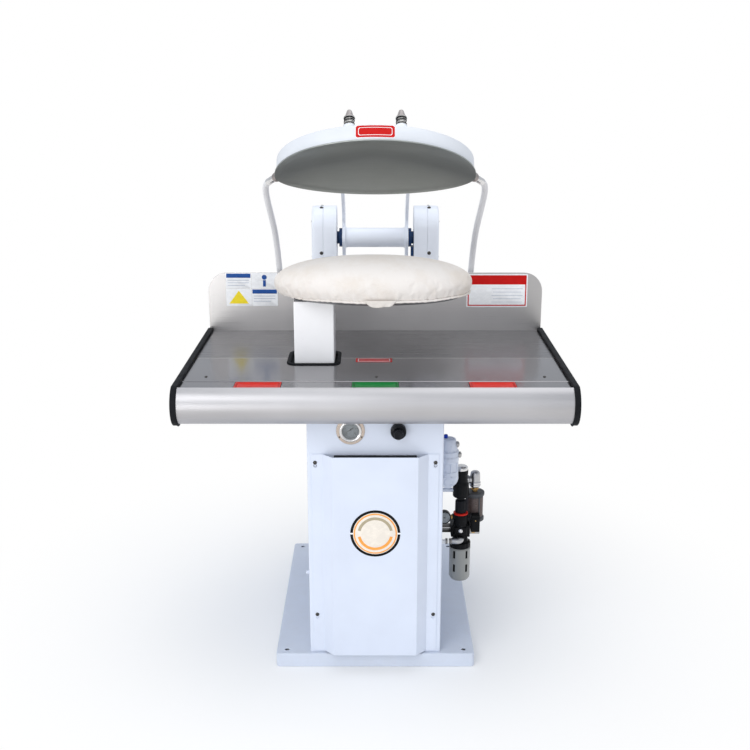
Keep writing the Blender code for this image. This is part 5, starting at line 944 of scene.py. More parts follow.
def make_head_bolts():
    seat = HEAD_RIM_Z + RIM_HEIGHT + GAP
    spring_seat = PLATE_TOP_Z + BOSS_RISE + GAP
    cone_seat = spring_seat + SPRING_HEIGHT + GAP
    cone = [(0, 0), (0.0150, 0), (0.0170, 0.6 * MM), (0.0170, 2.4 * MM), (0.0162, 3.0 * MM),
        (0.0142, 3.4 * MM), (0.0138, 6 * MM), (0.0128, 9 * MM), (0.0124, 9.6 * MM), (0.0120, 10 * MM),
        (0.0104, 16 * MM), (0.0086, 22 * MM), (0.0074, 25.5 * MM), (0.0066, 27 * MM), (0.0055, 27.5 * MM),
        (0, 27.5 * MM)]
    for side, name in SIDES:
        axis = HEAD @ place(side * BOLT_SPREAD, BOLT_Y)
        bm = bmesh.new()
        add_turned(bm, rounded([(0, seat), (0.019, seat), (0.020, seat + MM), (0.020, seat + 9 * MM),
            (0.0185, seat + 10 * MM), (0.008, seat + 10 * MM), (0.008, cone_seat + MM), (0, cone_seat + MM)],
            0.6 * MM), axis, 40)
        add_turned(bm, cone, axis @ place(z=cone_seat), 40)
        add_piece(f"head_bolt_fine_{name}", bm, "cone", 35, body="head", replaces=f"head_bolt_{name}")
        bm = bmesh.new()
        add_tube(bm, spring_line(), SPRING_WIRE_RADIUS, 12, axis @ place(z=spring_seat))
        add_piece(f"spring_fine_{name}", bm, "black", 180, body="head", slot="chrome",
            replaces=f"head_spring_{name}")
        turned_piece(f"spring_sleeve_{name}", "pale_metal",
            rounded([(0.0086, 2 * MM), (0.0126, 2 * MM), (0.0126, SPRING_HEIGHT - 2 * MM),
            (0.0086, SPRING_HEIGHT - 2 * MM)], 0.6 * MM), axis @ place(z=spring_seat), 40, 35, body="head")
        bm = bmesh.new()
        for lift in (0.2 * MM, SPRING_HEIGHT - 1.6 * MM):
            add_turned(bm, mm((8.4, 0), (17.8, 0), (18.2, 0.4), (18.2, 1), (17.8, 1.4), (8.4, 1.4)),
                axis @ place(z=spring_seat + lift), 40)
        add_piece(f"spring_washers_{name}", bm, "pale_metal", 35, body="head")


def make_unions():
    for side, name in SIDES:
        start, outward = union_place(side)
        matrix = HEAD @ Matrix.Translation(start) @ outward.to_track_quat("Z", "Y").to_matrix().to_4x4()
        bm = bmesh.new()
        radius = UNION_RADIUS
        add_turned(bm, rounded([(0, -6 * MM), (0.75 * radius, -6 * MM), (0.75 * radius, 5 * MM),
            (0.95 * radius, 9 * MM), (radius, 15 * MM), (radius, 24 * MM), (0.94 * radius, 30 * MM),
            (0.80 * radius, UNION_LENGTH), (0, UNION_LENGTH)], 2 * MM), matrix, 44)
        add_hex(bm, 0.93 * radius, 6 * MM, matrix @ place(z=1.2 * MM))
        add_piece(f"union_fine_{name}", bm, "union", body="head", replaces=f"head_union_{name}")


# Table: rolled nose, end trims, slot edging, push plates

NOSE_RADIUS = 0.0585
NOSE_CENTRE = Vector((FRONT_Y - 0.100 + NOSE_RADIUS, TABLE_HIGH.z - 0.049))
NOSE_START_DEG = 113.6
NOSE_END_DEG = 290.0
TABLE_HALF_WIDTH = TABLE_HIGH.x
LIP_Y = FRONT_Y - 0.0605
SHEET = 0.002
TRIM_PROUD = 0.005


def nose_arc(radius, steps=56):
    points = []
    for i in range(steps + 1):
        angle = math.radians(NOSE_START_DEG + (NOSE_END_DEG - NOSE_START_DEG) * i / steps)
        points.append((NOSE_CENTRE.x + radius * math.cos(angle), NOSE_CENTRE.y + radius * math.sin(angle)))
    return points


def add_side_profile(bm, outline, x_low, x_high, edge=0.0):
    """A solid with the same side view (y, z) from one x to another, its end edges turned in."""
    centre = Vector((sum(p[0] for p in outline), sum(p[1] for p in outline))) / len(outline)
    rings = []
    for x, inset in ((x_low, edge), (x_low + edge, 0), (x_high - edge, 0), (x_high, edge)):
        ring = []
        for y, z in outline:
            away = Vector((y, z)) - centre
            away = away * (1 - inset / max(away.length, edge + MM))
            ring.append(Vector((x, centre.x + away.x, centre.y + away.y)))
        rings.append(ring)
    if not edge:
        rings = [rings[0], rings[3]]
    add_rings(bm, rings)


def make_nose():
    """Rolled front edge: one sheet, its lip under the ledge."""
    outer = nose_arc(NOSE_RADIUS)
    inner = nose_arc(NOSE_RADIUS - SHEET)
    lip_z = BAND_Z - SHEET
    outline = [(LIP_Y, lip_z), *outer, *reversed(inner), (LIP_Y - 0.88 * SHEET, lip_z - 0.48 * SHEET)]
    bm = bmesh.new()
    add_side_profile(bm, outline, -TABLE_HALF_WIDTH, TABLE_HALF_WIDTH)
    add_piece("table_nose_fine", bm, "nose", 30, replaces="table_nose")


def make_end_trims():
    """Moulded rubber caps over the table's cut ends, with a rounded outer edge and a welt."""
    trim_low, trim_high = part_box("end_trim_right")
    top = trim_high.z
    back = trim_high.y
    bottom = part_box("table_rail_rear")[0].z
    outline = [(back, top), (LIP_Y + TRIM_PROUD, top), *nose_arc(NOSE_RADIUS + TRIM_PROUD, 40),
        (FRONT_Y + 0.080, bottom), (back, bottom)]
    for side, name in SIDES:
        bm = bmesh.new()
        low, high = sorted((side * trim_low.x, side * trim_high.x))
        add_side_profile(bm, outline, low, high, 1.6 * MM)
        welt = [(back - 3 * MM, top + 0.1 * MM), (LIP_Y + TRIM_PROUD, top + 0.1 * MM),
            *nose_arc(NOSE_RADIUS + TRIM_PROUD + 0.1 * MM, 40)]
        line = [Vector((side * (trim_low.x + 2.2 * MM), y, z - 1.1 * MM)) for y, z in welt]
        add_tube(bm, line, 1.3 * MM, 8)
        add_piece(f"end_trim_fine_{name}", bm, "rubber", replaces=f"end_trim_{name}")


def rounded_corners(low, high, radius, steps=10):
    points = []
    for cx, cy, start in ((high.x, high.y, 0), (low.x, high.y, 90), (low.x, low.y, 180),
            (high.x, low.y, 270)):
        sx = -1 if cx == high.x else 1
        sy = -1 if cy == high.y else 1
        for i in range(steps + 1):
            angle = math.radians(start + 90 * i / steps)
            points.append(Vector((cx + sx * radius + radius * math.cos(angle),
                cy + sy * radius + radius * math.sin(angle), 0)))
    return points


def make_slot_edging():
    """Rubber grommet strip round the slot: a round bead above the sheet."""
    low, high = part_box("slot_edging")
    middle = rounded_corners(low + Vector((6, 6, 0)) * MM, high - Vector((6, 6, 0)) * MM, 0.024)
    profile = []
    top = high.z - TABLE_HIGH.z
    for x, z in ((6.0, 0.3), (6.0, 1.6), (5.2, 3.1), (3.2, top / MM), (-3.0, top / MM), (-5.2, 3.0),
            (-6.0, 1.2), (-6.0, -4.4), (-5.4, -5.8), (-1.2, -6.0), (-1.0, 0.3)):
        profile.append((x * MM, z * MM))
    rings = []
    count = len(middle)
    for i, point in enumerate(middle):
        tangent = (middle[(i + 1) % count] - middle[i - 1]).normalized()
        outward = tangent.cross(Vector((0, 0, 1))).normalized()
        rings.append([point + outward * x + Vector((0, 0, TABLE_HIGH.z + z)) for x, z in profile])
    bm = bmesh.new()
    add_rings(bm, rings, closed=True)
    add_piece("slot_edging_fine", bm, "rubber", 45, replaces="slot_edging")


PUSH_COLOURS = (("left", "red"), ("centre", "green"), ("right", "red"))


def add_frame(bm, low, high, levels, radius, taper=0.0, closed=False):
    """Lofts a box's plan, its corners rounded, through levels that each have an inset and a height."""
    rings = []
    for inset, z in levels:
        grow = Vector((inset, inset, 0))
        rounding = max(0.6 * MM, radius - taper * inset)
        rings.append(lifted(rounded_corners(low + grow, high - grow, rounding, 5), z))
    add_rings(bm, rings, closed=closed)


def make_table_lines():
    """A pale strip along the seam as a painted highlight on the front panel's edge, and the black skirt under
    the slot round the post.
    """
    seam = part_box("table_front_panel")[1].y
    slot_low, slot_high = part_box("slot_edging")
    # Painted highlight: a pale metal strip along the seam, where light catches the panel's edge.
    bm = bmesh.new()
    for low_x, high_x in ((-TABLE_HALF_WIDTH + MM, slot_low.x - MM),
            (slot_high.x + MM, TABLE_HALF_WIDTH - MM)):
        add_block(bm, (high_x - low_x, 1.1 * MM, 0.35 * MM),
            place((low_x + high_x) / 2, seam - 0.6 * MM, TABLE_HIGH.z + 0.1 * MM), 0.12 * MM, 2)
    add_piece("table_seam_highlight", bm, "pale_metal", slot="brushed_stainless")
    bm = bmesh.new()
    post_low, post_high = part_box("buck_post")
    grow = Vector((4, 4, 0)) * MM
    clear = Vector((0.4, 0.4, 0)) * MM
    outer = rounded_corners(slot_low + grow, slot_high - grow, 0.020)
    inner = rounded_corners(post_low + clear, post_high - clear, 3.6 * MM)
    top = TABLE_HIGH.z - 9 * MM
    add_rings(bm, [lifted(inner, top), lifted(outer, top + 2 * MM), lifted(outer, top),
        lifted(inner, top - 2 * MM)], closed=True)
    add_piece("slot_skirt", bm, "rubber", 45)


def make_push_seals():
    """A black gasket round each push frame, as painted shade for the shadow gap at its edge, and a groove in
    its top coloured dark as painted shade; then a seal on the front cover, and a dark-blue strip by the pivot
    as painted shade for the right yoke arm's shadowed side.
    """
    # Painted shade: black gaskets put where only a shadow gap shows round each frame.
    bm = bmesh.new()
    for name, _ in PUSH_COLOURS:
        low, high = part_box(f"button_frame_{name}")
        add_frame(bm, low, high, ((2 * MM, BAND_Z), (-1.5 * MM, BAND_Z), (-1.5 * MM, BAND_Z + 0.5 * MM),
            (-1.1 * MM, BAND_Z + 0.8 * MM), (2 * MM, BAND_Z + 0.8 * MM)), 3.4 * MM, closed=True)
    add_piece("push_gaskets_painted_shade", bm, "rubber", 45)
    # Painted shade: a thin dark ring on each frame's top stands in for the shadow in the gap round the plate.
    for name, colour in PUSH_COLOURS:
        low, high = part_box(f"button_frame_{name}")
        bm = bmesh.new()
        add_frame(bm, low, high, ((3.4 * MM, high.z - 0.3 * MM), (3.4 * MM, high.z + 0.08 * MM),
            (5.3 * MM, high.z - 0.12 * MM), (5.9 * MM, high.z - 0.45 * MM)), 2.2 * MM, closed=True)
        add_piece(f"push_groove_painted_shade_{name}", bm, f"{colour}_deep", 45)
    bm = bmesh.new()
    low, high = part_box("front_cover")
    add_block(bm, (0.242, 0.024, 3 * MM), place(0, low.y + 0.0155, high.z - 3.5 * MM), 0.8 * MM, 2)
    add_piece("cover_seal", bm, "rubber", 45)
    # Painted shade: a dark-blue strip stands in for the shadowed side of the right yoke arm and its washers.
    bm = bmesh.new()
    add_block(bm, (8 * MM, 0.056, 0.052), place(0.1265, PIVOT.y, PIVOT.z - 0.056), 1.5 * MM)
    add_piece("thrust_strip_painted_shade", bm, "bush", 45)


def make_push_plates():
    """Each plate lies in a raised frame with a deep tray; a shallow panel is pressed into its face."""
    for name, colour in PUSH_COLOURS:
        low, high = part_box(f"button_frame_{name}")
        bm = bmesh.new()
        add_frame(bm, low, high, ((2 * MM, low.z), (2 * MM, BAND_Z + GAP), (0, BAND_Z + GAP),
            (0, high.z - 0.9 * MM), (0.6 * MM, high.z - 0.2 * MM), (2 * MM, high.z), (4.6 * MM, high.z),
            (5.8 * MM, high.z - 0.3 * MM), (6.4 * MM, high.z - MM), (6.4 * MM, low.z + 2 * MM)), 3.2 * MM)
        add_piece(f"push_frame_fine_{name}", bm, colour, replaces=f"button_frame_{name}")
        bm = bmesh.new()
        low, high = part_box(f"button_{name}")
        middle = (low + high) / 2
        top = high.z
        add_frame(bm, low, high, ((0.2 * MM, top - 6 * MM), (0, top - 5 * MM), (0, top - 0.8 * MM),
            (0.7 * MM, top - 0.1 * MM), (1.6 * MM, top), (5.4 * MM, top), (6.2 * MM, top - 0.5 * MM),
            (7 * MM, top - 0.9 * MM), (22 * MM, top - 0.9 * MM)), 3 * MM, 0.25)
        add_turned(bm, [(0, low.z), (0.005, low.z), (0.006, low.z + MM), (0.006, top - 5 * MM),
            (0, top - 5 * MM)], place(middle.x, middle.y), 24)
        add_piece(f"push_plate_fine_{name}", bm, colour, body=f"push_plate_{name}", replaces=f"button_{name}")


# Plain plates on the splash panel and the table

def make_splash_plates():
    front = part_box("splash_panel")[0].y

    def panel(name, x_low, x_high, z_low, z_high, lift, thickness, material, radius=2.5 * MM):
        bm = bmesh.new()
        matrix = place((x_low + x_high) / 2, front - lift, (z_low + z_high) / 2, FACE_FRONT)
        rounded_plate(bm, x_high - x_low, z_high - z_low, thickness, radius, matrix)
        add_piece(name, bm, material)

    skin = 0.4 * MM
    step = 0.25 * MM
    for name, left, right, low, high in (("upper_left", -0.5080, -0.4215, 1.0560, 1.1097),
            ("upper_right", -0.4205, -0.3330, 1.0560, 1.1097),
            ("lower_left", -0.5080, -0.4215, 0.9955, 1.0550),
            ("lower_right", -0.4205, -0.3330, 0.9955, 1.0550)):
        panel(f"plate_{name}", left, right, low, high, 0, skin, "label_white", 1.5 * MM)
        if name in ("upper_left", "lower_right"):
            panel(f"plate_{name}_band", left + 2 * MM, right - 2 * MM, high - 0.0165, high - 2 * MM, skin,
                step, "label_blue", MM)
        for i in range(3 if name in ("upper_left", "lower_right") else 0):
            panel(f"plate_{name}_rule_{i}", left + 6 * MM, right - (8 + 14 * (i == 2)) * MM,
                high - 0.0260 - 9 * MM * i, high - 0.0235 - 9 * MM * i, skin, step, "label_grey", 0.5 * MM)
    bm = bmesh.new()
    triangle = [Vector((x, z, 0)) for x, z in ((-0.0335, -0.0195), (0.0335, -0.0195), (0, 0.0255))]
    add_rings(bm, [lifted(triangle, lift) for lift in (skin, skin + step)],
        place(-0.4648, front, 1.0235, FACE_FRONT))
    add_piece("plate_triangle", bm, "label_yellow")
    bm = bmesh.new()
    add_turned(bm, bar(0.0085, skin, skin + step), place(-0.3768, front, 1.0950, FACE_FRONT), 32)
    add_block(bm, (0.010, 0.022, step), place(-0.3768, front - skin - step / 2, 1.0740, FACE_FRONT),
        0.1 * MM, 2)
    add_piece("plate_mark", bm, "label_blue")
    panel("plate_right", 0.3110, 0.5180, 0.992, 1.106, 0, skin, "label_white")
    panel("plate_right_border", 0.3150, 0.5140, 0.996, 1.102, skin, step, "label_red", 2 * MM)
    panel("plate_right_field", 0.3190, 0.5100, 1.000, 1.070, skin + step, step, "label_white", 2 * MM)
    for i in range(5):
        panel(f"plate_right_rule_{i}", 0.3960 + 5 * MM * (i % 2), 0.5020 - 6 * MM * (i % 2),
            1.0085 + 0.0115 * i, 1.0105 + 0.0115 * i, skin + 2 * step, step, "label_grey", 0.5 * MM)
    bm = bmesh.new()
    rounded_plate(bm, 0.1125, 0.045, 0.3 * MM, 2 * MM, place(-0.004, -0.0985, TABLE_HIGH.z))
    add_piece("table_plate", bm, "label_red")
    bm = bmesh.new()
    for inset in (0, 2 * MM):
        rounded_plate(bm, 0.099 - 2 * inset, 0.031 - 4 * inset, 0.2 * MM, 1.5 * MM,
            place(-0.004, -0.0985, TABLE_HIGH.z), 0.3 * MM + inset * 0.05)
        if inset == 0:
            add_piece("table_plate_line", bm, "label_white")
            bm = bmesh.new()
    add_piece("table_plate_field", bm, "label_red")


def make_badge():
    """A plain round badge on the front cover: rings, two arcs and two breaks."""
    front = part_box("front_cover")[0].y
    centre = place(0, front, 0.455, FACE_FRONT)
    lift = 0.0
    for name, radius, material in (("edge", 0.0740, "black"), ("rim", 0.0660, "label_cream"),
            ("ring", 0.0640, "label_orange"), ("field", 0.0598, "label_cream")):
        turned_piece(f"badge_{name}", material, [(0, lift), (radius, lift), (radius, lift + 0.35 * MM),
            (radius - 0.4 * MM, lift + 0.5 * MM), (0, lift + 0.5 * MM)], centre, 96, slot="painted_white")
        lift += 0.5 * MM
    for name, start, end, material in (("upper", 12, 168, "label_gold"), ("lower", 191, 349, "label_orange")):
        bm = bmesh.new()
        steps = 48
        arc = []
        for radius, turns in ((0.0525, range(steps + 1)), (0.0440, range(steps, -1, -1))):
            for k in turns:
                angle = math.radians(start + (end - start) * k / steps)
                arc.append((radius * math.cos(angle), radius * math.sin(angle)))
        add_rings(bm, [[Vector((x, y, level)) for x, y in arc] for level in (lift, lift + 0.3 * MM)], centre)
        add_piece(f"badge_arc_{name}", bm, material)
    bm = bmesh.new()
    for side in (-1, 1):
        rounded_plate(bm, 0.0125, 5 * MM, 0.6 * MM, 0.5 * MM, centre @ place(side * 0.0682), 0.3 * MM)
    add_piece("badge_breaks", bm, "label_white")


# Fasteners

def add_round_screw(bm, matrix, radius=4 * MM):
    """A pan-head screw with a cross recess, standing on its local XY plane."""
    rise = radius * 0.55
    slot_wide = radius * 0.22
    slot_long = radius * 0.62
    head = [(radius, 0), (radius, rise * 0.25), (radius * 0.86, rise * 0.72), (radius * 0.62, rise * 0.95)]
    rings = [circle(r, z, 32) for r, z in head]
    cross = []
    for i in range(32):
        angle = 2 * math.pi * i / 32
        turn = angle % (math.pi / 2)
        near = min(turn, math.pi / 2 - turn)
        reach = slot_long if near < 0.36 else slot_wide * 1.35
        cross.append(Vector((reach * math.cos(angle), reach * math.sin(angle), rise)))
    floor = [Vector((p.x * 0.8, p.y * 0.8, rise * 0.35)) for p in cross]
    add_rings(bm, [*rings, cross, floor], matrix)


def make_screws():
    bm = bmesh.new()
    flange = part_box("front_cover")[1].y - SHEET
    for x in (-0.1765, 0.1765):
        for z in (0.667, 0.174):
            add_round_screw(bm, place(x, flange, z, FACE_FRONT), 5.8 * MM)
            if z > 0.5:
                add_rings(bm, [circle(4.6 * MM, 0, 32), circle(4.9 * MM, 0.5 * MM, 32),
                    circle(3.9 * MM, 0.5 * MM, 32), circle(3.9 * MM, 0, 32)],
                    place(x, flange, z - 9.5 * MM, FACE_FRONT), closed=True)
    low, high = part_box("tower_cover_right")
    radius = (high.y - low.y) / 2
    for side in (-1, 1):
        x = side * (low.x + 6 * MM)
        for angle in (70, 112):
            top = spin(90 - angle, "X")
            add_round_screw(bm, place(x, low.y + radius, high.z - radius) @ top @ place(z=radius), 6 * MM)
        for z in (1.176, 0.945):
            add_round_screw(bm, place(x, low.y, z, FACE_FRONT), 6 * MM)
            add_round_screw(bm, place(x, high.y, z, FACE_REAR), 6 * MM)
    for x in (-0.494, 0.0035, 0.494):
        add_round_screw(bm, place(x, -0.285, TABLE_HIGH.z), 4.4 * MM)
    add_piece("panel_screws", bm, "dark_steel", 35)
    make_rear_screws()


def make_rear_screws():
    bm = bmesh.new()
    low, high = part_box("rear_cover")
    for x in (low.x + 0.010, high.x - 0.010):
        for z in (low.z + 0.012, (low.z + high.z) / 2, high.z - 0.012):
            add_round_screw(bm, place(x, high.y, z, FACE_REAR), 4.2 * MM)
    low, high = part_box("splash_panel")
    for x in (-0.520, -0.260, 0.260, 0.520):
        add_round_screw(bm, place(x, high.y, TABLE_HIGH.z - 0.022, FACE_REAR), 4.2 * MM)
    plate_low, plate_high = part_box("cylinder_bracket")
    for x in (plate_low.x + 0.014, plate_high.x - 0.014):
        for z in (plate_low.z + 0.016, plate_high.z - 0.016):
            add_hex(bm, 6.5 * MM, 4.5 * MM, place(x, COLUMN_HIGH.y + 6.3 * MM, z, FACE_REAR))
    add_piece("rear_screws", bm, "steel", 35)
    bm = bmesh.new()
    deck_low, deck_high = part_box("deck_plate")
    for side in (-1, 1):
        for y in (deck_low.y + 0.030, deck_low.y + 0.260, deck_high.y - 0.250):
            add_hex(bm, 8 * MM, 6 * MM, place(side * 0.236, y, deck_high.z))
    add_piece("deck_bolts", bm, "steel", 35)
    turned_piece("column_plug", "white", mm((0, 0), (5.5, 0), (6.5, 2), (6.2, 8), (4, 10), (0, 10.5)),
        place(COLUMN_LOW.x, FRONT_Y + 0.020, 0.3045, FACE_LEFT), 24)


# Gauge and knob on the column's front

GAUGE_X = -0.072
GAUGE_Z = COLUMN_HIGH.z - 0.0755
KNOB_X = 0.067
KNOB_Z = COLUMN_HIGH.z - 0.0745


def make_gauge():
    face = place(GAUGE_X, FRONT_Y, GAUGE_Z, FACE_FRONT)
    turned_piece("gauge_flange", "bronze", rounded([(0, -0.0280), (0.0300, -0.0280), (0.0305, -0.027),
        (0.0305, GAP), (0.0418, GAP), (0.0418, 1.6 * MM), (0.0412, 2.8 * MM), (0.0330, 2.8 * MM)], 0.5 * MM)
        + [(0.0330, 2.0 * MM), (0.0256, 2.0 * MM), (0.0256, -10.4 * MM), (0, -10.4 * MM)], face, 72, 35,
        replaces="gauge_case")
    turned_piece("gauge_bezel", "chrome", [(0.0255, -9.8 * MM), (0.0255, 7 * MM), (0.0278, 7.4 * MM),
        (0.0279, 9.6 * MM), (0.0290, 10 * MM), (0.0312, 9.6 * MM), (0.0324, 8.2 * MM), (0.0326, 5 * MM),
        (0.0326, 2.2 * MM), (0.0300, -9.8 * MM)][::-1], face, 72)
    turned_piece("gauge_dial", "dial", bar(0.0262, -10 * MM, -9.6 * MM), face, 72)
    bm = bmesh.new()
    for k in range(3):
        angle = math.radians(90 + 120 * k)
        add_round_screw(bm, face @ place(0.0375 * math.cos(angle), 0.0375 * math.sin(angle),
            2.8 * MM), 2.5 * MM)
    add_piece("gauge_screws", bm, "dark_steel", 35)
    make_gauge_scale(face)


SCALE_START_DEG = 225
SCALE_SWEEP_DEG = 270


def add_ticks(bm, matrix, count, tip, long_size, short_size, thick):
    """Scale marks over three quarters of a turn, every fifth one long."""
    for k in range(count + 1):
        long, wide = long_size if k % 5 == 0 else short_size
        corners = [Vector((x * long / 2, y * wide / 2, 0)) for x, y in ((-1, -1), (1, -1), (1, 1), (-1, 1))]
        turn = matrix @ spin(SCALE_START_DEG - SCALE_SWEEP_DEG * k / count) @ place(tip - long / 2)
        add_rings(bm, [corners, lifted(corners, thick)], turn)


def make_gauge_scale(face):
    """Plain ticks and numbers from 0 to 10 over 270 degrees."""
    bm = bmesh.new()
    add_ticks(bm, face @ place(z=-9.5 * MM), 50, 0.0236, (4.4 * MM, MM), (2.4 * MM, 0.45 * MM), 0.12 * MM)
    add_piece("gauge_ticks", bm, "black", 30)
    whole = bmesh.new()
    for k in range(6):
        angle = math.radians(SCALE_START_DEG - SCALE_SWEEP_DEG * k / 5)
        words = bpy.data.curves.new("number", "FONT")
        words.body = str(2 * k)
        words.size = 6.0 * MM
        words.align_x = "CENTER"
        words.align_y = "CENTER"
        words.extrude = 0.06 * MM
        holder = bpy.data.objects.new("number", words)
        bpy.context.scene.collection.objects.link(holder)
        bpy.context.view_layer.update()
        mesh = bpy.data.meshes.new_from_object(holder.evaluated_get(bpy.context.evaluated_depsgraph_get()))
        mesh.transform(face @ place(0.0155 * math.cos(angle), 0.0155 * math.sin(angle), -9.45 * MM))
        whole.from_mesh(mesh)
        bpy.data.objects.remove(holder)
    mesh = bpy.data.meshes.new("gauge_numbers")
    whole.to_mesh(mesh)
    whole.free()
    mesh.materials.clear()
    add_piece("gauge_numbers", mesh, "black", 30)


def fluted(levels, count, sharpness, steps):
    """Rings of a grip; each level has a radius, a height and the depth of its flutes."""
    rings = []
    for radius, height, flute in levels:
        ring = []
        for angle in (2 * math.pi * i / steps for i in range(steps)):
            reach = radius - flute * max(0.0, math.cos(count * angle)) ** sharpness
            ring.append(Vector((reach * math.cos(angle), reach * math.sin(angle), height)))
        rings.append(ring)
    return rings


def make_panel_knob():
    """Black moulded knob: a plain skirt and a fluted grip."""
    matrix = place(KNOB_X, FRONT_Y, KNOB_Z, FACE_FRONT)
    bm = bmesh.new()
    levels = [(0.0040, -0.020, 0), (0.0040, GAP, 0), (0.0222, GAP, 0), (0.0228, MM, 0), (0.0228, 0.0165, 0),
        (0.0222, 0.0190, 0), (0.0205, 0.0200, 0), (0.0150, 0.0203, 0), (0.0142, 0.0212, 0.9 * MM),
        (0.0140, 0.0300, 0.9 * MM), (0.0138, 0.0440, 0.9 * MM), (0.0133, 0.0465, 0.5 * MM),
        (0.0122, 0.0478, 0), (0.0105, 0.0480, 0), (0.0100, 0.0476, 0), (0.0020, 0.0476, 0)]
    add_rings(bm, fluted(levels, 12, 2, 144), matrix)
    add_block(bm, (0.9 * MM, 8 * MM, 0.5 * MM), matrix @ place(0, 8 * MM, 0.0476), 0.2 * MM, 2)
    add_piece("panel_knob_fine", bm, "grip", body="pressure_knob", replaces="panel_knob")


# Steam valve on the column's right side

VALVE_X = 0.233
VALVE_Y = FRONT_Y + 0.255
VALVE_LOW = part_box("steam_valve")[0].z
VALVE_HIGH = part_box("steam_valve")[1].z - 0.010


def half_turned(profile, steps, cut_x):
    """Rings of a turned body whose column side is cut flat."""
    rings = []
    for radius, height in profile:
        ring = []
        for point in circle(max(radius, 0.02 * MM), height, steps):
            ring.append(Vector((max(point.x, cut_x), point.y, point.z)))
        rings.append(ring)
    return rings


def make_steam_valve():
    """Painted casting in two halves, bolted at a flange; ribs, a vent cap and two test plugs."""
    seat = place(VALVE_X, VALVE_Y, VALVE_LOW)
    flat = SIDE_X + GAP - VALVE_X
    tall = VALVE_HIGH - VALVE_LOW
    bm = bmesh.new()
    bowl = [(0.0325 * math.cos(math.radians(a)), 0.0325 + 0.0325 * math.sin(math.radians(a)))
        for a in range(-90, 1, 9)]
    profile = rounded([*bowl, (0.0315, 0.050), (0.0300, 0.056), (0.0300, 0.086), (0.0322, 0.089),
        (0.0322, 0.1045), (0.0322, 0.1065), (0.0322, 0.122), (0.0285, 0.126), (0.0268, 0.134),
        (0.0255, 0.150), (0.0215, tall - 4 * MM), (0.0150, tall - MM), (0, tall)], 2.2 * MM)
    add_rings(bm, half_turned(profile, 64, flat), seat)
    for angle in (-78, -34, 12, 58, 98):
        turn = seat @ spin(angle)
        add_block(bm, (4.5 * MM, 5 * MM, 0.030), turn @ place(0.0302, 0, 0.071), 1.5 * MM)
        add_block(bm, (3.6 * MM, 4 * MM, 0.022), turn @ place(0.0262, 0, 0.1345), 1.4 * MM)
    boss = spin(-62) @ spin(68, "Y")
    add_turned(bm, rounded(mm((0, 12), (13, 14), (13, 30), (11.8, 31.8), (0, 31.8)), MM),
        seat @ place(z=0.036) @ boss, 32)
    add_turned(bm, rounded(mm((0, 0), (22, 0), (22, 6), (19.5, 8), (19.5, 20), (0, 20)), MM),
        place(SIDE_X + GAP, VALVE_Y, VALVE_LOW + 0.0575, FACE_RIGHT), 48)
    flange = place(VALVE_X - 3 * MM, VALVE_Y - 0.0325, VALVE_LOW + 0.0280, FACE_FRONT)
    add_turned(bm, rounded(mm((0, -20), (16.5, -20), (16.5, -9), (22.5, -8), (22.5, -2), (12, -1.6),
        (10.5, 0), (0, 0)), 1.2 * MM), flange, 48)
    for turn_by in range(45, 405, 90):
        add_hex(bm, 3.6 * MM, 3.2 * MM, flange @ spin(turn_by) @ place(0.0172, 0, -2.4 * MM))
    for lift, radius in ((0.0520, 0.0322), (0.1035, 0.0322), (0.1185, 0.0322)):
        add_rings(bm, half_turned(rounded([(0.020, lift), (radius, lift), (radius, lift + 5.5 * MM),
            (0.020, lift + 5.5 * MM)], 1.4 * MM), 64, flat), seat)
    add_piece("steam_valve_casting", bm, "white", 42, replaces="steam_valve")
    bm = bmesh.new()
    for angle in (-100, -56, -12, 35, 78):
        turn = seat @ spin(angle)
        x = 0.0272
        if (turn @ Vector((x, 0, 0))).x < SIDE_X + 5 * MM:
            continue
        add_hex(bm, 4.2 * MM, 3.6 * MM, turn @ place(x, 0, 0.1225))
        add_turned(bm, mm((0, 0), (2.6, 0), (2.6, 2), (1.9, 2.6), (0, 2.6)), turn @ place(x, 0, 0.1255), 20)
    add_piece("steam_valve_bolts", bm, "white", 35)
    bm = bmesh.new()
    cap_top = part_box("steam_valve")[1].z - VALVE_HIGH + tall
    add_turned(bm, rounded([(0, tall - 4 * MM), (0.0066, tall - 4 * MM), (0.0068, tall + MM),
        (0.0062, cap_top - 2 * MM), (0.0045, cap_top), (0, cap_top)], MM), seat @ place(-0.010), 28)
    add_piece("steam_valve_cap", bm, "blue")
    bm = bmesh.new()
    for lift, out, angle in ((0.1455, 0.0215, -14), (0.1105, 0.0290, -8)):
        plug = seat @ spin(angle) @ place(out, 0, lift)
        plug = plug @ FACE_RIGHT
        add_turned(bm, bar(0.0085, -0.004, 0.0035), plug, 24)
        add_hex(bm, 10.6 * MM, 6.5 * MM, plug @ place(z=0.0030))
        add_turned(bm, mm((0, 9), (7, 9), (7, 10.5), (5.5, 12), (0, 12)), plug, 24)
    add_piece("steam_valve_plugs", bm, "steel", 35)


# Filter-regulator and what hangs on it

AIR_X = 0.279
AIR_Y = FRONT_Y + 0.300
FILTER_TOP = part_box("filter_guard")[1].z
BODY_LOW = FILTER_TOP + GAP
PORT_BLOCK_Y = AIR_Y + 0.031 - 0.01225
PORT_BLOCK_Z = BODY_LOW + 0.055


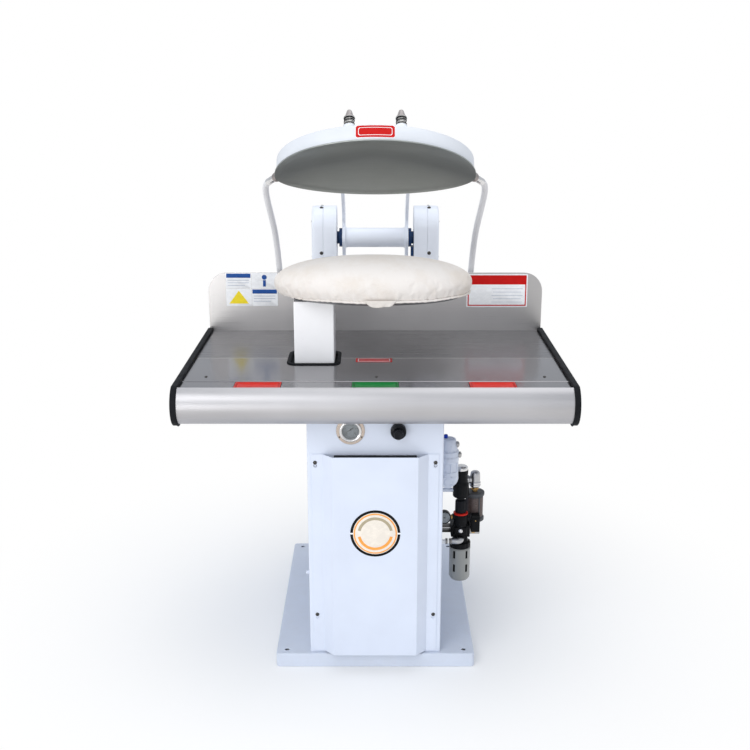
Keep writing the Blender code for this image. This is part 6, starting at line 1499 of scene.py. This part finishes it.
def make_regulator():
    """Moulded body: ribbed collar, waist with a port block, bonnet with a lock ring under the knob."""
    low = place(AIR_X, AIR_Y, BODY_LOW)
    bm = bmesh.new()
    steps = 72
    rings = []
    for radius, height, depth in ((0.0, 0.0, 0), (0.0300, 0.0, 0), (0.0335, 0.9 * MM, 0),
            (0.0340, 2 * MM, 1.1 * MM), (0.0345, 4 * MM, 1.3 * MM), (0.0345, 0.0155, 1.3 * MM),
            (0.0338, 0.0172, 0.8 * MM), (0.0315, 0.0182, 0), (0.0262, 0.0205, 0), (0.0250, 0.0255, 0),
            (0.0245, 0.0300, 0), (0.0240, 0.0900, 0), (0.0243, 0.0960, 0), (0.0245, 0.1080, 0),
            (0.0238, 0.1120, 0), (0.0225, 0.1135, 0), (0.0, 0.1135, 0)):
        ring = []
        for i in range(steps):
            angle = 2 * math.pi * i / steps
            cut = depth if i % 6 in (0, 1) else 0
            reach = max(radius - cut, 0.02 * MM)
            ring.append(Vector((reach * math.cos(angle), reach * math.sin(angle), height)))
        rings.append(ring)
    add_rings(bm, rings, low)
    add_block(bm, (0.062, 0.062, 0.040), place(AIR_X, PORT_BLOCK_Y, PORT_BLOCK_Z), 3 * MM, 4)
    add_block(bm, (0.040, 0.012, 0.030), place(AIR_X, AIR_Y - 0.0195, PORT_BLOCK_Z + 0.004), 3 * MM, 4)
    for side in (-1, 1):
        add_block(bm, (4 * MM, 0.020, 0.062), place(AIR_X + side * 0.0195, AIR_Y - 0.008,
            BODY_LOW + 0.050), 1.6 * MM)
    add_turned(bm, rounded(mm((0, 0), (11, 0), (11, 16.5), (9, 18), (0, 18)), MM),
        place(AIR_X, AIR_Y - 0.015, BODY_LOW + 0.0345, FACE_FRONT), 32)
    add_turned(bm, rounded(bar(0.0098, 0, 0.0100), MM),
        place(AIR_X - 0.0175, AIR_Y - 0.006125, FILTER_TOP + 0.106, FACE_LEFT), 32)
    add_piece("regulator_body_fine", bm, "black", replaces="regulator_body")
    bm = bmesh.new()
    wide, deep, high = 0.003, 0.060, 0.070
    reach = AIR_X - SIDE_X - GAP - 0.030
    add_block(bm, (wide, deep, high), place(SIDE_X + GAP + wide / 2, PORT_BLOCK_Y, PORT_BLOCK_Z), 0.6 * MM, 2)
    add_block(bm, (reach + 2 * MM, deep / 2, 3 * MM),
        place(SIDE_X + GAP + reach / 2 + MM, PORT_BLOCK_Y, PORT_BLOCK_Z + 0.0085), 0.6 * MM, 2)
    add_block(bm, (reach + 2 * MM, deep / 2, 3 * MM),
        place(SIDE_X + GAP + reach / 2 + MM, PORT_BLOCK_Y, PORT_BLOCK_Z - 0.0085), 0.6 * MM, 2)
    for dy in (-0.0225, 0.0225):
        for dz in (-0.0275, 0.0275):
            add_hex(bm, 4.6 * MM, 3.2 * MM, place(SIDE_X + GAP + wide, PORT_BLOCK_Y + dy, PORT_BLOCK_Z + dz,
                FACE_RIGHT))
    add_piece("regulator_bracket", bm, "dark_steel", 35)
    bm = bmesh.new()
    add_turned(bm, rounded(mm((21, 0), (23.2, 0), (24, 1.2), (24, 4.2), (22.8, 5.4), (15, 5.4)), 0.8 * MM),
        low @ place(z=0.1140), 64)
    add_block(bm, (4 * MM, 5 * MM, 0.012), place(AIR_X + 0.0320, AIR_Y - 0.004, BODY_LOW + 0.0075), MM)
    add_piece("regulator_lock_ring", bm, "red", slot="black_plastic")
    turned_piece("regulator_plug", "chrome", rounded(mm((0, 0), (7.5, 0), (7.5, 2.4), (6, 4), (3, 5.2),
        (0, 5.4)), 0.8 * MM), place(AIR_X - 0.001, AIR_Y - 0.0248, PORT_BLOCK_Z + 0.0075, FACE_FRONT), 32)


def make_regulator_knob():
    """Ten-sided grip with a domed top; it turns on its neck."""
    low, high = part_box("regulator_knob")
    base = BODY_LOW + 0.121 + GAP
    tall = high.z - base
    bm = bmesh.new()
    levels = ((0.0065, low.z - base, 0), (0.0065, -1.4 * MM, 0), (0.0170, -1.2 * MM, 0),
        (0.0182, 0.2 * MM, 0), (0.0185, 2 * MM, 0.4 * MM), (0.0185, 5 * MM, 1.4 * MM),
        (0.0182, tall - 6 * MM, 1.4 * MM), (0.0176, tall - 3 * MM, 0.9 * MM), (0.0158, tall - MM, 0),
        (0.0130, tall, 0), (0.0060, tall - 0.3 * MM, 0), (0.0002, tall - 0.3 * MM, 0))
    add_rings(bm, fluted(levels, 10, 3, 120), place(AIR_X, AIR_Y, base))
    add_piece("regulator_knob_fine", bm, "grip", body="air_knob", replaces="regulator_knob")


def make_side_gauge():
    """Small gauge facing the operator, with a plain dial, a fixed pointer and a brass stem."""
    low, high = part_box("side_gauge")
    radius = 0.0215
    z = (low.z + high.z) / 2
    matrix = place(low.x + radius, high.y, z, FACE_FRONT)
    deep = high.y - low.y
    turned_piece("side_gauge_case", "black", rounded([(0, 0), (0.0180, 0), (0.0200, 1.5 * MM),
        (0.0200, 0.55 * deep), (0.0215, 0.60 * deep), (0.0215, 0.93 * deep), (0.0208, deep), (0.0186, deep),
        (0.0184, 0.90 * deep)], 0.8 * MM) + [(0, 0.90 * deep)], matrix, 56, replaces="side_gauge")
    turned_piece("side_gauge_dial", "dial", bar(0.0182, 0.905 * deep, 0.925 * deep), matrix, 56,
        slot="black_plastic")
    bm = bmesh.new()
    add_ticks(bm, matrix @ place(z=0.926 * deep), 25, 0.0168, (2.6 * MM, 0.5 * MM),
        (1.4 * MM, 0.3 * MM), 0.1 * MM)
    pointer = matrix @ spin(160) @ place(0.0045, 0, 0.94 * deep)
    add_block(bm, (0.018, 0.8 * MM, 0.4 * MM), pointer, 0.15 * MM, 2)
    add_turned(bm, [(0, 0.926 * deep), (0.0019, 0.926 * deep), (0.0016, 0.965 * deep), (0, 0.965 * deep)],
        matrix, 20)
    add_piece("side_gauge_marks", bm, "black")
    turned_piece("side_gauge_glass", "glass", rounded([(0, 0.955 * deep), (0.0184, 0.955 * deep),
        (0.0184, 0.980 * deep), (0.0120, 0.993 * deep), (0, 0.998 * deep)], 0.2 * MM), matrix, 56)
    bm = bmesh.new()
    stem = place(low.x + radius, high.y - deep / 2, z, FACE_RIGHT)
    length = high.x - low.x - radius
    add_turned(bm, bar(0.006, 0.015, length), stem, 28)
    add_hex(bm, 8.2 * MM, 5 * MM, stem @ place(z=length - 0.0125))
    add_piece("side_gauge_stem", bm, "brass", 35)


def make_air_tube():
    """Cast elbow at the regulator, two ribbed nuts and a pale nylon tube to the column."""
    y = AIR_Y - 0.0245 + 0.006 - GAP
    z = FILTER_TOP + 0.035
    front_y = y - 0.006 - 0.018
    bm = bmesh.new()
    route = smooth_route([Vector((AIR_X, y + 0.02, z)), Vector((AIR_X, y, z)), Vector((AIR_X, y - 0.012, z)),
        Vector((AIR_X - 0.0045, front_y + 0.0045, z)), Vector((AIR_X - 0.014, front_y, z)),
        Vector((AIR_X - 0.030, front_y, z)), Vector((AIR_X - 0.05, front_y, z))], 26)
    radii = [8.4 * MM + 1.6 * MM * math.sin(math.pi * i / 25) for i in range(26)]
    add_tube(bm, route, radii, 28)
    add_turned(bm, rounded(mm((0, 0), (9.4, 0), (9.4, 2.6), (8.2, 3.6), (0, 3.6)), 0.5 * MM),
        place(AIR_X, y - 0.0055, z, FACE_FRONT), 32)
    add_piece("air_elbow", bm, "fitting", 45, replaces="air_tube")
    bm = bmesh.new()
    for start, count in ((AIR_X - 0.0300, 4), (AIR_X - 0.0440, 3)):
        for k in range(count):
            add_turned(bm, mm((0, 0), (9, 0), (10.2, 0.5), (10.2, 1.5), (9, 2), (0, 2)),
                place(start - k * 2.5 * MM, front_y, z, FACE_LEFT), 32)
    add_piece("air_nuts", bm, "steel", 35)
    turned_piece("air_line", "label_white", bar(0.0060, 0, AIR_X - 0.046 - SIDE_X - GAP),
        place(AIR_X - 0.046, front_y, z, FACE_LEFT), 28, slot="machined_steel")


def make_filter_bowl():
    """The clear bowl, black as painted shade where it shows behind the guard's slots, and two beads round the
    guard.
    """
    low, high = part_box("filter_guard")
    bm = bmesh.new()
    matrix = place(AIR_X, AIR_Y, low.z)
    add_turned(bm, rounded([(0, 4 * MM), (0.012, 4 * MM), (0.024, 8 * MM), (0.0305, 0.020), (0.0312, 0.060),
        (0.0315, high.z - low.z - 2 * MM), (0, high.z - low.z - 2 * MM)], 3 * MM), matrix, 56)
    # Partly painted shade: the bowl is real but clear; it is black here for the shade seen through the
    # guard's slots.
    add_piece("filter_bowl_painted_shade", bm, "black")
    bm = bmesh.new()
    for height in (0.1110, 0.1145):
        add_rings(bm, [circle(0.03455, height, 72), circle(0.0351, height + 0.5 * MM, 72),
            circle(0.0351, height + 1.6 * MM, 72), circle(0.03455, height + 2.1 * MM, 72),
            circle(0.0330, height + MM, 72)], matrix, closed=True)
    add_piece("filter_guard_beads", bm, "guard")


def make_pilot_valve():
    """Black moulded valve with a bright domed cap, a step and moulded ribs."""
    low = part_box("pilot_valve")[0].z
    y = FRONT_Y + 0.309
    matrix = place(AIR_X, y, low)
    bm = bmesh.new()
    add_turned(bm, rounded(mm((0, 0), (23.5, 0), (26, 3), (26, 40), (25.5, 45), (22.2, 52), (21.2, 56),
        (21.2, 76), (22.5, 79), (22.5, 93.5), (21.5, 94.5), (0, 94.5)), 2 * MM), matrix, 64)
    for k in range(5):
        turn = matrix @ spin(-170 + 40 * k)
        add_block(bm, (3 * MM, 4 * MM, 0.030), turn @ place(0.0250, 0, 0.0210), 1.2 * MM)
    add_piece("pilot_valve_body", bm, "black", replaces="pilot_valve")
    turned_piece("pilot_valve_cap", "chrome", rounded(mm((20.5, 93.5), (22.2, 94), (22.2, 98.5), (21, 103.5),
        (17, 106.5), (9, 107.8), (0, 108)), 2 * MM), matrix, 64)
    bm = bmesh.new()
    reach = AIR_X - 0.018 - SIDE_X - GAP
    add_turned(bm, rounded([(0, 0), (0.0095, 0), (0.0095, 5 * MM), (0.0068, 6 * MM), (0.0068, reach),
        (0, reach)], 0.6 * MM), place(SIDE_X + GAP, y, low + 0.0225, FACE_RIGHT), 32)
    add_piece("pilot_valve_pipe", bm, "white")


def make_solenoid():
    """Wrapped coil between two end plates, its connector, brass fittings and a head with a side arm."""
    x = AIR_X + 0.049
    y = AIR_Y + 0.045
    low = FILTER_TOP + 0.055 + 0.020 + 2 * GAP
    matrix = place(x, y, low)
    bm = bmesh.new()
    add_turned(bm, rounded(mm((0, 0), (30.5, 0), (32, 2), (32, 10.5), (30, 13), (27.5, 13.8), (27.5, 85.7),
        (30, 86.5), (32, 89), (32, 97.5), (30.5, 99.5), (0, 99.5)), MM), matrix, 72)
    for k in (-1, 1):
        add_block(bm, (5 * MM, 4 * MM, 0.0725), matrix @ spin(-118 + 55 * k) @ place(0.0280, 0, 0.0498), MM)
    add_piece("solenoid_coil_body", bm, "coil_dark", replaces="solenoid_coil")
    bm = bmesh.new()
    wrap = []
    steps = 40
    for radius, inner in ((0.0281, False), (0.0272, True)):
        for k in range(steps + 1):
            angle = math.radians(-150 + 150 * (k if not inner else steps - k) / steps)
            wrap.append((radius * math.cos(angle), radius * math.sin(angle)))
    add_rings(bm, [[Vector((px, py, z)) for px, py in wrap] for z in (0.0165, 0.0830)], matrix)
    add_piece("solenoid_wrap", bm, "coil", 35)
    bm = bmesh.new()
    clear = 0.018 + GAP
    deep = 0.018 + 0.032 - clear
    add_block(bm, (0.029, deep, 0.060), place(x, y - clear - deep / 2, low + 0.0335 - 0.030), 2.6 * MM, 4)
    add_block(bm, (0.021, 3 * MM, 0.040), place(x, y - clear - deep + 0.2 * MM, low + 0.0035), 1.2 * MM, 3)
    add_piece("solenoid_connector", bm, "black")
    bm = bmesh.new()
    add_round_screw(bm, place(x, y - clear - deep - 1.2 * MM, low + 0.014, FACE_FRONT), 2.4 * MM)
    add_turned(bm, mm((0, 99), (8.5, 99), (8.5, 103), (10.5, 104), (10.5, 109.5), (8.5, 110.5), (8.5, 115.5),
        (0, 115.5)), matrix, 32)
    add_hex(bm, 0.0125, 6 * MM, matrix @ place(z=0.1040))
    add_piece("solenoid_fittings", bm, "brass", 35)
    bm = bmesh.new()
    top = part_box("solenoid_coil")[1].z - low
    add_turned(bm, rounded([(0, 0.1140), (0.0150, 0.1150), (0.0182, 0.1190), (0.0182, 0.1330),
        (0.0165, 0.1350), (0.0165, top - 0.016), (0.0150, top - 0.006), (0.0105, top - 0.0015), (0, top)],
        3 * MM), matrix, 48)
    add_turned(bm, rounded(mm((0, 0), (11.8, 0), (11.8, 19), (14.5, 20), (14.5, 30), (0, 30)), 1.2 * MM),
        place(x, y, low + 0.1400, FACE_LEFT), 36)
    add_piece("solenoid_head", bm, "fitting", 45, slot="coil_grey")
    bm = bmesh.new()
    for lift, radius in ((0.1200, 0.0187), (0.1290, 0.0187)):
        add_rings(bm, [circle(radius, lift, 48), circle(radius, lift + 3 * MM, 48),
            circle(radius - 2 * MM, lift + 3 * MM, 48), circle(radius - 2 * MM, lift, 48)], matrix,
            closed=True)
    add_piece("solenoid_head_rings", bm, "chrome", 35, slot="machined_steel")


def make_valve_block_fittings():
    """Brass nipples between the regulator, the valve block and the coil."""
    low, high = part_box("solenoid_valve")
    middle = (low + high) / 2
    bm = bmesh.new()
    add_hex(bm, 0.0105, 5 * MM, place(low.x - 2.6 * MM, middle.y, middle.z - 0.004, FACE_RIGHT))
    add_hex(bm, 0.0090, 4 * MM, place(middle.x - 0.004, low.y - 3.6 * MM, low.z + 0.012, FACE_REAR))
    add_turned(bm, bar(5 * MM, 0, 6 * MM), place(middle.x, middle.y, low.z - 5.5 * MM), 24)
    add_piece("valve_block_nipples", bm, "brass", 35)


# Behind the table: pipe joints, cylinder fittings, pivot ends

def make_pipe_joints():
    bm = bmesh.new()
    for side in (-1, 1):
        for lift in (-4 * MM, -26 * MM):
            add_hex(bm, 0.0178, 0.010, place(side * PIPE_X, PIPE_Y, PIPE_TOP_Z + lift - 10 * MM))
    add_piece("pipe_nuts", bm, "steel", 35)


def make_cylinder_fittings():
    """Tie rods and ports for the air cylinder, in the barrel's own leaning layout."""
    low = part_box("cylinder_barrel")[0]
    foot = Vector((0, (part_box("cylinder_bracket")[1].y - 0.018), (low.z + 0.018)))
    upper = rod_eye_point()
    axis = (upper - foot).normalized()
    matrix = Matrix.Translation(foot) @ Vector((0, 0, 1)).rotation_difference(axis).to_matrix().to_4x4()
    bm = bmesh.new()
    for x in (-1, 1):
        for y in (-1, 1):
            rod = matrix @ place(x * 0.0195, y * 0.0195)
            add_turned(bm, bar(2.6 * MM, 0.062, 0.228), rod, 16)
    add_piece("cylinder_tie_rods", bm, "steel", 35, body="cylinder")
    bm = bmesh.new()
    for lift in (0.055, 0.235):
        port = matrix @ place(z=lift) @ FACE_RIGHT
        add_turned(bm, bar(5 * MM, 0.026, 0.036), port, 20)
        add_hex(bm, 7 * MM, 5 * MM, port @ place(z=0.0300))
    add_piece("cylinder_ports", bm, "brass", 35, body="cylinder")


def rod_eye_point():
    """The lever pin's centre at rest: the middle of the rod's eye."""
    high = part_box("piston_rod")[1]
    return Vector((0, high.y - 0.0215, high.z - 0.0215))


def make_pivot_ends():
    """Screws and the pivot's hole plug on the outer face of each tower cover."""
    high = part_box("tower_cover_right")[1]
    for side, name in SIDES:
        bm = bmesh.new()
        face = place(side * high.x, PIVOT.y, PIVOT.z, FACE_RIGHT if side > 0 else FACE_LEFT)
        for dy, dz in ((-0.038, -0.060), (0.038, -0.060), (-0.038, 0.060), (0.038, 0.060)):
            add_round_screw(bm, face @ place(dz, dy), 4.2 * MM)
        add_piece(f"tower_cover_screws_{name}", bm, "dark_steel", 35)
        turned_piece(f"tower_cover_plug_{name}", "black",
            rounded(mm((0, 0), (16, 0), (16.5, 1.4), (15, 2.6), (10, 2.6), (9, 1.8), (0, 1.8)), 0.5 * MM),
            face, 40, slot="painted_white")


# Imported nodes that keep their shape: their finish, and a small highlight on their edges

NODE_FINISHES = {
    # Painted shade: the base pan takes the darker copy of the column paint.
    "white_shaded_dusty": ("base_pan",),
    "white": ("column_shell", "front_cover", "rear_cover", "table_rail_front", "table_rail_rear",
              "cylinder_bracket", "deck_plate", "cylinder_barrel"),
    # Painted light: towers, tower covers and yoke take the lighter copy of the column paint.
    "white_lit_copy": ("tower_left", "tower_right", "tower_cover_left", "tower_cover_right", "yoke"),
    # Partly painted light: the post's white is lightened against the pad's shadow.
    "post_white_painted_light": ("buck_post",),
    # Painted light and shade: the table panels and the splash take shaded and lit copies of one stainless.
    "table": ("table_rear_panel",),
    "table_front": ("table_front_panel",),
    "splash": ("splash_panel",),
    "steel": ("pivot_shaft", "lever_pin", "steam_pipe_left", "steam_pipe_right", "piston_rod",
              "solenoid_valve"),
    "black": ("gauge_needle",),
    "bush": ("bush_left", "bush_right"),
    "glass": ("gauge_lens",),
    "guard": ("filter_guard",),
}
EDGE_WIDTHS = {
    1.6 * MM: ("base_pan",),
    1.2 * MM: ("column_shell", "buck_post", "tower_left", "tower_right", "tower_cover_left",
               "tower_cover_right", "yoke"),
    0.8 * MM: ("front_cover", "deck_plate", "splash_panel", "cylinder_bracket", "solenoid_valve",
               "table_rail_front", "table_rail_rear"),
    0.6 * MM: ("rear_cover",),
    0.5 * MM: ("table_front_panel", "table_rear_panel"),
    0.3 * MM: ("filter_guard",),
}


def add_highlight(node, width):
    """Rounds a node's edges a little, so that they catch the light."""
    weld = node.modifiers.new("weld", "WELD")
    weld.merge_threshold = 0.01 * MM
    bevel = node.modifiers.new("edges", "BEVEL")
    bevel.width = width
    bevel.segments = 2
    bevel.limit_method = "ANGLE"
    bevel.angle_limit = math.radians(35)
    bevel.use_clamp_overlap = True
    normals = node.modifiers.new("normals", "WEIGHTED_NORMAL")
    normals.keep_sharp = False
    normals.weight = 60


def dress_nodes():
    for material, names in NODE_FINISHES.items():
        for name in names:
            for slot in bpy.data.objects[name].material_slots:
                slot.link = "OBJECT"
                slot.material = M[material]
    for width, names in EDGE_WIDTHS.items():
        for name in names:
            add_highlight(bpy.data.objects[name], width)


# Studio

def area_light(name, place_at, aim, size, watts):
    light = bpy.data.lights.new(name, "AREA")
    light.shape = "RECTANGLE"
    light.size, light.size_y = size
    light.energy = watts
    holder = bpy.data.objects.new(name, light)
    holder.location = place_at
    holder.rotation_euler = (Vector(aim) - Vector(place_at)).to_track_quat("-Z", "Y").to_euler()
    bpy.context.scene.collection.objects.link(holder)
    return holder


def mix_shaders(tree, output_kind, share, first, second):
    """Ends a tree in a mix of two shader nodes."""
    mixed = add_node(tree, "MixShader", Fac=share)
    tree.links.new(first.outputs[0], mixed.inputs[1])
    tree.links.new(second.outputs[0], mixed.inputs[2])
    add_node(tree, output_kind, Surface=mixed.outputs["Shader"])


FLOOR_COLOUR = (0.97, 0.97, 0.97, 1)
FLOOR_FADE_START = 0.20
FLOOR_FADE_END = 1.5
SKY_COLOUR = (0.90, 0.94, 1.0, 1)
SKY_STRENGTH = 0.72
PURE_WHITE = (1, 1, 1, 1)


def make_floor():
    """Pale floor that runs out into plain white well away from the object."""
    bm = bmesh.new()
    bmesh.ops.create_grid(bm, x_segments=8, y_segments=8, size=14)
    mesh = bpy.data.meshes.new("floor")
    bm.to_mesh(mesh)
    bm.free()
    floor = bpy.data.objects.new("floor", mesh)
    bpy.context.scene.collection.objects.link(floor)
    material = bpy.data.materials.new("floor_white")
    material.use_nodes = True
    tree = material.node_tree
    tree.nodes.clear()
    reach = add_node(tree, "VectorMath")
    reach.operation = "LENGTH"
    tree.links.new(add_node(tree, "TexCoord").outputs["Object"], reach.inputs[0])
    fade = add_node(tree, "MapRange", Value=reach.outputs["Value"], From_Min=FLOOR_FADE_START,
        From_Max=FLOOR_FADE_END)
    fade.interpolation_type = "SMOOTHSTEP"
    mix_shaders(tree, "OutputMaterial", fade.outputs["Result"],
        add_node(tree, "BsdfDiffuse", Color=FLOOR_COLOUR),
        add_node(tree, "Emission", Color=PURE_WHITE, Strength=1.0))
    mesh.materials.append(material)
    return floor


def make_world():
    """Soft bluish light all round; the camera sees plain white."""
    world = bpy.data.worlds.new("studio")
    bpy.context.scene.world = world
    world.use_nodes = True
    tree = world.node_tree
    tree.nodes.clear()
    mix_shaders(tree, "OutputWorld", add_node(tree, "LightPath").outputs["Is Camera Ray"],
        add_node(tree, "Background", Color=SKY_COLOUR, Strength=SKY_STRENGTH),
        add_node(tree, "Background", Color=PURE_WHITE, Strength=1.0))


def make_studio():
    make_world()
    floor = make_floor()
    key = area_light("key", (-1.6, -2.9, 3.7), (0, 0, 0.95), (2.6, 2.2), 52)
    top = area_light("top", (0.5, 0.3, 4.2), (0, 0, 0.8), (3.0, 3.0), 34)
    fill = area_light("fill", (-2.0, -4.3, 0.75), (0, 0, 0.9), (1.8, 1.3), 38)
    front = area_light("front", (0.5, -4.5, 2.3), (0, 0.3, 1.15), (1.4, 1.4), 8)
    bpy.context.scene.view_settings.view_transform = "Standard"


make_camera()
make_hoses()
make_pad()
make_casting()
make_head_plate()
make_head_shell()
make_rim_label()
make_head_bolts()
make_unions()
make_nose()
make_end_trims()
make_slot_edging()
make_table_lines()
make_push_seals()
make_push_plates()
make_splash_plates()
make_badge()
make_screws()
make_gauge()
make_panel_knob()
make_steam_valve()
make_regulator()
make_regulator_knob()
make_side_gauge()
make_air_tube()
make_filter_bowl()
make_pilot_valve()
make_solenoid()
make_valve_block_fittings()
make_pipe_joints()
make_cylinder_fittings()
make_pivot_ends()
dress_nodes()
make_studio()
